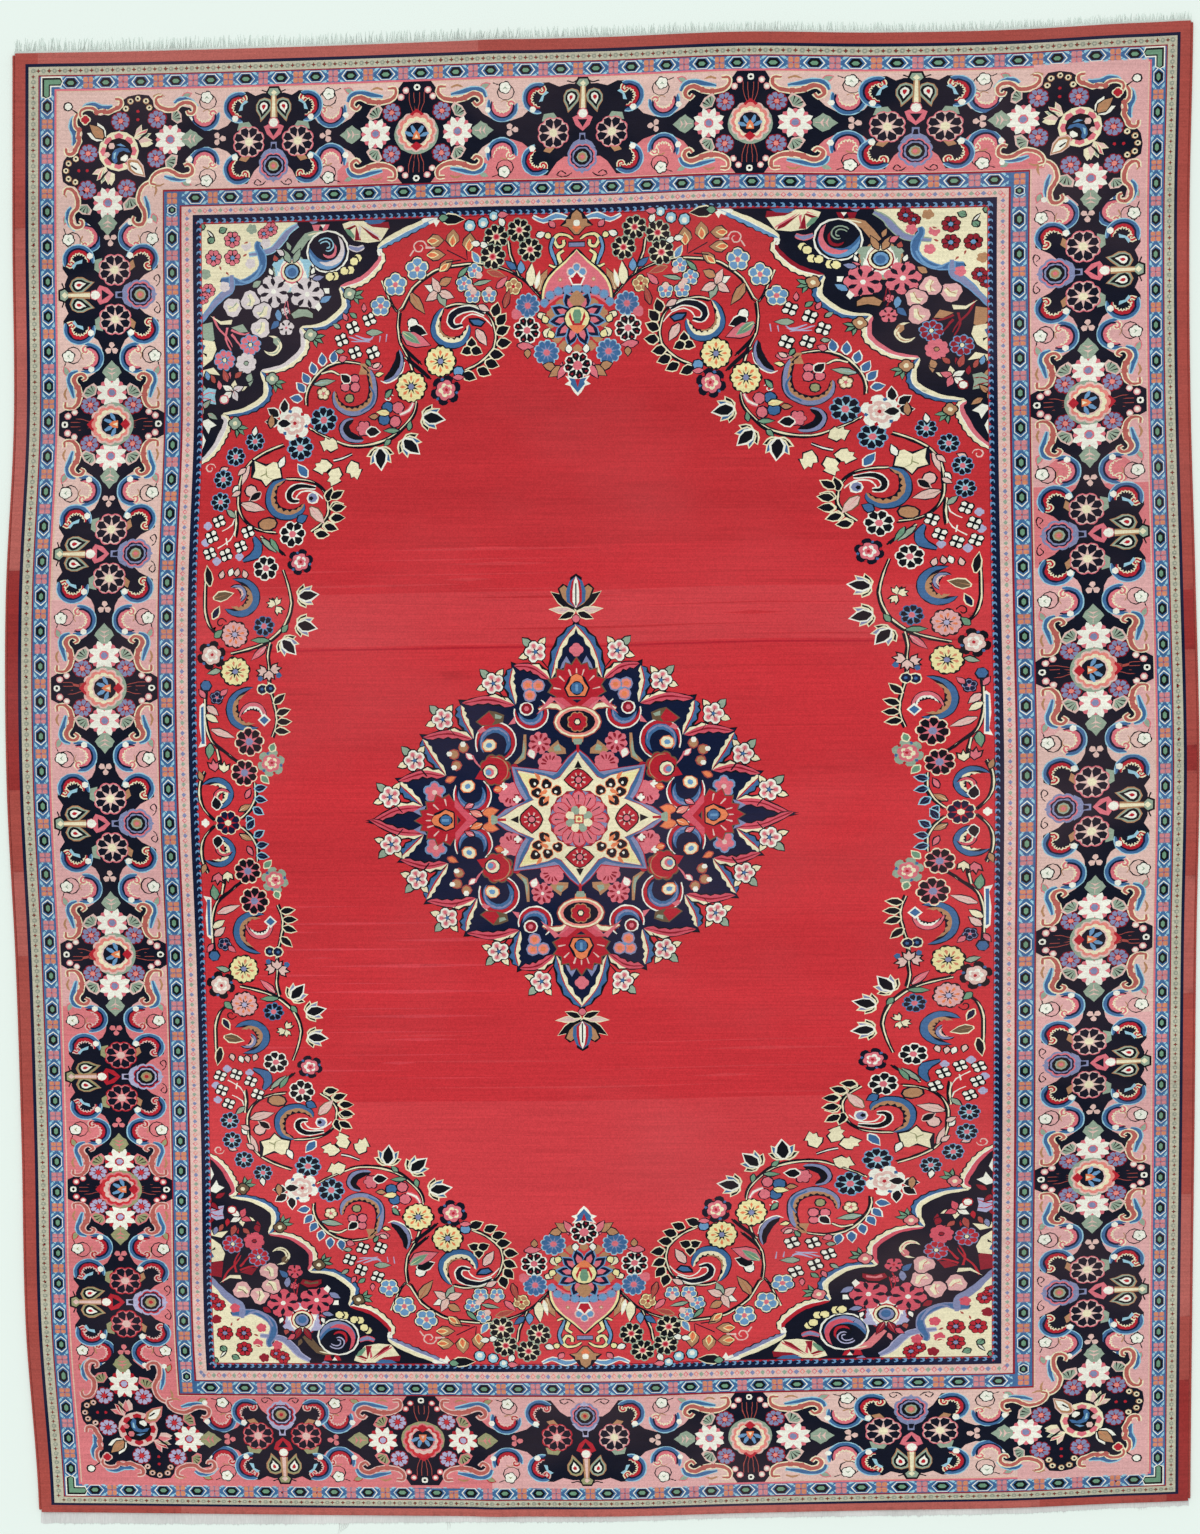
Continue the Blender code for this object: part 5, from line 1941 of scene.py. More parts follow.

# %% [markdown]
# ## Vine leaves lower down
#
# Lower down one large vine leaf in pale blue stands out from all the rest. It is drawn point by point, since
# nothing else on the rug has its shape.

# %% Vine leaves lower down
def lower_leaves(q):
    """The star-shaped vine leaf in pale blue and the leaves and buds round it."""
    for x, y, t in [(-300, 406.5, 2.5), (-294.5, 410, 1.5), (-300, 400.5, 3.1), (-300, 399.5, -0.1)]:
        leaf(q, x, y, t, 13, 8, "white", "black")
    lay(q, "night", [
        (-325.5, 364), (-311.5, 358.5), (-297, 361.5), (-293.5, 343.5), (-304.5, 341.5), (-311, 334.5),
        (-316, 341.5), (-326.5, 345)
    ])
    lay(q, "cream", [
        (-323, 362), (-311.5, 356.5), (-304, 360.5), (-299, 359.5), (-295.5, 345), (-304.5, 343), (-311, 336.5),
        (-315, 343), (-324.5, 345.5), (-321.5, 352.5)
    ])
    for points in ([(-311, 354), (-310, 346.5), (-305, 344)], [(-311, 349), (-316.5, 346.5)]):
        line(q, "moss", points, 1.0)
    leaf(q, -297.5, 355, 1.2, 12, 6, "night", "white")
    leaf(q, -270.5, 345.5, 2.2, 15, 8, "white", "blue")
    lay(moved(q, -325.5, 332), "night", oval(7.0, 8))
    lay(moved(q, -325.5, 332), "blush", oval(5.6, 8))
    leaf(q, -316, 330, -2.5, 13, 7, "blush", "black")
    leaf(q, -334, 319.5, -0.4, 24, 9, "night", "blush", "olive", 0.12)
    lay(moved(q, -307.5, 298.5, 0.1), "night", oval(7.4, 9, 1.45))
    lay(moved(q, -307.5, 298.5, 0.1), "camel", oval(5.8, 9, 1.5))
    leaf(q, -278, 301, 0.5, 11, 8, "night", "blue")
    leaf(q, -307.5, 395, 1.5, 13, 6, "night", "camel")
    leaf(q, -324, 387.5, 1.4, 9, 5, "night", "white")
    spiral(q, -367, 355, 5.5, 0.2, 1.1, 1.4, "blush")


quarters(lower_leaves)
told("lower leaves")

# %% [markdown]
# ## White dots
#
# Between spandrel and wreath the red shows through a loose trellis of white dots, four to a knot of black
# thread, with tiny leaves at its ends.

# %% White dots
def white_dots(q):
    """The lattices of four white dots between the spandrel and the wreath, with their small leaves."""
    for x, y in [(-208.5, 500.5), (-225, 493), (-236.5, 481), (-223, 468), (-205, 467.5)]:
        lattice(q, x, y, 8.0)
    for x, y in [(-356, 302), (-362.5, 286.5), (-364, 270), (-348, 268.5), (-333.5, 276.5), (-327, 291)]:
        lattice(q, x, y, 7.6)
    for x, y, t, dye in [
        (-213.5, 509, 1.6, "rose"), (-231, 500.5, 2.0, "rose"), (-238, 493, 2.6, "sage"),
        (-234.5, 469.5, 3.1, "sage"), (-211.5, 460.5, -1.0, "green"), (-205, 453, 0.5, "blush"),
        (-202.5, 445, 0.2, "lemon"), (-221.5, 503, 2.5, "green")
    ]:
        leaf(q, x, y, t, 8, 4, "black", dye)
    five(q, -197, 513.5, 10.5)


quarters(white_dots)
told("white dots")

# %% [markdown]
# ## The pendants
#
# From the middle of each end a pendant hangs into the field: a camel flower, a pink dome with a row of beads, a
# large flower with navy petals and a last small one on a white point. Each half is mirrored on its own, so
# every shape stays small and simple. A pendant reads upwards at one end and downwards at the other, so its
# place turns the whole of it over.

# %% The crown of a pendant
def pendant_crown(q):
    """The camel flower at the frame, the ribbons beside it and the small bar below."""
    for side in (-1, 1):
        half = lambda a, b, side=side: q(side * a, b)
        line(half, "sky", [(5, 562), (22, 566), (36, 561), (47, 566)], 1.0, 5.0, 3.4, 1.0, rim="white", steps=3)
        leaf(half, 24, 554, 0.9, 9, 6, "night", "rose")
        dot(half, 31, 545, 3.4, "night", "lemon")
        line(
            half, "lemon", [(4, 541), (10, 545), (19, 546), (24, 541), (20, 533), (14, 535), (14, 540)], 1.4,
            3.6, 3.0, rim="night", steps=3
        )
        line(half, "sky", [(25, 543), (28, 532), (24, 520), (21, 512)], 2.4, 3.6, 1.2, rim="night", steps=3)
        line(
            half, "lemon", [(14, 529), (20, 524), (17, 515), (22, 511), (30, 514)], 2.2, 4.2, 1.4, rim="night",
            steps=3
        )
        leaf(half, 41, 486, 1.75, 25, 9.5, "night", "camel", "cream", 0.2)
        leaf(half, 44, 490, 1.8, 18, 3.6, "cream", "white")
    lay(q, "night", [(-9.4, 538.5), (9.4, 538.5), (9.4, 532), (-9.4, 532)])
    lay(q, "violet", [(-8.2, 537.4), (8.2, 537.4), (8.2, 533.2), (-8.2, 533.2)])
    here = moved(q, 0, 554)
    lay(here, "night", [
        (-18, 1), (-12, 8), (-7, 15), (0, 20), (7, 15), (12, 8), (18, 1), (10, -1), (3, -9), (-3, -9), (-10, -1)
    ])
    lay(here, "camel", [
        (-16, 1), (-11, 4), (-11, 8), (-6, 8), (-5, 14), (0, 18), (5, 14), (6, 8), (11, 8), (11, 4), (16, 1),
        (9, 0), (2, -8), (-2, -8), (-9, 0)
    ])
    lay(here, "orange", [(-5, -1), (0, 8), (5, -1), (1, -6), (-1, -6)])
    lay(moved(here, 0, 4), "white", oval(3.6, 8))


def both_ends(draw):
    """Draws a thing of the pendants, once for each end."""
    for end in (1, -1):
        draw(lambda a, b: (0.93 * a, end * (0.931 * (b - 565) + 598)))
    told(draw.__name__.replace("_", " "))


both_ends(pendant_crown)

# %% [markdown]
# ## The dome
#
# The dome is a pink onion shape in a lemon outline, with a flower in it and nine beads along its foot. Its
# right half is a smooth curve, and the left half is the same list read backwards.

# %% The dome
def pendant_dome(q):
    """The pink dome, the three blue berries with their red flower and the arch of beads."""
    dome = [(0, 530), (12, 518), (24, 508), (33, 497), (37, 486), (38, 474)]
    outline = smooth(dome, 3)
    lay(q, "night", [(a + 1.6, b + 1) for a, b in outline] + [(-a - 1.6, b + 1) for a, b in outline[::-1]])
    lay(q, "lemon", outline + [(-a, b) for a, b in outline[::-1]])
    inner = [(a * 0.95, b - 1.6) for a, b in outline]
    lay(q, "rose", inner + [(-a, b) for a, b in inner[::-1]])
    arch = [
        (35, 473), (29, 481), (20, 485), (10, 487), (0, 488), (-10, 487), (-20, 485), (-29, 481), (-35, 473)
    ]
    line(q, "night", arch, 5.0, 9.0, 5.0, steps=2)
    for a, b in arch:
        dot(q, a, b + 0.5, 4.0 if a else 5.2, "violet", "sky")
    lay(q, "red", [(-33, 470), (-20, 479), (0, 483), (20, 479), (33, 470), (20, 455), (-20, 455)])
    for a, b in ((-6, 506), (6, 506), (0, 511)):
        dot(q, a, b, 3.8, "blush", "sky")
    lay(q, "white", [(-9, 500), (0, 507), (9, 500), (5, 492), (-5, 492)])
    lay(q, "madder", [(-7, 500), (-4, 500), (0, 506), (4, 500), (7, 500), (4, 493), (-4, 493)])
    for a in (-18, 18):
        lay(moved(q, a, 498), "camel", oval(2.6, 6))
        lay(moved(q, a, 498), "blush", oval(1.3, 5))


both_ends(pendant_dome)

# %% [markdown]
# ## The navy flower
#
# Ten pointed petals stand round a lemon heart. Each is three flat shapes of the same outline: a sky rim, a navy
# petal and a pink middle. Camel leaves look out from behind them, which only means that they were laid first.

# %% The navy flower
def pendant_flower(q):
    """The large flower of a pendant, from the leaves behind it to its heart."""
    for a, b in (
        (-17, 472), (17, 472), (-28, 452), (28, 452), (-22, 436), (22, 436), (-14, 427), (14, 427), (0, 480),
        (-27, 462), (27, 462)
    ):
        lay(moved(q, a, b), "camel", petalled(6.0, 4, 0.2))
    here = moved(q, 0, 456)
    for turn in (1.15, 0.45, -0.1, -0.68, -1.25):
        for side in (-1, 1):
            arm = moved(lambda a, b, side=side, here=here: here(side * a, b), 0, 0, turn)
            lay(arm, "sky", [(8, -4), (14, -7), (24, -6), (32, 0), (24, 6), (14, 7), (8, 4)])
            lay(arm, "navy", [(8, -4), (14, -5.8), (23, -4.8), (29.5, 0), (23, 4.8), (14, 5.8), (8, 4)])
            lay(arm, "rose", [(11, -2.8), (19, -3.2), (24, 0), (19, 3.2), (11, 2.8)])
    lay(here, "camel", [(-9, 20), (-4, 28), (4, 28), (9, 20), (2, 11), (-2, 11)])
    lay(here, "night", oval(14.4, 14))
    lay(here, "lemon", oval(13.0, 12))
    lay(here, "madder", [(-9, 2), (-8, 8), (-5, -2), (5, -2), (8, 8), (9, 2), (5, -7), (-5, -7)])
    lay(here, "green", [(-5, 4), (-3, 10), (3, 10), (5, 4), (3, -5), (-3, -5)])
    lay(here, "orange", [(-9, -7), (9, -7), (5, -13), (0, -16), (-5, -13)])
    for a, b in ((-33, 456), (33, 456), (-27, 440), (27, 440), (-9, 424), (9, 424)):
        leaf(q, a, b - 4, 1.57 - a * 0.012, 9, 7, "night", "lemon" if abs(a) > 10 else "white")
    lay(moved(q, 0, 424), "camel", petalled(5, 4, 0.3))


both_ends(pendant_flower)

# %% [markdown]
# ## The point
#
# The pendant ends in a black daisy between two pairs of leaves and a white point with a blue flame. The point
# is the lowest thing of the pendant, and on the open red ground it is seen before everything else, so it gets
# the whitest dye.

# %% The point of a pendant
def pendant_point(q):
    """The last daisy and the white point below it."""
    for side in (-1, 1):
        half = lambda a, b, side=side: q(side * a, b)
        leaf(half, 16, 405, -0.6, 18, 9, "night", "camel")
        leaf(half, 12, 407, -1.0, 18, 8, "night", "rose")
    daisy(q, 0, 406, 15.5, "white", "black", "rose", 8, 0.2, "white")
    for i in range(8):
        lay(moved(q, 0, 406, 0.2 + TAU * i / 8), "wine", [(9, 0), (11.4, 1.4), (12.2, 0), (11.4, -1.4)])
    lay(moved(q, 0, 406), "rose", oval(5.4, 8))
    lay(q, "white", [
        (-13, 395), (-9, 390), (-14, 386), (-8, 384), (-4, 378), (0, 374), (4, 378), (8, 384), (14, 386),
        (9, 390), (13, 395), (0, 392)
    ])
    lay(q, "blue", [
        (-10, 393), (-7, 389), (-8, 386), (-3, 381), (0, 377), (3, 381), (8, 386), (7, 389), (10, 393), (0, 391)
    ])
    lay(q, "madder", [(-2.6, 392), (0, 383), (2.6, 392)])


both_ends(pendant_point)

# %% [markdown]
# ## The medallion's edge
#
# The medallion in the middle of the field is a pointed diamond. Its outline goes from notch to tip and back,
# five times a quarter, and a leaf lies along every side of it: blue and cream on one side of the tip, carmine
# on the other. White flowers with five petals stand in the notches. The tips lie on the axes, where two
# quarters meet.

# %% The medallion's edge
def medallion_edge(q):
    """A quarter of the medallion's pointed outline, its leafy edge and the flowers that sit in its notches."""
    tips = [(0, 198), *[(-64, 155), (-116, 118.5), (-154.5, 85), (-180, 42)], (-210, 0)]
    notches = [(-25.5, 140), (-60.5, 114.5), (-103, 81.5), (-130.5, 45.5), (-154, 15)]
    points = [tips[0]]
    for notch, tip in zip(notches, tips[1:]):
        points += [notch, tip]
    lay(q, "black", [(a * 1.008 - 0.8, b * 1.008 + 0.8) for a, b in points] + [(0, 0)])
    lay(q, "navy", [*points, (0, 0)])
    for tip, notch in zip(tips, notches):
        (ax, ay), (bx, by) = tip, notch
        middle = ((ax + bx) / 2 - 4, (ay + by) / 2 + 2)
        path = smooth([(ax + 1, ay - 4), middle, (bx, by - 1)], 5)
        lay_band(q, "black", toothed(path, 1.0, 0), toothed(path, -7.4, 0.2))
        lay_band(q, "blue", path, toothed(path, -6.0, 0.45))
        lay_band(q, "cream", path, toothed(path, 5.2, 0.35))
        lay_band(q, "madder", toothed(path, 0.9, 0), toothed(path, -0.5, 0))
    for notch, tip in zip(notches, tips[1:]):
        (ax, ay), (bx, by) = notch, tip
        middle = ((ax + bx) / 2 + 1, (ay + by) / 2 + 4.5)
        path = smooth([(ax - 1, ay - 1), middle, (bx + 2, by - 2)], 5)
        tuft = path[: len(path) * 2 // 3]
        lay_band(q, "black", toothed(path, -3.0, 0), toothed(path, 7.4, 0.2))
        lay_band(q, "black", tuft, toothed(tuft, -6.6, 0.2))
        lay_band(q, "cream", tuft, toothed(tuft, -5.2, 0.45))
        lay_band(q, "carmine", toothed(path, -1.8, 0), toothed(path, 6.2, 0.3))
        lay_band(q, "wine", toothed(path, 2.4, 0), toothed(path, 0.8, 0))
    for x, y in [(-40.5, 166.5), (-82.5, 135.5), (-133, 100.5), (-161.5, 60), (-186.5, 24)]:
        line(q, "black", [(x + 4, y - 6), (x + 12, y - 16)], 1.6, 1.0)
        leaf(q, x - 5, y + 6, 2.35, 11, 7.4, "black", "sage", "green")
        leaf(q, x + 4, y + 6, 0.95, 10, 6, "black", "cream", "orange")
        leaf(q, x - 7, y - 3, 3.45, 10, 6, "black", "cream", "orange")
        lay(moved(q, x, y, 0.31), "black", petalled(12.0, 5, 0.24, 0.7, 0.3))
        lay(moved(q, x, y, 0.31), "white", petalled(10.8, 5, 0.26, 0.7, 0.3))
        for i in range(5):
            arm = moved(q, x, y, 0.61 + TAU * i / 5)
            lay(arm, "blush", [(1, 0), (4.4, 3.0), (8, 2.8), (9.2, 0), (8, -2.8), (4.4, -3.0)])
            lay(arm, "rose", [(3, 0), (5.4, 1.8), (7.6, 1.6), (8, 0), (7.6, -1.6), (5.4, -1.8)])
            lay(arm, "navy", [(0, 1.2), (5.6, 0), (0, -1.2)])
        lay(moved(q, x, y), "blue", oval(2.0, 6))


quarters(medallion_edge)
told("medallion edge")

# %% [markdown]
# ## Scrolls of the medallion
#
# The navy ground of the medallion holds three scrolls shaped like a C, each round a flower of its own. They are
# horns again: a white line, a red body, a blue one and a violet one with teeth, each a little further in than
# the last.

# %% Scrolls of the medallion
def medallion_scrolls(q):
    """The three C scrolls and the flowers that they hold."""
    for x, y, r, start, sweep, ox, oy in (
        (-80.5, 77, 21.5, 3.6, -5.2, -7, -3),
        (-104.5, 24.5, 20.0, 2.6, 4.6, -5, 9),
        (-45, 106, 18.0, 2.9, 4.3, -5, 4),
    ):
        here = moved(q, x, y)
        lay(here, "navy", oval(r, 16))
        horn(here, 0, 0, r, start, sweep, 1.4, "white", 0.92, 0, 18, 0.8)
        horn(here, 0, 0, r - 1.3, start, sweep * 0.97, 4.2, "madder", 0.9, 0, 18)
        horn(here, 0, 0, r - 4.6, start + 0.2, sweep * 0.92, 6.0, "blue", 0.82, 0, 18)
        horn(here, 0, 0, r - 5.2, start + 0.3, sweep * 0.8, 2.4, "violet", 0.8, 0.3, 18)
        if r > 19:
            lay(moved(here, ox, oy, 0.3), "orange", oval(6.6, 8, 1.2))
            lay(moved(here, ox, oy, 0.3), "cream", oval(5.6, 8, 1.2))
            lay(moved(here, ox, oy, 0.3), "sky", oval(2.8, 6, 1.2))
        else:
            lay(moved(here, ox, oy), "white", oval(7.0, 10))
            lay(moved(here, ox, oy), "wine", oval(5.6, 9))
            lay(moved(here, ox, oy), "rose", oval(2.6, 6))


quarters(medallion_scrolls)
told("medallion scrolls")

# %% [markdown]
# ## Lobes and berries
#
# Between the scrolls the medallion is packed with parts of flowers. In the worn wool only their blocks of
# colour are left, so they are drawn as blocks.

# %% Lobes and berries
def medallion_lobes(q):
    """The flower of three lobes, the olive leaf flower and the berries."""
    for x, y in [(-48.5, 133.5), (-38, 133), (-46.5, 123.5)]:
        lay(moved(q, x, y), "violet", oval(7.0, 8))
        lay(moved(q, x, y), "salmon", oval(5.4, 7))
        lay(moved(q, x, y), "orange", oval(2.8, 6))
    lay(moved(q, -43.5, 129), "sky", oval(2.0, 6))
    lay(q, "olive", [
        (-100.5, 97.5), (-94, 103), (-87, 108.5), (-80, 107), (-72, 104), (-73.5, 97), (-83, 94), (-94.5, 93)
    ])
    lay(q, "madder", [(-99, 97.5), (-93, 102.5), (-87, 107), (-81.5, 98.5), (-84.5, 94.5), (-94.5, 94.5)])
    lay(q, "olive", [(-83, 107), (-72, 103.5), (-74, 98.5), (-81.5, 100)])
    lay(q, "sage", [(-81, 105), (-74, 103), (-76, 100), (-81, 100.5)])
    lay(q, "rose", [(-68, 94.5), (-62, 102.5), (-61, 95.5)])
    lay(q, "rose", [(-98.5, 88.5), (-94.5, 92), (-90, 89), (-96, 85.5)])
    for x, y in [(-113, 72), (-122.5, 65.5), (-120, 54.5)]:
        lay(moved(q, x, y), "brick", oval(5.6, 8))
        lay(moved(q, x, y), "camel", oval(4.2, 7))
    for x, y in [(-113.5, 75.5), (-127, 66), (-122.5, 52.5)]:
        lay(moved(q, x, y), "white", oval(2.8, 6))


quarters(medallion_lobes)
told("medallion lobes")

# %% [markdown]
# ## The small palmette and the flowers on navy
#
# A small red palmette looks sideways out of the gap between two scrolls. Round it stand a violet flower, a pink
# rosette and two half-open fans.

# %% The small palmette and the flowers on navy
def medallion_flowers(q):
    """The red palmette between two scrolls, the violet flower and the small fans."""
    here = moved(q, -82, 49.5, 0.35)
    lay(here, "olive", petalled(16.6, 8, 0.14))
    lay(here, "madder", petalled(15.0, 8, 0.14))
    horn(here, 0, 0, 13, -1.6, 3.2, 1.2, "camel", 1.0)
    lay(moved(here, -16, -1), "madder", [(-6, 0), (2, 6), (4, -6)])
    lay(moved(here, -5, 0), "night", oval(8.2, 10))
    lay(moved(here, -5, 0), "cream", oval(7.0, 10))
    lay(moved(here, -6, 0), "rose", oval(4.6, 8))
    lay(moved(here, -7, 0), "sky", oval(3.2, 7))
    here = moved(q, -142.5, 28, 0.3)
    lay(here, "sky", petalled(11.8, 5, 0.26))
    lay(here, "violet", petalled(10.8, 5, 0.26))
    lay(here, "rose", petalled(9.4, 5, 0.3))
    lay(here, "blush", oval(2.8, 6))
    gapped(q, -37.5, 76, 11.4, 8, 0.2, "rose", "wine", "white")
    lay(q, "camel", [
        (-26.5, 73), (-19.5, 78.5), (-18, 74.5), (-12.5, 70), (-12, 65), (-25.5, 64.5), (-30, 67.5)
    ])
    lay(q, "sage", [(-24, 71.5), (-19, 74.5), (-16, 68.5), (-22.5, 67.5)])
    lay(q, "camel", [(-53.5, 84.5), (-51, 84.5), (-51, 70.5), (-52, 60.5), (-60, 55), (-63.5, 56), (-55, 65)])
    lay(q, "sage", [(-53, 79), (-52, 70.5), (-53, 61.5), (-59, 58), (-54.5, 67.5)])
    leaf(q, -47, 69, -1.2, 9, 7, "rose", "white")
    lay(q, "madder", [(-61.5, 56), (-67, 54), (-59, 52.5)])
    for x, y, t in [(-27.5, 55, 0.5), (-67.5, 25, 3.6)]:
        here = moved(q, x, y, t)
        lay(here, "rose", petalled(12.4, 8, 0.14))
        for i in range(-2, 3):
            lay(moved(here, 0, 0, 1.57 + i * 0.5), "wine", [(4, -0.5), (8, -1.1), (9.6, 0), (8, 1.1), (4, 0.5)])
    for x, y in [(-74, 33), (-61, 20), (-27, 43)]:
        lay(moved(q, x, y), "white", petalled(4.0, 4, 0.4))
    leaf(q, -83, 29.5, 0.2, 8, 6, "madder", "orange", "cream")
    leaf(q, -130.5, 39, 0.4, 10, 5, "brick", "orange")
    leaf(q, -94.5, 6.5, 0.2, 15, 8, "brick", "orange", "cream")
    leaf(q, -104.5, 61, 2.4, 8, 4, "rose", "white")
    line(q, "rose", [(-104.5, 64), (-100.5, 57), (-96.5, 52.5)], 2.4, 1.2)
    # The band that holds the ring under the palmette of each end.
    line(
        q, "cream", [(-38, 109), (-28, 113), (-17, 111), (-9, 103), (-3, 99)], 1.6, 4.6, 3.4, 2.0, rim="brick",
        steps=3
    )
    lay(q, "rose", [(-40, 104), (-22, 118), (-8, 100), (-3, 96), (-3, 104), (-14, 114), (-26, 122)])


quarters(medallion_flowers)
told("medallion flowers")

# %% [markdown]
# ## The ivory star
#
# In the middle lies an ivory star with a violet and blue edge. A quarter of it is drawn and it meets itself on
# both axes. Each ring of the edge is the same outline, a little larger, with the middle of the rug as its last
# corner, so nothing can show between two quarters.

# %% The ivory star
def medallion_star(q):
    """A quarter of the ivory star: it is drawn four times and meets itself on both axes."""
    outer = [(0, 72), *[
        (-1, 68), (-9.5, 61), (-21, 47), (-26.5, 47.5), (-42, 50), (-65.5, 52.5), (-62.5, 36.5), (-57.5, 25),
        (-52, 18), (-72, 10.5), (-83, 1)
    ], (-86, 0)]
    inner = [(0, 66), *[
        (-4, 59.5), (-11.5, 50), (-18.5, 41.5), (-24, 39), (-32, 43), (-60, 48.5), (-54.5, 38), (-50.5, 31),
        (-48, 24), (-44, 19.5), (-60.5, 12.5), (-72, 4.5), (-79, 1)
    ], (-80, 0)]
    lay(q, "madder", [(a * 1.02, b * 1.02) for a, b in outer] + [(0, 0)])
    lay(q, "violet", [*outer, (0, 0)])
    half = [((a + c) / 2, (b + d) / 2) for (a, b), (c, d) in zip(outer, inner)]
    lay(q, "blue", [*[(a * 0.98, b * 0.98) for a, b in outer[:4]], *half[4:], (0, 0)])
    lay(q, "madder", [(a * 1.015, b * 1.015) for a, b in inner] + [(0, 0)])
    lay(q, "cream", [*inner, (0, 0)])
    lay(q, "lemon", [(-59.5, 47.5), (-42, 43.5), (-41, 33.5), (-46.5, 25), (-52, 35)])
    for x, y, t in [(-44, 36.5, 2.5), (-31.5, 35, 1.8), (-41.5, 26.5, 3.2), (-21.5, 28.5, 1.2), (-35, 18, 3.9)]:
        here = moved(q, x, y, t)
        lay(here, "orange", petalled(6.0, 3, 0.2))
        lay(here, "black", petalled(5.2, 3, 0.2))
        lay(moved(here, -1.4, 0.4), "white", oval(1.6, 5))
    for x, y, t in [(-32, 28, 3.6), (-38, 40.5, 2.3), (-30, 22, 4.0)]:
        leaf(q, x, y, t, 7, 1.6, "orange", "orange")


quarters(medallion_star)
told("ivory star")

# %% [markdown]
# ## The four arms
#
# Four arms stand on the axes of the medallion: a serrated flower, a ring or a bud below it, and a diamond on
# the star. The two long arms carry the open ring, and the two short ones carry the bud, so the helper is told
# which kind it draws.

# %% The four arms
def medallion_arms():
    """The flowers on the four axes of the medallion."""
    for sx, sy, tall in ((1, 1, True), (1, -1, True), (1, 1, False), (-1, 1, False)):
        if tall:
            q = lambda a, b, sy=sy: (a, sy * b)
        else:
            q = lambda a, b, sx=sx: (sx * b * 1.09, a)
        here = moved(q, 0, 130) if tall else moved(q, 0, 121, 0, 0.92)
        if tall:
            lay(moved(q, 0, 168), "rose", petalled(7.0, 4, 0.2))
        for side in (-1, 1):
            lay(moved(here, side * 10, 24), "violet", [(0, 8), (4, 1), (6, -5), (0, -2), (-6, -5), (-4, 1)])
        half = [
            (5, 24), (11, 26), (13, 19), (21, 20), (21, 12), (29, 9), (25, 3), (29, -4), (22, -8), (20, -12)
        ]
        serrated = [(0, 32), *half, *[(-a, b) for a, b in half[::-1]]]
        lay(here, "olive", serrated)
        lay(here, "madder", [(a * 0.94, b * 0.94) for a, b in serrated])
        for turn in (0.2, 0.75, 1.25, 1.57, 1.9, 2.4, 2.95):
            lay(moved(here, 0, -4, turn), "blush", [(16, -0.4), (23, -0.9), (24, 0), (23, 0.9), (16, 0.4)])
        lay(here, "night", [(-13, 0), (-8, 11), (0, 15), (8, 11), (13, 0), (9, -9), (-9, -9)])
        lay(here, "orange", [(-11, 0), (-7, 6), (-5, 12), (0, 14), (5, 12), (7, 6), (11, 0), (8, -8), (-8, -8)])
        lay(here, "night", petalled(7.0, 4, 0.1))
        lay(here, "blue", oval(6.0, 8))
        lay(here, "sky", [(-1.4, 4), (1.4, 4), (1.4, -3), (-1.4, -3)])
        lay(here, "carmine", [
            (-25, -9), (-14, -9), (0, -21), (14, -9), (25, -9), (12, -18), (0, -31), (-12, -18)
        ])
        lay(here, "madder", [(-14, -9), (0, -21), (14, -9), (10, -8), (0, -15), (-10, -8)])
        if tall:
            ring = moved(q, 0, 96.5)
            for dye, a, b in (
                ("brick", 24.0, 16.4), ("cream", 22.6, 15.2), ("salmon", 20.6, 13.6), ("night", 17.6, 11.4)
            ):
                lay(ring, dye, [(a * math.cos(TAU * i / 16), b * math.sin(TAU * i / 16)) for i in range(16)])
            lay(ring, "camel", petalled(10.4, 8, 0.14, 0.7, 0.39))
            lay(ring, "madder", petalled(9.4, 8, 0.14, 0.7, 0.39))
            lay(ring, "night", oval(4.2, 6))
            lay(ring, "cream", oval(2.4, 6))
        else:
            leaf(q, -4, 88, 2.0, 12, 7, "night", "orange", "cream")
            leaf(q, 4, 88, 1.14, 12, 7, "night", "salmon", "cream")
            for side in (-1, 1):
                leaf(q, side * 16, 96, 1.57 + side * 0.5, 9, 5, "night", "rose", "white")
        lay(moved(q, 0, 79), "orange", [(-6, 3), (6, 3), (5, -2), (-5, -2)])
        lay(moved(q, 0, 76.5), "sage", [(-5.4, 2), (-3, 3.6), (3, 3.6), (5.4, 2), (3, -2.6), (-3, -2.6)])
        lay(q, "madder", [(-1.2, 74), (1.2, 74), (1.0, 66), (-1.0, 66)])
        rosette = moved(q, 0, 39 if tall else 43)
        lay(moved(q, 0, 53 if tall else 57), "black", [(-3.6, -2), (0, 5.4), (3.6, -2)])
        for dye, size in (("black", 1.0), ("madder", 0.9)):
            lay(rosette, dye, [
                (a * size, b * size) for a,
                b in (
                    (0, 11.5), (5, 10), (9.5, 6), (15, 0), (9.5, -6), (5, -9), (0, -11), (-5, -9), (-9.5, -6),
                    (-15, 0), (-9.5, 6), (-5, 10)
                )
            ])
        for i in range(8):
            lay(
                moved(rosette, 0, 0, 0.39 + TAU * i / 8), "blush",
                [(4, -0.5), (7.4, -0.8), (7.4, 0.8), (4, 0.5)]
            )
        lay(rosette, "black", oval(4.4, 8))
        lay(rosette, "rose", oval(3.2, 7))


medallion_arms()
told("arms of the medallion")

# %% [markdown]
# ## The heart of the rug
#
# The rosette in the very middle has twelve pink petals, a ring of eight smaller ones and a lemon square. It is
# drawn on the paper itself, with no mirror, because a turn repeats it.

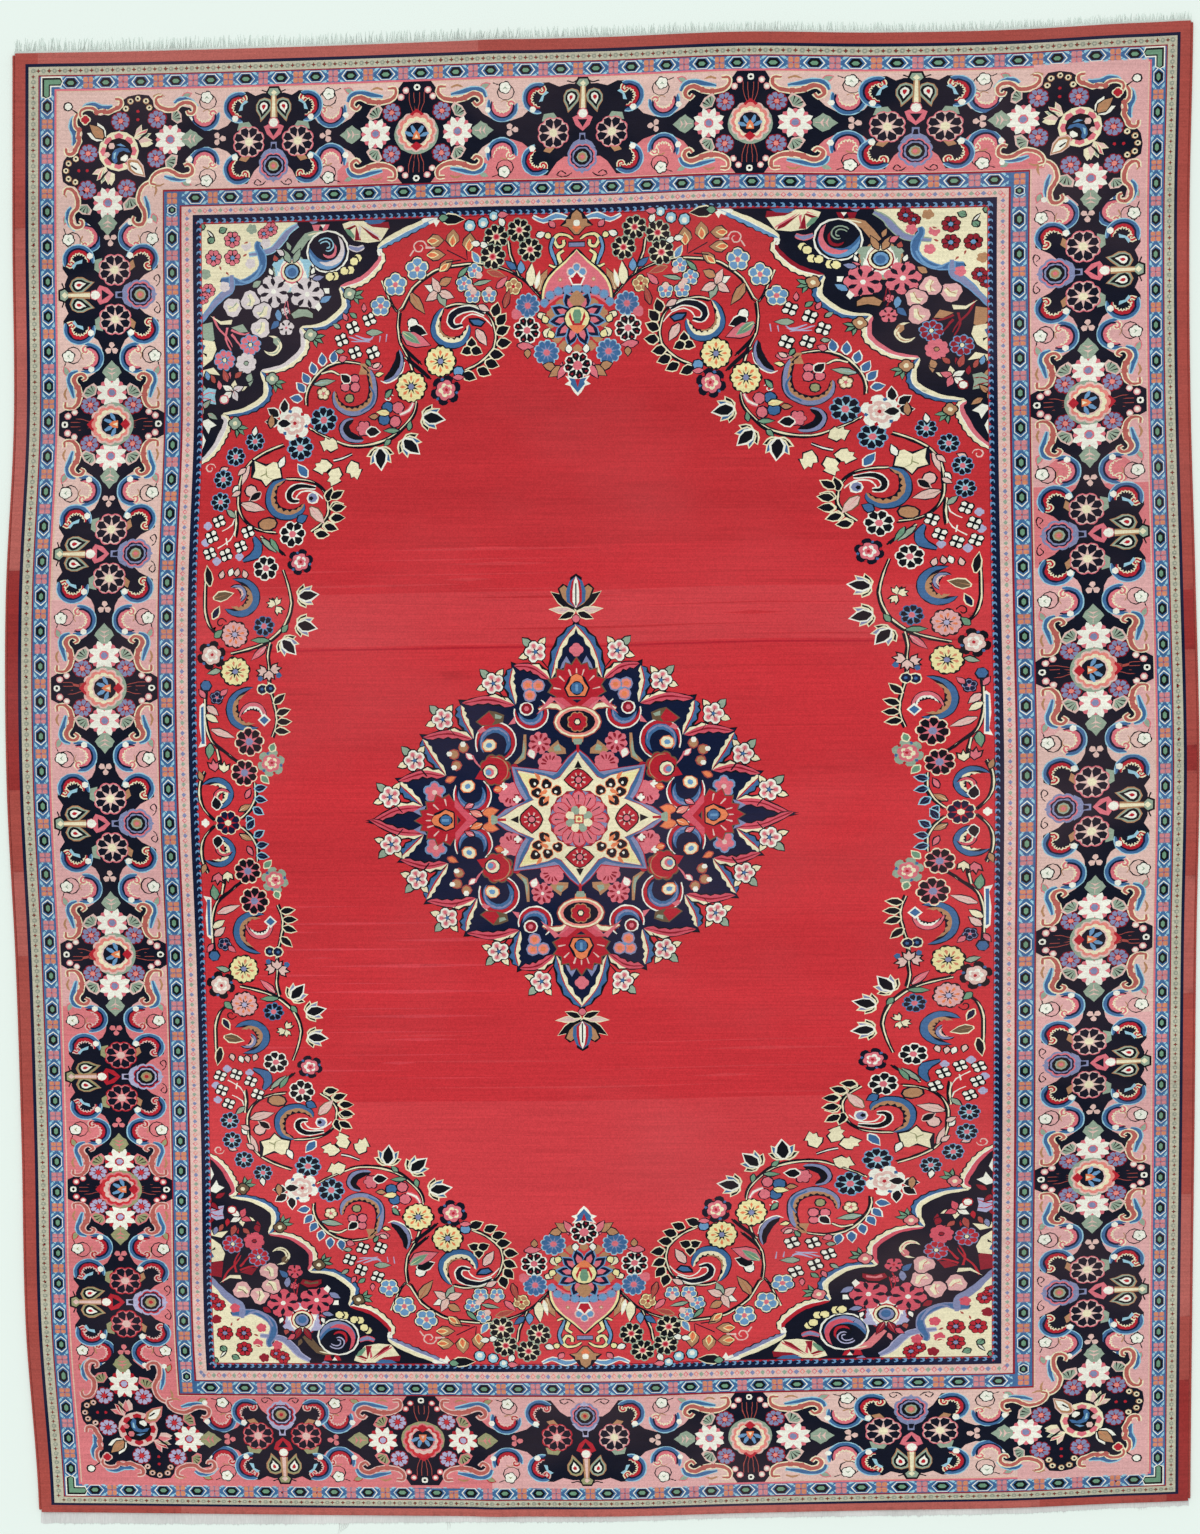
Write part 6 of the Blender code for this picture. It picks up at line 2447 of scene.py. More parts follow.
# %% The rosette in the middle
def middle_rosette():
    """The round flower on which the star is centred."""
    lay(paper, "wine", petalled(30.4, 16, 0.06, 1.0, 0, 2))
    for i in range(12):
        arm = moved(paper, 0, 0, TAU * i / 12)
        lay(
            moved(paper, 0, 0, TAU * (i + 0.5) / 12), "violet" if i % 3 else "blue",
            [(18, -2.4), (28, -2.8), (28, 2.8), (18, 2.4)]
        )
        lay(arm, "madder", [(10, -4.4), (20, -7.4), (26, -5.6), (29.6, 0), (26, 5.6), (20, 7.4), (10, 4.4)])
        lay(arm, "rose", [(10, -3.2), (20, -6.2), (25.4, -4.8), (28.2, 0), (25.4, 4.8), (20, 6.2), (10, 3.2)])
        lay(arm, "black", [(15, -0.3), (24, -0.7), (24, 0.7), (15, 0.3)])
    lay(paper, "madder", petalled(14.8, 8, 0.14))
    for i in range(8):
        lay(
            moved(paper, 0, 0, TAU * (i + 0.5) / 8), "cream" if i % 2 else "sage",
            [(4, -1), (8, -4.2), (12.6, -3.4), (13.8, 0), (12.6, 3.4), (8, 4.2), (4, 1)]
        )
    lay(paper, "madder", [(-4.6, -4.6), (4.6, -4.6), (4.6, 4.6), (-4.6, 4.6)])
    lay(paper, "lemon", [(-3.4, -3.4), (3.4, -3.4), (3.4, 3.4), (-3.4, 3.4)])
    lay(paper, "red", [
        (-2, -0.8), (-0.8, -0.8), (-0.8, -2), (0.8, -2), (0.8, -0.8), (2, -0.8), (2, 0.8), (0.8, 0.8), (0.8, 2),
        (-0.8, 2), (-0.8, 0.8), (-2, 0.8)
    ])


middle_rosette()
told("middle rosette")

# %% [markdown]
# ## The finials
#
# A tulip stands on the top and on the bottom point of the medallion. It is the last thing drawn there, so that
# its leaves lie over the tip.

# %% The finials
def finial(q):
    """The tulip that stands on the medallion's top and bottom points."""
    for side in (-1, 1):
        half = lambda a, b, side=side: q(side * a, b)
        leaf(half, 0, 208, 0.62, 30, 10, "cream", "black", "wine")
        leaf(half, 2, 206, 0.1, 24, 6, "cream", "blush", "violet")
        leaf(half, 2, 205, -0.4, 16, 6, "cream", "black")
    lay(moved(q, 0, 199), "black", oval(4.6, 8))
    lay(moved(q, 0, 199), "rose", oval(3.8, 8))
    lay(q, "black", [
        (0, 208), (-8, 212), (-15, 220), (-18, 229), (-13, 234), (-6, 230), (-6, 240), (0, 244), (6, 240),
        (6, 230), (13, 234), (18, 229), (15, 220), (8, 212)
    ])
    lay(q, "camel", [
        (0, 209), (-7, 213), (-13, 220), (-16, 229), (-12, 232), (-5, 226), (5, 226), (12, 232), (16, 229),
        (13, 220), (7, 213)
    ])
    for a, dye, wide in ((0, "blue", 9.0), (0, "madder", 5.6), (0, "white", 3.0)):
        lay(q, dye, [
            (0, 209), (-wide, 216), (-wide - 0.5, 226), (-wide * 0.7, 236), (0, 241), (wide * 0.7, 236),
            (wide + 0.5, 226), (wide, 216)
        ])
    lay(q, "black", [(-0.8, 212), (-0.8, 234), (0.8, 234), (0.8, 212)])


for end in (1, -1):
    finial(lambda a, b: (a, end * b))
told("finials")

# %% [markdown]
# ## Moons, sprays and tulips
#
# Along the sides of the field the wreath changes its plants. Long crescents called moons here, sprays of black
# leaves in white thread, oak leaves and small tulips take the place of the scrolls. Each gets a helper, since
# each comes back several times.

# %% Moons, sprays and tulips
def moon(where, x, y, radius, start, sweep, thick, outer="blue", inner="camel", curl=0.8):
    """A long crescent leaf of the wreath: a dye outside, a toothed one inside, and black thread round both."""
    here = moved(where, x, y)
    horn(here, 0, 0, radius + 1.0, start, sweep, thick + 2.4, "night", curl)
    horn(here, 0, 0, radius, start, sweep, 0.62 * thick, outer, curl)
    horn(here, 0, 0, radius - 0.6 * thick, start + 0.08 * sweep, 0.9 * sweep, 0.5 * thick, inner, curl, 0.45)


def spray(where, x, y, turn, size=1.0, side="blue"):
    """A black leaf in white thread between two blue ones, as they stand along the inner edge of the wreath."""
    here = moved(where, x, y, turn, size)
    for bend, length, dye in ((1.15, 9, "black"), (-1.15, 9, "black"), (0.62, 11, side), (-0.62, 11, side)):
        leaf(moved(here, 0, 0, bend), 0, 0, 0, length, 4.4, "cream", dye)
    leaf(here, 0, 0, 0, 13.5, 7.0, "white", "black")


def oak_leaf(where, x, y, turn, length, dye="cream"):
    """A cream leaf with a few teeth."""
    here = moved(where, x, y, turn, length / 16)
    edge = [
        (0, 0), (4, 5), (8, 4.2), (9, 6.4), (12, 4), (16, 1), (13, -1), (13.4, -3.6), (9.6, -3.4), (8, -6),
        (4, -4.6)
    ]
    lay(here, "night", [(a * 1.12 - 1, b * 1.2) for a, b in edge])
    lay(here, dye, edge)


def tulip(where, x, y, turn, size, dye="blush"):
    """A tulip seen from the side, with two pointed petals."""
    here = moved(where, x, y, turn, size)
    lay(here, "black", [(-1, 0), (3, 5.6), (10, 6.4), (8, 2.4), (12.4, 0), (8, -2.4), (10, -6.4), (3, -5.6)])
    lay(here, dye, [(0, 0), (3.4, 4.2), (8, 4.8), (6.4, 1.8), (10.4, 0), (6.4, -1.8), (8, -4.8), (3.4, -4.2)])


# %% [markdown]
# ## The garland
#
# Between the spandrel's vines and the sides a short garland bridges the curve of the field. It is one vine with
# sprays, oak leaves and berries on it.

# %% The garland
def garland(q):
    """The white-edged leaves along the inner edge of the wreath and what stands beside them."""
    vine = [
        (-162, 418), (-164, 407), (-172.5, 395.5), (-185, 384.5), (-199, 378), (-215, 375), (-231, 376),
        (-245, 381.5), (-260, 388.5), (-268.5, 394)
    ]
    line(q, "cream", vine, 1.0, 1.6, 1.0, rim="night", steps=3)
    line(q, "black", [(a + 1.6, b - 1.9) for a, b in vine], 1.4, 2.0, 1.4, steps=3)
    for x, y, t in [(-154, 402, -0.15), (-173.5, 379.5, -0.75), (-197.5, 371, -1.5)]:
        spray(q, x, y, t, 1.5)
    for x, y, t in [(-240, 373, 2.7), (-245, 356.5, 3.3), (-238.5, 353.5, -2.0), (-226, 360, -1.3)]:
        oak_leaf(q, x, y, t, 19.5)
    line(q, "white", [(-244, 361), (-235.5, 362.5), (-225.5, 367)], 1.4, 1.0, rim="night", steps=2)
    crescent(q, [
        (-224.5, 402), (-232, 399), (-235, 392.5), (-231, 384.5), (-222, 381), (-214, 381)
    ], -3.6, 5.6, "violet", "black")
    lay(moved(q, -214, 392), "night", petalled(8.6, 6, 0.2))
    lay(moved(q, -214, 392), "rose", petalled(7.4, 6, 0.24))
    leaf(q, -211, 389, -0.05, 13, 9, "white", "black")
    for x, y, dye in [(-190.5, 412.5, "blue"), (-180, 412, "rose"), (-183, 398, "rose"), (-194, 400.5, "blue")]:
        dot(q, x, y, 5.6, "night", dye)
    leaf(q, -189, 406.5, 3.0, 13, 6, "night", "lemon", "orange")
    leaf(q, -200.5, 403.5, 3.1, 9, 5, "night", "camel")
    for x, y, t, l in [
        (-179.5, 389, 3.1, 15), (-169, 389.5, 1.4, 9), (-187.5, 380, -2.4, 8), (-192.5, 422.5, 0.9, 10)
    ]:
        leaf(q, x, y, t, l, 4.6, "night", "green", "sage")
    line(q, "white", [(-178.5, 405), (-169, 409), (-165, 416.5)], 1.4, 2.2, 1.2, rim="rose", steps=2)
    for x, y, t in [
        (-245, 323.5, 0.5), (-244, 313, 0.1), (-244.5, 303.5, 0.0), (-250.5, 296, -0.3), (-259.5, 288, -0.1)
    ]:
        leaf(q, x, y, t, 13.5, 7.4, "cream", "black")


quarters(garland)
told("garland")

# %% [markdown]
# ## The sides of the wreath
#
# The side of the wreath runs down to the middle of the rug, where it meets its own mirror. Seven vines carry
# it. The moons are laid right after the vines, since the leaves and flowers overlap them.

# %% Vines and moons of the sides
def side_vines(q):
    """The vines along the side of the field and the large moons on them."""
    stems = [
        [
            (-291, 252.5), (-286, 238.5), (-282.5, 223), (-283.5, 211), (-288.5, 198), (-298, 187),
            (-311.5, 178.5), (-326, 173.5), (-342, 169.5)
        ],
        [(-367, 248.5), (-368, 229.5), (-367.5, 212), (-363, 197.5), (-353.5, 187)],
        [
            (-303, 180), (-305.5, 166.5), (-304, 152.5), (-304.5, 139), (-301, 125), (-298, 111), (-297.5, 99),
            (-302, 85.5)
        ],
        [(-367, 136), (-368, 117), (-367.5, 100), (-362, 82.5), (-350, 72), (-339, 63), (-330, 58)],
        [(-320, 40.5), (-320, 25), (-326, 13), (-335, 4.5)],
        [(-369.5, 52), (-374.5, 39.5), (-375, 25.5), (-370.5, 13.5), (-360.5, 2.5)],
        [(-357, 74), (-354.5, 63.5), (-354, 56.5)],
    ]
    for points in stems:
        line(q, "cream", points, 1.0, 1.5, 1.0, rim="night", steps=3)
        line(q, "black", [(a + 1.9, b - 1.5) for a, b in points], 1.4, 2.0, 1.4, steps=3)
    moon(q, -333, 224.5, 20.5, 1.95, -4.5, 12.0, "blue", "camel", 0.86)
    moon(q, -335.5, 229, 9.6, 2.4, -3.6, 5.0, "violet", "blush", 0.8)
    leaf(q, -358.5, 225, 0.25, 19, 9, "cream", "olive", "camel")
    moon(q, -325, 112, 23.5, 1.35, 3.9, 10.5, "blue", "camel", 0.82)
    moon(q, -319.5, 107, 14.5, 3.3, -3.6, 6.5, "rose", "white", 0.8)
    lay(moved(q, -309.5, 102.5), "white", oval(6.4, 4))
    lay(moved(q, -309.5, 102.5), "blue", oval(4.4, 4))
    moon(q, -357, 28.5, 17.6, 2.6, -4.4, 9.5, "blue", "cream", 0.8)
    moon(q, -353, 26, 9.0, 0.4, 3.8, 4.6, "carmine", "cream", 0.8)
    leaf(q, -357.5, 14, 1.75, 12, 9, "white", "black")


quarters(side_vines)
told("side vines")

# %% [markdown]
# ## Sprays and leaves of the sides
#
# Sprays point into the open field like small flags. They mark the edge of the wreath, so their places matter
# more than their shape.

# %% Sprays and leaves of the sides
def side_leaves(q):
    """The sprays on the inner edge and the leaves of the upper half of the side."""
    for x, y, t in [(-274, 225.5, 0.1), (-275, 198, -0.25), (-290, 182, -0.85)]:
        spray(q, x, y, t, 1.35, "violet")
    for x, y, t in [(-299, 119, 0.75), (-297, 108.5, 0.3), (-296.5, 100.5, 0.0), (-298.5, 92, -0.1)]:
        leaf(q, x, y, t, 14, 6.6, "cream", "black")
    for x, y, t in [(-319.5, 33.5, 0.2), (-319.5, 24, -0.15), (-321.5, 14.5, -0.6), (-328, 6, -1.0)]:
        leaf(q, x, y, t, 11, 6.4, "pale", "navy", "blue")
    for x, y, t, dye in [
        (-352.5, 245, 1.3, "blush"), (-344, 247.5, 1.2, "white"), (-337, 247, 1.4, "blush"),
        (-327.5, 245.5, 1.9, "blush")
    ]:
        leaf(q, x, y, t, 8, 5, "black", dye)
    leaf(q, -363, 238, 1.75, 20, 7, "cream", "black")
    for x, y, t in [(-297, 217, 1.5), (-298, 218, 2.9), (-297, 215.5, -0.9)]:
        tulip(q, x, y, t, 0.8, "cream")
    daisy(q, -309, 196.5, 10.7, "blue", "night", "rose", 8, 0.2, "sky")
    leaf(q, -359.5, 205, 1.1, 13, 6, "cream", "navy")
    spiral(q, -351.5, 200, 5.5, 0.2, 0.9, 1.5, "black")
    rayed(q, -338, 188.5, 13.4, 8, 0.2, "shell", "orange", "lilac")
    rayed(q, -337.5, 151.5, 14.4, 8, 0.2, "lemon", "tan", "violet")
    rose(q, -361, 168, 14.8, "black", "blush", "white")
    leaf(q, -357.5, 186, 0.8, 10, 6, "black", "green")
    leaf(q, -304, 182, 3.1, 18, 5, "black", "green")
    leaf(q, -352.5, 153, 3.4, 13, 5, "black", "sage")
    leaf(q, -307, 176, -2.4, 20, 6, "black", "rose", "blush")
    leaf(q, -291, 190.5, 0.9, 9, 5, "black", "green")


quarters(side_leaves)
told("side leaves")

# %% [markdown]
# ## Tulips and roses of the sides
#
# The last plants stand round the middle of the side: a pair of black daisies, a rose, tulips and a white bar
# that meets its mirror on the axis.

# %% Tulips and roses of the sides
def side_flowers(q):
    """The tulips, buds, daisies and the rose of the lower half of the side."""
    for x, y, t in [(-306, 150, 2.9), (-303, 152.5, 0.2), (-304.5, 152, -1.55)]:
        tulip(q, x, y, t, 1.0, "blush")
    for x, y in [(-313, 144), (-294.5, 147)]:
        lay(moved(q, x, y), "blue", oval(3.0, 5))
    for x, y in [(-311, 133.5), (-303, 134)]:
        dot(q, x, y, 4.6, "cream", "navy")
        lay(moved(q, x, y), "blue", oval(1.8, 5))
    lay(moved(q, -366.5, 137), "night", oval(6.6, 7))
    lay(moved(q, -366.5, 138), "blue", oval(5.2, 6))
    leaf(q, -367.5, 125.5, 2.2, 10, 5, "night", "rose")
    lay(q, "white", [
        (-373, 117), (-370, 120.5), (-368, 119), (-368, 98), (-367, 77.5), (-375, 75.5), (-372, 82.5),
        (-373.5, 98)
    ])
    lay(q, "blue", [(-371.5, 115.5), (-369, 117), (-369, 98), (-368.5, 79), (-371.5, 79), (-372, 98)])
    five(q, -356, 125.5, 6.4, 0.2, "navy", "violet", "rose")
    leaf(q, -352, 128, 0.7, 9, 5, "night", "rose")
    for x, y, t, dye in [
        (-365.5, 117, -0.7, "blush"), (-366.5, 108.5, -0.6, "cream"), (-361.5, 93.5, -0.35, "blush")
    ]:
        leaf(q, x, y, t, 24 if dye == "blush" and t > -0.5 else 14, 6.6, "night", dye, "rose")
    daisy(q, -324.5, 81, 15.0, "cream", "black", "violet", 8, 0.1, "rose")
    daisy(q, -330, 50, 14.0, "cream", "black", "violet", 8, 0.3, "rose")
    rose(q, -303.5, 59.5, 14.0, "sage", "rose", "cream")
    leaf(q, -303, 71.5, 1.2, 8, 6, "cream", "green")
    leaf(q, -313, 46.5, -0.8, 10, 6, "cream", "green")
    leaf(q, -363, 79, -1.7, 15, 8, "night", "green", "sage")
    tulip(q, -359, 52, 1.7, 1.1, "rose")
    tulip(q, -350.5, 50.5, 1.5, 1.0, "cream")
    leaf(q, -372, 43, 1.9, 10, 5, "night", "camel")
    leaf(q, -329, 25, 1.1, 10, 5, "night", "rose")
    leaf(q, -336, 12, 0.5, 13, 5.5, "night", "camel", "cream")
    daisy(q, -347.5, 0, 13.0, "cream", "navy", "cream", 8, 0.39, "madder")
    lay(moved(q, -370, 0.5), "white", petalled(4.0, 4, 0.3))


quarters(side_flowers)
told("sides of the wreath")
print("the cartoon has", sum(len(points) for _, points in DRAWING), "corner points in all")

# %% [markdown]
# ## From the drawing to the rug
#
# The weaver never meets the cartoon exactly: every run of knots comes out a little longer or shorter, so the
# bands of a real rug drift. Two small tables say how far each part of the drawing ends up from the middle on
# either side, and a straight reading between their rows moves every point.

# %% The drift of the weaving
STEP = 0.0022
# drawing, left, right
ACROSS = [
    (0, -24.5, -24.5), (190, -214.5, 167.5), (376.5, -401, 388), (384.5, -409, 396.5), (395.5, -420, 408),
    (415.5, -440, 430.5), (519, -543.5, 545), (566.5, -591, 591),
]
# drawing, near, far
ALONG = [
    (0, -41.5, -41.5), (190, -225, 148.5), (600.5, -582.5, 559), (609.5, -590, 568), (617.5, -599, 576),
    (634.5, -614.5, 593.5), (735, -702, 693.5), (752, -718, 711), (763, -726, 722), (775.5, -734.1, 734.1),
]
RIM_ACROSS, EDGE_ALONG = 566.5, 775.5
EDGE_ACROSS = RIM_ACROSS - BODY_INSET / STEP * 0.99


def drifted(table, place):
    """Where a distance on the drawing lies on the straight rug."""
    places, minus, plus = np.array(table, float).T
    return np.where(place < 0, np.interp(-place, places, minus), np.interp(place, places, plus))


def on_floor(drawn):
    """Drawing to floor, in metres: x, y and the height of the crease."""
    straight_x, straight_y = drifted(ACROSS, drawn[:, 0]) * STEP, drifted(ALONG, drawn[:, 1]) * STEP
    x, y = plan_place(straight_x / (RUG_WIDTH / 2), straight_y / (RUG_LENGTH / 2))
    lift = crease_lift(x, y)
    return x + SHIFT_X, y + SHIFT_Y, lift


print("the drawing's middle lies at", [round(float(v[0]), 4) for v in on_floor(np.zeros((1, 2)))], "m")

# %% [markdown]
# ## Cutting the shapes into one surface
#
# Thousands of flat shapes lie over each other on the drawing. Stacking them as thin sheets would flicker and
# would stand up from the pile. Blender has a call that fills flat outlines with triangles and keeps their
# edges. It does what the weaver does: it divides the plane into cells that each belong to one uppermost shape.
# The result is one smooth surface whose faces only differ in dye.

# %% Half knots
HALF_KNOT = 0.65


def area_of(points):
    """The area inside an outline, positive where it runs anticlockwise."""
    return sum(ax * by - bx * ay for (ax, ay), (bx, by) in zip(points, points[1:] + points[:1])) / 2


def on_half_knots(shapes):
    """Every corner of every shape on the nearest half knot, and every outline anticlockwise."""
    tidy = []
    for dye, points in shapes:
        points = [(round(x / HALF_KNOT) * HALF_KNOT, round(y / HALF_KNOT) * HALF_KNOT) for x, y in points]
        points = [a for a, b in zip(points, points[-1:] + points[:-1]) if a != b]
        area = area_of(points) if len(points) > 2 else 0
        if area:
            tidy.append((dye, points if area > 0 else points[::-1]))
    return tidy


def boxes_of(shapes):
    """The lowest and highest corner of each shape."""
    return np.array([(*np.min(points, axis=0), *np.max(points, axis=0)) for _, points in shapes])


SHAPES = on_half_knots(DRAWING)
BOXES = boxes_of(SHAPES)
print(len(SHAPES), "shapes with", sum(len(points) for _, points in SHAPES), "corners")

# %% [markdown]
# ## The uppermost dye
#
# Where shapes overlap, a triangle belongs to several of them, and the last one laid is the one that shows. The
# call sometimes names a shape that only touches the triangle, so the shape's own box is asked as well.

# %% Cells

def runs_round(outline, x, y):
    """Whether an outline runs round a place."""
    inside = False
    for (ax, ay), (bx, by) in zip(outline, outline[1:] + outline[:1]):
        if (ay > y) != (by > y) and x < ax + (bx - ax) * (y - ay) / (by - ay):
            inside = not inside
    return inside


def cells(shapes, boxes, low, high, extra):
    """The surface between two corners of the drawing: its points, its triangles and the dye of each."""
    (left, near), (right, far) = low, high
    meets = (boxes[:, 2] > left) & (boxes[:, 0] < right) & (boxes[:, 3] > near) & (boxes[:, 1] < far)
    chosen = np.flatnonzero(meets).tolist()
    outlines = [[(left, near), (right, near), (right, far), (left, far)], *(shapes[i][1] for i in chosen)]
    seen = {}
    faces = [[seen.setdefault(place, len(seen)) for place in outline] for outline in outlines]
    for place in extra:
        seen.setdefault(place, len(seen))
    points, _, triangles, _, _, owners = delaunay_2d_cdt(list(seen), [], faces, 1, 1e-5)
    points, triangles = np.array([tuple(p) for p in points]), np.array(triangles)
    middle = points[triangles].mean(1)
    inside = (middle[:, 0] > left) & (middle[:, 0] < right) & (middle[:, 1] > near) & (middle[:, 1] < far)
    spans, dyes = boxes[chosen].tolist(), []
    for keep, (x, y), owned in zip(inside.tolist(), middle.tolist(), owners):
        if keep:
            for owner in sorted(owned, reverse=True):
                ax, ay, bx, by = spans[owner - 1]
                if owner and ax <= x <= bx and ay <= y <= by:
                    break
            else:
                later_first = range(len(chosen), 0, -1)
                owner = next((i for i in later_first if runs_round(shapes[chosen[i - 1]][1], x, y)), 1)
            dyes.append(shapes[chosen[owner - 1]][0])
    return points, triangles[inside], dyes


_, test_triangles, _ = cells(SHAPES, BOXES, (0.0, 0.0), (20.0, 20.0), [])
print("a piece of 20 by 20 in the medallion is cut into", len(test_triangles), "triangles")


# %% [markdown]
# ## Wool that lives
#
# A dye lot never takes evenly, so hand-spun wool changes tone in bands across the rug, which weavers call
# abrash. Inside a band every knot differs a little from the next. One material does all of this: it reads the
# dye that each face carries, then changes it by place. The bump is only as deep as the ends of the tufts.


# %% A material and its nodes
def nodes_of(name, roughness, sheen=0.0):
    """A new material: its node tree and its shader, which has everything constant already set."""
    material = bpy.data.materials.new(name)
    material.use_nodes = True
    tree = material.node_tree
    shader = tree.nodes["Principled BSDF"]
    shader.inputs["Roughness"].default_value = roughness
    shader.inputs["Specular IOR Level"].default_value = 0.06
    shader.inputs["Sheen Weight"].default_value = sheen
    shader.inputs["Sheen Roughness"].default_value = 0.6
    return material, tree, shader


def add(tree, kind, inputs=(), **settings):
    """A node with its settings and, by socket number or name, its links or values."""
    node = tree.nodes.new(kind)
    for key, value in settings.items():
        setattr(node, key, value)
    for key, value in dict(inputs).items():
        if isinstance(value, bpy.types.NodeSocket):
            tree.links.new(value, node.inputs[key])
        else:
            node.inputs[key].default_value = value
    return node


# %% [markdown]
# ## Unevenness
#
# Everything uneven on the rug is one of two things: a tone that drifts, which Blender's noise gives, or a value
# that jumps from knot to knot, which white noise gives when its place is rounded down to whole knots. Both
# are brought to the range that the wool needs.

# %% Uneven numbers
NOISE_SPAN, JUMP_SPAN = (0.3, 0.7), (0.0, 1.0)


def uneven(tree, scale, low, high, detail=2.0, kind="noise"):
    """A number that changes with the place on the rug, between low and high. scale is for each direction."""
    place = add(tree, "ShaderNodeTexCoord").outputs["Object"]
    place = add(tree, "ShaderNodeVectorMath", {0: place, 1: scale}, operation="MULTIPLY").outputs[0]
    if kind == "knots":
        place = add(tree, "ShaderNodeVectorMath", {0: place}, operation="FLOOR").outputs[0]
        source = add(tree, "ShaderNodeTexWhiteNoise", {"Vector": place}).outputs["Value"]
        span = JUMP_SPAN
    else:
        source = add(
            tree, "ShaderNodeTexNoise", {"Vector": place, "Scale": 1.0, "Detail": detail}
        ).outputs["Fac"]
        span = NOISE_SPAN
    return add(tree, "ShaderNodeMapRange", {0: source, 1: span[0], 2: span[1], 3: low, 4: high}).outputs[0]


def product(tree, *values):
    """Several uneven numbers multiplied."""
    result = values[0]
    for value in values[1:]:
        result = add(tree, "ShaderNodeMath", {0: result, 1: value}, operation="MULTIPLY").outputs[0]
    return result


# %% Dyed wool
KNOTS_PER_METRE = 350.0
ABRASH_ACROSS, ABRASH_ALONG, ROWS_ALONG = 0.35, 7.0, 260.0
TRODDEN_DUST = (0.72, 0.42, 0.42, 1)
TUFT_HEIGHT, TWIST_HEIGHT = 0.0012, 0.0006
print(
    "a knot is", round(1000 / KNOTS_PER_METRE, 1), "mm wide, and abrash repeats some", ABRASH_ALONG,
    "times a metre"
)


def wool(name):
    """Dyed wool, which takes the dye that each face carries."""
    material, tree, shader = nodes_of(name, 0.88, 0.03)
    dye = add(tree, "ShaderNodeAttribute", attribute_name="dye").outputs["Color"]
    bands = uneven(tree, (ABRASH_ACROSS, ABRASH_ALONG, 1.0), 0.92, 1.08)
    rows = uneven(tree, (5.0, ROWS_ALONG, 1.0), 0.90, 1.10, 3.0)
    knots = uneven(tree, (KNOTS_PER_METRE, KNOTS_PER_METRE, 1.0), 0.90, 1.08, kind="knots")
    light = product(tree, bands, rows, knots)
    shaded = add(tree, "ShaderNodeVectorMath", {0: dye, 1: light}, operation="MULTIPLY").outputs[0]
    worn = uneven(tree, (1.6, 2.4, 1.0), -0.03, 0.045, 4.0)
    dusty = add(
        tree, "ShaderNodeMix", {0: worn, 6: shaded, 7: TRODDEN_DUST}, data_type="RGBA"
    ).outputs[2]
    tree.links.new(dusty, shader.inputs["Base Color"])
    rough = uneven(tree, (30.0, 60.0, 1.0), 0.80, 0.97)
    tree.links.new(rough, shader.inputs["Roughness"])
    tufts = uneven(tree, (420.0, 520.0, 300.0), 0.0, 1.0, 3.0)
    bump = add(tree, "ShaderNodeBump", {"Strength": 0.55, "Distance": TUFT_HEIGHT, "Height": tufts})
    tree.links.new(bump.outputs[0], shader.inputs["Normal"])
    return material


# %% [markdown]
# ## The cotton and the shelf of materials
#
# The warps are undyed cotton. It has no dye to read, so its one tone is given, and its unevenness runs along the
# threads. The five materials are made once and shared by the pieces.

# %% Cotton
def cotton(name, tone):
    """Undyed cotton, a little grey from the floor; the warp's given tone is darker still, as painted shade among
    the fringe's strands.
    """
    material, tree, shader = nodes_of(name, 0.9, 0.03)
    light = product(
        tree, uneven(tree, (9.0, 9.0, 1.0), 0.86, 1.04), uneven(tree, (500.0, 60.0, 100.0), 0.9, 1.06)
    )
    shaded = add(tree, "ShaderNodeVectorMath", {0: (*tone,), 1: light}, operation="MULTIPLY").outputs[0]
    tree.links.new(shaded, shader.inputs["Base Color"])
    rough = uneven(tree, (80.0, 80.0, 80.0), 0.82, 0.98)
    tree.links.new(rough, shader.inputs["Roughness"])
    twist = uneven(tree, (900.0, 260.0, 600.0), 0.0, 1.0, 2.0)
    bump = add(tree, "ShaderNodeBump", {"Strength": 0.4, "Distance": TWIST_HEIGHT, "Height": twist})
    tree.links.new(bump.outputs[0], shader.inputs["Normal"])
    return material


# %% The shelf of materials
SCREEN_FULL, SCREEN_DARK, DARK_SLOPE, OFFSET, SCREEN_POWER = 255, 11, 12.92, 0.055, 2.4


def linear(dye):
    """The dye as light: the colours of the palette are written as a screen shows them."""
    shown = [(c, c / SCREEN_FULL) for c in DYES[dye]]
    return tuple(
        (v / DARK_SLOPE) if c < SCREEN_DARK else ((v + OFFSET) / (1 + OFFSET)) ** SCREEN_POWER for c, v in shown
    )


PILE_WOOL = wool("pile_wool")
BACK_WOOL = wool("back_wool")
SELVEDGE_WOOL = wool("selvedge_wool")
# The fringe's cotton tone is darker than clean cotton: painted shade among the strands, besides grey from the
# floor.
SHADED_WARP_COTTON = cotton("warp_cotton", (0.66, 0.75, 0.70))
WEB_COTTON = cotton("web_cotton", (0.70, 0.72, 0.70))
print(
    "materials on the shelf:", len(bpy.data.materials), "and red wool as light is", np.round(linear("red"), 3)
)

# %% [markdown]
# ## The pile
#
# The pile is one surface 11 mm above the floor, rounded over along the rug's rim and turned down to the floor.
# It is kept as six long strips, so that no single mesh is heavy. Each strip has a plain map of its own that
# folds it in three, because a nearly square map wastes no room when the dyes are baked to a picture.

# %% Building a mesh
SHOWN = bpy.context.scene.collection


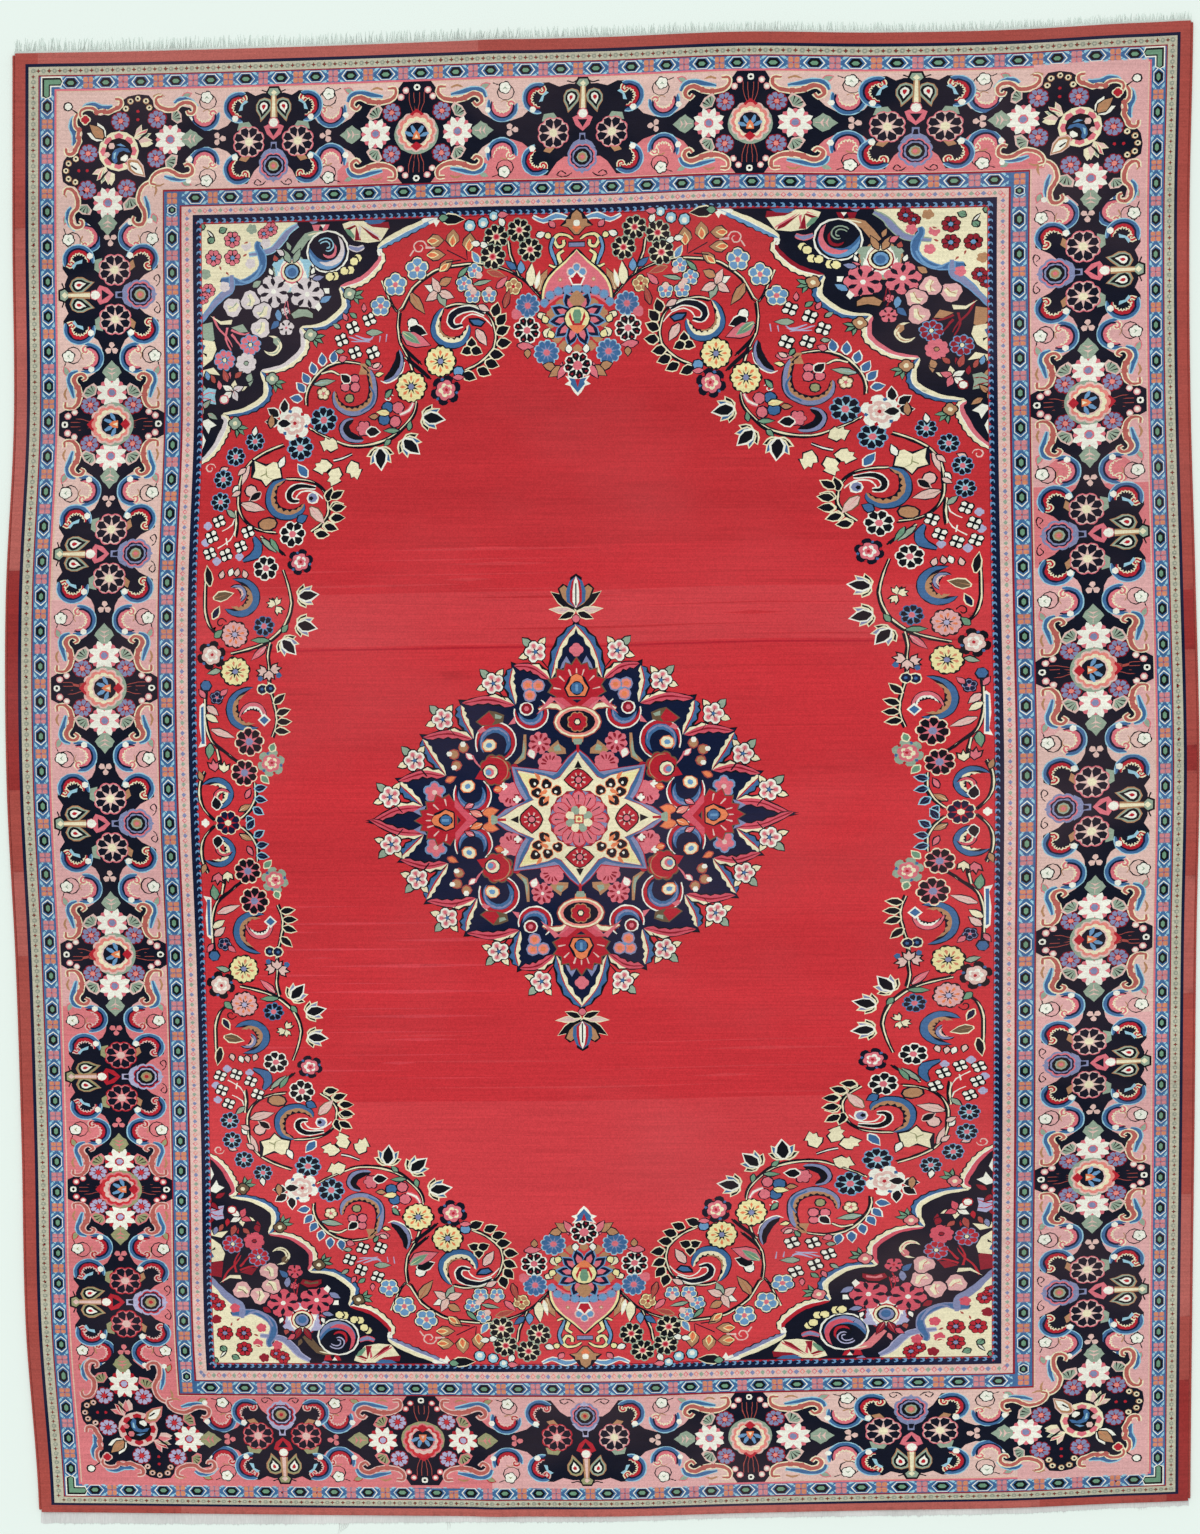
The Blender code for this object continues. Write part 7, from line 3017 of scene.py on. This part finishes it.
def build(name, points, faces, material, dyes=None, uvs=None, smooth=True):
    """A piece from its points and faces, with a dye for each face if it has any."""
    data = bpy.data.meshes.new(name)
    data.from_pydata(np.asarray(points).tolist(), [], faces if isinstance(faces, list) else faces.tolist())
    data.polygons.foreach_set("use_smooth", [smooth] * len(data.polygons))
    if dyes is not None:
        table = {dye: (*linear(dye), 1.0) for dye in set(dyes)}
        sizes = [len(face) for face in faces]
        colours = np.repeat(np.array([table[dye] for dye in dyes]), sizes, axis=0)
        data.attributes.new("dye", "FLOAT_COLOR", "CORNER").data.foreach_set("color", colours.ravel())
    if uvs is not None:
        data.uv_layers.new(name="OFBake").data.foreach_set("uv", np.asarray(uvs).ravel())
    data.materials.append(material)
    piece = bpy.data.objects.new(name, data)
    SHOWN.objects.link(piece)
    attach(piece, "root")
    return piece


print("pieces will be linked to", SHOWN.name)

# %% Points between the shapes
GRID_STEP = 12.0
RIM_ROWS = (0.5, 1.5, 3.0)
RIM_TOUCH = 1e-4


def grid_points(low, high):
    """Points that keep the surface able to bend: an even grid, and rows close to the rug's rim."""
    xs = np.linspace(low[0], high[0], round((high[0] - low[0]) / GRID_STEP) + 1)
    ys = np.linspace(low[1], high[1], round((high[1] - low[1]) / GRID_STEP) + 1)
    rows = [r * MM / STEP for r in RIM_ROWS]
    xs = set(xs.tolist()) | {s * (EDGE_ACROSS - r) for s in (-1, 1) for r in rows}
    ys = set(ys.tolist()) | {s * (EDGE_ALONG - r) for s in (-1, 1) for r in rows}
    return [(x, y) for x in xs for y in ys if low[0] <= x <= high[0] and low[1] <= y <= high[1]]


def pile_height(drawn, lift):
    """The pile's height, which rounds over along the rim."""
    rim = np.minimum(EDGE_ACROSS - np.abs(drawn[:, 0]), EDGE_ALONG - np.abs(drawn[:, 1])) * STEP
    short = np.clip(RIM_ROUNDING - rim, 0, RIM_ROUNDING)
    return lift + RUG_THICKNESS - RIM_ROUNDING + np.sqrt(RIM_ROUNDING**2 - short**2)


def skirt_of(points, triangles):
    """The edges of the triangles that lie on the rug's rim, each once, from left to right seen from outside."""
    sides = []
    from_rim = np.abs(np.abs(points) - (EDGE_ACROSS, EDGE_ALONG))
    on_rim = (from_rim[:, 0] < RIM_TOUCH, from_rim[:, 1] < RIM_TOUCH)
    for k in range(3):
        a, b = triangles[:, k], triangles[:, (k + 1) % 3]
        for rim in on_rim:
            chosen = rim[a] & rim[b]
            sides += [(int(p), int(q), int(t)) for p, q, t in zip(a[chosen], b[chosen], np.flatnonzero(chosen))]
    return sides


print(
    "a quarter of the rug gets", len(grid_points((0, 0), (EDGE_ACROSS, EDGE_ALONG))),
    "points besides its shapes"
)

# %% [markdown]
# ## Six strips
#
# A strip is cut in small cells one after the other, because the cutting call takes far longer for many points
# at once. Where a cell ends at the rug's rim, a skirt of flat faces goes down to the floor, with the dye of the
# faces that it hangs from.

# %% The strips
STRIPS, FOLDS, CELLS_A_FOLD = 6, 3, 6
SKIRT_FOOT = 0.5 * MM
UV_MARGIN = 3.0
SKIRT_ON_MAP = 0.8 * UV_MARGIN

def pile_strip(name, left, right):
    """One strip of the pile, over the whole length of the rug, cut in small cells."""
    points, faces, dyes, uvs, start = [], [], [], [], 0
    span = np.array([right - left + 2 * UV_MARGIN, 2 * EDGE_ALONG / FOLDS + 2 * UV_MARGIN])
    ends = np.linspace(-EDGE_ALONG, EDGE_ALONG, FOLDS * CELLS_A_FOLD + 1).tolist()
    halves = [left, (left + right) / 2, right]
    for row, (near, far) in enumerate(zip(ends, ends[1:])):
        fold = row // CELLS_A_FOLD
        for a, b in zip(halves, halves[1:]):
            drawn, triangles, owners = cells(
                SHAPES, BOXES, (a, near), (b, far), grid_points((a, near), (b, far))
            )
            x, y, lift = on_floor(drawn)
            rim = skirt_of(drawn, triangles)
            foot = sorted({p for side in rim for p in side[:2]})
            feet = {p: start + len(drawn) + i for i, p in enumerate(foot)}
            points.append(np.column_stack([x, y, pile_height(drawn, lift)]))
            points.append(np.column_stack([x[foot], y[foot], lift[foot] + SKIRT_FOOT]).reshape(-1, 3))
            faces += (triangles + start).tolist()
            dyes += owners
            flat = (drawn - (left, ends[fold * CELLS_A_FOLD]) + UV_MARGIN) / span
            flat[:, 0] = (flat[:, 0] + fold) / FOLDS
            uvs.append(flat[triangles].reshape(-1, 2))
            for p, q, t in rim:
                faces.append([q + start, p + start, feet[p], feet[q]])
                dyes.append(owners[t])
                out = np.sign(drawn[p]) * (np.abs(drawn[p]) > np.array([EDGE_ACROSS, EDGE_ALONG]) - RIM_TOUCH)
                out = out * SKIRT_ON_MAP / span / (FOLDS, 1)
                uvs.append(np.array([flat[q], flat[p], flat[p] + out, flat[q] + out]))
            start += len(drawn) + len(foot)
    piece = build(name, np.concatenate(points), faces, PILE_WOOL, dyes, np.concatenate(uvs))
    print(name, "has", len(faces), "faces")
    return piece


bounds_across = np.linspace(-EDGE_ACROSS, EDGE_ACROSS, STRIPS + 1).tolist()
strips = [pile_strip(f"pile_{i + 1}", a, b) for i, (a, b) in enumerate(zip(bounds_across, bounds_across[1:]))]

# %% [markdown]
# ## The back
#
# A knotted rug shows its drawing on the back too, only flatter. The foundation is a thin closed slab just
# under the pile, and its underside carries the drawing's larger forms.

# %% Foundation
BACK_GAP = 0.6 * MM
BACK_TOP = 8.2 * MM
BACK_LIFT = 0.2 * MM
LARGE = 420.0


def rug_back():
    """The foundation under the pile: the sheet that everything else is knotted, wound or tied on."""
    inset = BACK_GAP / STEP
    low, high = (-EDGE_ACROSS + inset, -EDGE_ALONG + inset), (EDGE_ACROSS - inset, EDGE_ALONG - inset)
    large = [(dye, points) for dye, points in SHAPES if area_of(points) > LARGE]
    drawn, triangles, dyes = cells(large, boxes_of(large), low, high, grid_points(low, high))
    x, y, lift = on_floor(drawn)
    count = len(drawn)
    under = np.column_stack([x, y, lift + BACK_LIFT])
    over = np.column_stack([x, y, lift + BACK_TOP])
    edges = {}
    for face in triangles.tolist():
        for a, b in zip(face, face[1:] + face[:1]):
            edges[(a, b)] = edges.get((b, a), 0) + 1
    open_edges = [(a, b) for a, b in edges if (b, a) not in edges]
    faces = triangles[:, ::-1].tolist() + (triangles + count).tolist()
    faces += [[a, b, b + count, a + count] for a, b in open_edges]
    piece = build(
        "rug_back", np.concatenate([under, over]), faces, BACK_WOOL, dyes + dyes + ["brick"] * len(open_edges)
    )
    print("rug_back has", len(faces), "faces")
    return piece


back = rug_back()


# %% [markdown]
# ## The selvedges
#
# The weaver lays brick-red wool round the outer warps of each side, turn by turn. The turns show as fine
# ridges, so the roll is a tube whose radius rises and falls once for every turn.

# %% Overcast sides
TURN_PITCH = 3.4 * MM
RINGS_PER_TURN = 3
TUBE_SIDES = 8
RIDGE, TURN_LEAN = 0.35 * MM, 0.3 * MM


def selvedge(name, side):
    """One overcast side: a tube of wool with a ridge for every turn."""
    last = 1 - 2 * SELVEDGE_END_INSET / RUG_LENGTH
    rings = round(RUG_LENGTH * last / TURN_PITCH) * RINGS_PER_TURN
    v = np.linspace(-last, last, rings + 1)
    x, y = plan_place(float(side), v, SELVEDGE_RADIUS)
    turn = np.arange(rings + 1) % RINGS_PER_TURN
    radius = SELVEDGE_RADIUS - RIDGE * (turn == 0)
    angle = TAU * np.arange(TUBE_SIDES) / TUBE_SIDES
    points = np.empty((rings + 1, TUBE_SIDES, 3))
    points[:, :, 0] = (x + SHIFT_X)[:, None] + radius[:, None] * np.cos(angle)
    points[:, :, 1] = (y + SHIFT_Y)[:, None] + np.sin(angle) * TURN_LEAN
    points[:, :, 2] = SELVEDGE_RADIUS + radius[:, None] * np.sin(angle)
    corner = np.arange((rings + 1) * TUBE_SIDES).reshape(rings + 1, TUBE_SIDES)
    beside = np.roll(corner, -1, axis=1)
    faces = np.stack([corner[1:], beside[1:], beside[:-1], corner[:-1]], axis=2).reshape(-1, 4).tolist()
    faces += [corner[0].tolist(), corner[-1, ::-1].tolist()]
    dyes = ["brick"] * len(faces)
    piece = build(name, points.reshape(-1, 3), faces, SELVEDGE_WOOL, dyes)
    print(name, "has", rings // RINGS_PER_TURN, "turns")
    return piece


left_selvedge = selvedge("overcast_left", -1)
right_selvedge = selvedge("overcast_right", 1)

# %% [markdown]
# ## The ends
#
# The rug ends in its own warps. At the far end they are cut to a short fringe that stands on a strip of plain
# weave. At the near end only the plain weave is left, worn to an uneven edge, with a few loose warps.
# Each strand is a thin three-sided spike, and each end is one joined mesh.

# %% A strand
STRAND_PARTS = 3
STRAND_TAPER, STRAND_ROUND, DROOP = 0.75, 1.2, 0.7


def strand(points, faces, root, tip, thick, sag):
    """Adds one tapering thread from root to tip, both on the plan, that droops to the floor."""
    start = len(points)
    (ax, ay, az), (bx, by, bz) = root, tip
    long = math.hypot(bx - ax, by - ay)
    nx, ny = -(by - ay) / long, (bx - ax) / long
    for i in range(STRAND_PARTS + 1):
        part = i / STRAND_PARTS
        half = thick / 2 * (1 - STRAND_TAPER * part)
        wave = sag * math.sin(math.pi * part)
        x, y = ax + (bx - ax) * part + nx * wave, ay + (by - ay) * part + ny * wave
        z = az + (bz - az) * part**DROOP
        top = z + STRAND_ROUND * half
        points += [(x - nx * half, y - ny * half, z), (x, y, top), (x + nx * half, y + ny * half, z)]
    for i in range(STRAND_PARTS):
        a = start + 3 * i
        faces += [[a, a + 1, a + 4, a + 3], [a + 1, a + 2, a + 5, a + 4], [a + 2, a, a + 3, a + 5]]
    faces += [[start, start + 2, start + 1], [a + 3, a + 4, a + 5]]


test_points, test_faces = [], []
strand(test_points, test_faces, (0, 0, 0), (0, 20 * MM, 0), 2 * MM, 0)
print("a strand has", len(test_points), "points and", len(test_faces), "faces")

# %% [markdown]
# ## The plain weave at the ends
#
# A strip of plain weave keeps the last row of knots from slipping off. It is a flat closed band. Its inner edge
# keeps the same small gap to the knotted body everywhere, and its outer edge is where the strands begin.

# %% The plain weave
WEB_EDGE_SHARE = 0.8


def end_span(end, inset):
    """The X of the left and right corners of an end, moved inwards by inset."""
    y = end * RUG_LENGTH / 2
    return float(side_x(-1, y, inset)), float(side_x(1, y, inset))


def plain_strip(points, faces, end, inner, outer, height):
    """Adds the closed strip between two lines of places across an end."""
    start, count = len(points), len(inner)
    for edge, z in ((inner, 0.0), (outer, 0.0), (inner, height), (outer, height * WEB_EDGE_SHARE)):
        points += [(float(x), float(y), z) for x, y in edge]
    for i in range(count - 1):
        a = start + i
        quads = [
            [a, a + 1, a + count + 1, a + count],
            [a + 2 * count, a + 3 * count, a + 3 * count + 1, a + 2 * count + 1],
            [a + 1, a, a + 2 * count, a + 2 * count + 1],
            [a + count, a + count + 1, a + 3 * count + 1, a + 3 * count],
        ]
        faces += [q if end > 0 else q[::-1] for q in quads]
    for a in (start, start + count - 1):
        q = [a, a + count, a + 3 * count, a + 2 * count]
        faces.append(q if (a == start) == (end > 0) else q[::-1])


def strip_lines(end, depths, count):
    """The inner and outer line of an end's plain weave. The inner one follows the solid body's own corners."""
    left, right = end_span(end, SELVEDGE_RADIUS)
    body_x, body_y = plan_place(columns, float(end), BODY_INSET)
    x = np.linspace(left, right, count)
    inner = np.interp(x, body_x, body_y) + end * PIECE_GAP
    outer = end_y(end, x, PIECE_GAP + depths(x))
    return (
        list(zip(x + SHIFT_X, inner + SHIFT_Y)),
        list(zip(x + SHIFT_X, outer + SHIFT_Y)),
    )


print("the far end is", round(end_span(1, 0)[1] - end_span(1, 0)[0], 3), "m wide")

# %% [markdown]
# ## The fringe
#
# The cut warps lean a little to either side and are longer on the left, as they are on the rug. Random numbers
# from one fixed start set each strand's length and lean, so every run of the script makes the same fringe.

# %% The fringe
STRANDS = 880
STRIP_COLUMNS, WEB_COLUMNS = 240, 420
FRINGE_ROOT_DEPTH, FRINGE_HEIGHT = 6 * MM, 2 * MM
LEFT_LENGTH, LOST_TO_THE_RIGHT = 27, 11


def fringe(chance):
    """The far end: a narrow plain weave and the cut warps that stand on it."""
    points, faces = [], []
    inner, outer = strip_lines(1, lambda x: FRINGE_ROOT_DEPTH + 0 * x, STRIP_COLUMNS)
    plain_strip(points, faces, 1, inner, outer, FRINGE_HEIGHT)
    left, right = outer[0][0], outer[-1][0]
    for i in range(STRANDS):
        share = (i + chance.uniform(0.2, 0.8)) / STRANDS
        x = left + (right - left) * share
        y = float(end_y(1, x - SHIFT_X, PIECE_GAP + FRINGE_ROOT_DEPTH)) + SHIFT_Y
        long = (LEFT_LENGTH - LOST_TO_THE_RIGHT * share) * MM * chance.uniform(0.55, 1.12)
        lean = chance.gauss(0, 0.16) * long
        root = (x, y - 2.5 * MM, FRINGE_HEIGHT * 0.5)
        tip = (min(right, max(left, x + lean)), y + long, chance.uniform(0.1, 1.2) * MM)
        strand(points, faces, root, tip, chance.uniform(1.3, 2.3) * MM, chance.gauss(0, 0.05) * long)
    piece = build("fringe", points, faces, SHADED_WARP_COTTON, smooth=False)
    return piece


chance = random.Random(11)
far_fringe = fringe(chance)
print("the fringe has", len(far_fringe.data.polygons), "faces")

# %% [markdown]
# ## The worn web
#
# At the near end the fringe is gone. What is left is plain weave worn to a ragged edge, with ends of single
# threads all along it. In three places some warps have worked loose and lie on the floor.

# %% The web
WEB_HEIGHT = 2.5 * MM
# across the rug in metres, how many, length in millimetres, lean in millimetres
LOOSE_WARPS = [(-0.575, 5, 26, -5), (-0.340, 2, 17, 2), (1.180, 4, 9, 3)]
LOOSE_PITCH = 5 * MM


def web(chance):
    """The near end: plain weave worn to a ragged edge, short threads all along it and a few long loose ones."""
    points, faces = [], []
    inner, outer = strip_lines(-1, lambda x: smooth_read(WEB_DEPTHS, 1, x) * MM, WEB_COLUMNS)
    ragged = [(x, y + chance.uniform(-1.2, 1.6) * MM) for x, y in outer]
    plain_strip(points, faces, -1, inner, ragged, WEB_HEIGHT)
    for x, y in ragged[8:-4]:
        for _ in range(2):
            at = x + chance.uniform(-2, 2) * MM
            long = chance.uniform(1.0, 5.0) * MM
            root, tip = (at, y + 1.5 * MM, 1.2 * MM), (at + chance.gauss(0, 1.2) * MM, y - long, 0.3 * MM)
            strand(points, faces, root, tip, 1.1 * MM, 0.0)
    for place, count, long, lean in LOOSE_WARPS:
        for i in range(count):
            x = place + i * LOOSE_PITCH
            y = float(end_y(-1, x, PIECE_GAP + smooth_read(WEB_DEPTHS, 1, x) * MM)) + SHIFT_Y
            reach, slip = long * (1 - 0.12 * i) * MM, lean * (1 + 0.2 * i) * MM
            x += SHIFT_X
            root, tip = (x, y + 2 * MM, 1.2 * MM), (x + slip, y - reach, 0.4 * MM)
            strand(points, faces, root, tip, 1.6 * MM, 2 * MM)
    piece = build("plain_web", points, faces, WEB_COTTON, smooth=False)
    return piece


near_web = web(chance)
print("the web has", len(near_web.data.polygons), "faces")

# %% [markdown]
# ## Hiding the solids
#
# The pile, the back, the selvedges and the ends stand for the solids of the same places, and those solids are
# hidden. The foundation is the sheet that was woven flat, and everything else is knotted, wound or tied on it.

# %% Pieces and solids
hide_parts("rug_body")
for strip in strips:
    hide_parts("rug_body")
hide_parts("selvedge_left")
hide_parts("selvedge_right")
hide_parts("fringe_far")
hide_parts("web_near")
print("pieces:", len(strips) + 5)

# %% [markdown]
# ## Floor, light and camera
#
# A plain pale floor, one large soft lamp high above and a pale sky give the even light of a bright room. The
# camera hangs straight over the rug and sees the same stretch of floor as the photograph does.

# %% Floor
FLOOR_HALF = 7.0
corners = [(sx * FLOOR_HALF, sy * FLOOR_HALF, 0) for sx, sy in ((-1, -1), (1, -1), (1, 1), (-1, 1))]
floor_data = bpy.data.meshes.new("floor")
floor_data.from_pydata(corners, [], [(0, 1, 2, 3)])
floor = bpy.data.objects.new("floor", floor_data)
SHOWN.objects.link(floor)
paint, _, floor_shader = nodes_of("pale_floor", 0.6)
floor_shader.inputs["Base Color"].default_value = (0.805, 0.905, 0.85, 1)
floor_data.materials.append(paint)
print("the floor is", 2 * FLOOR_HALF, "m wide")

# %% Light
SKY_SHARE, SUN_SHARE = 0.80, 0.21
sky = bpy.data.worlds.new("sky")
sky.use_nodes = True
sky.node_tree.nodes["Background"].inputs["Color"].default_value = (1.0, 1.0, 1.0, 1)
sky.node_tree.nodes["Background"].inputs["Strength"].default_value = SKY_SHARE
bpy.context.scene.world = sky
lamp_data = bpy.data.lights.new("soft_lamp", "SUN")
lamp_data.angle = math.radians(24)
TILT = math.radians(38)
lamp_data.energy = SUN_SHARE * math.pi / math.cos(TILT)
lamp = bpy.data.objects.new("soft_lamp", lamp_data)
lamp.rotation_euler = (-TILT, 0, math.radians(25))
SHOWN.objects.link(lamp)
bpy.context.scene.view_settings.view_transform = "Standard"
print(
    "the sky gives", SKY_SHARE, "and the lamp, at", round(math.degrees(TILT)), "degrees,", SUN_SHARE,
    "of the light"
)

# %% Camera
PHOTO_HEIGHT, PHOTO_SLIP = 1534 * STEP, -1 * STEP
camera_data = bpy.data.cameras.new("camera")
camera_data.lens = 50.0
camera_data.sensor_width = 36.0
camera = bpy.data.objects.new("camera", camera_data)
above = PHOTO_HEIGHT * camera_data.lens / camera_data.sensor_width
camera.location = (PHOTO_SLIP + SHIFT_X, SHIFT_Y, above)
SHOWN.objects.link(camera)
bpy.context.scene.camera = camera
print("the camera hangs", round(above, 2), "m above the floor")
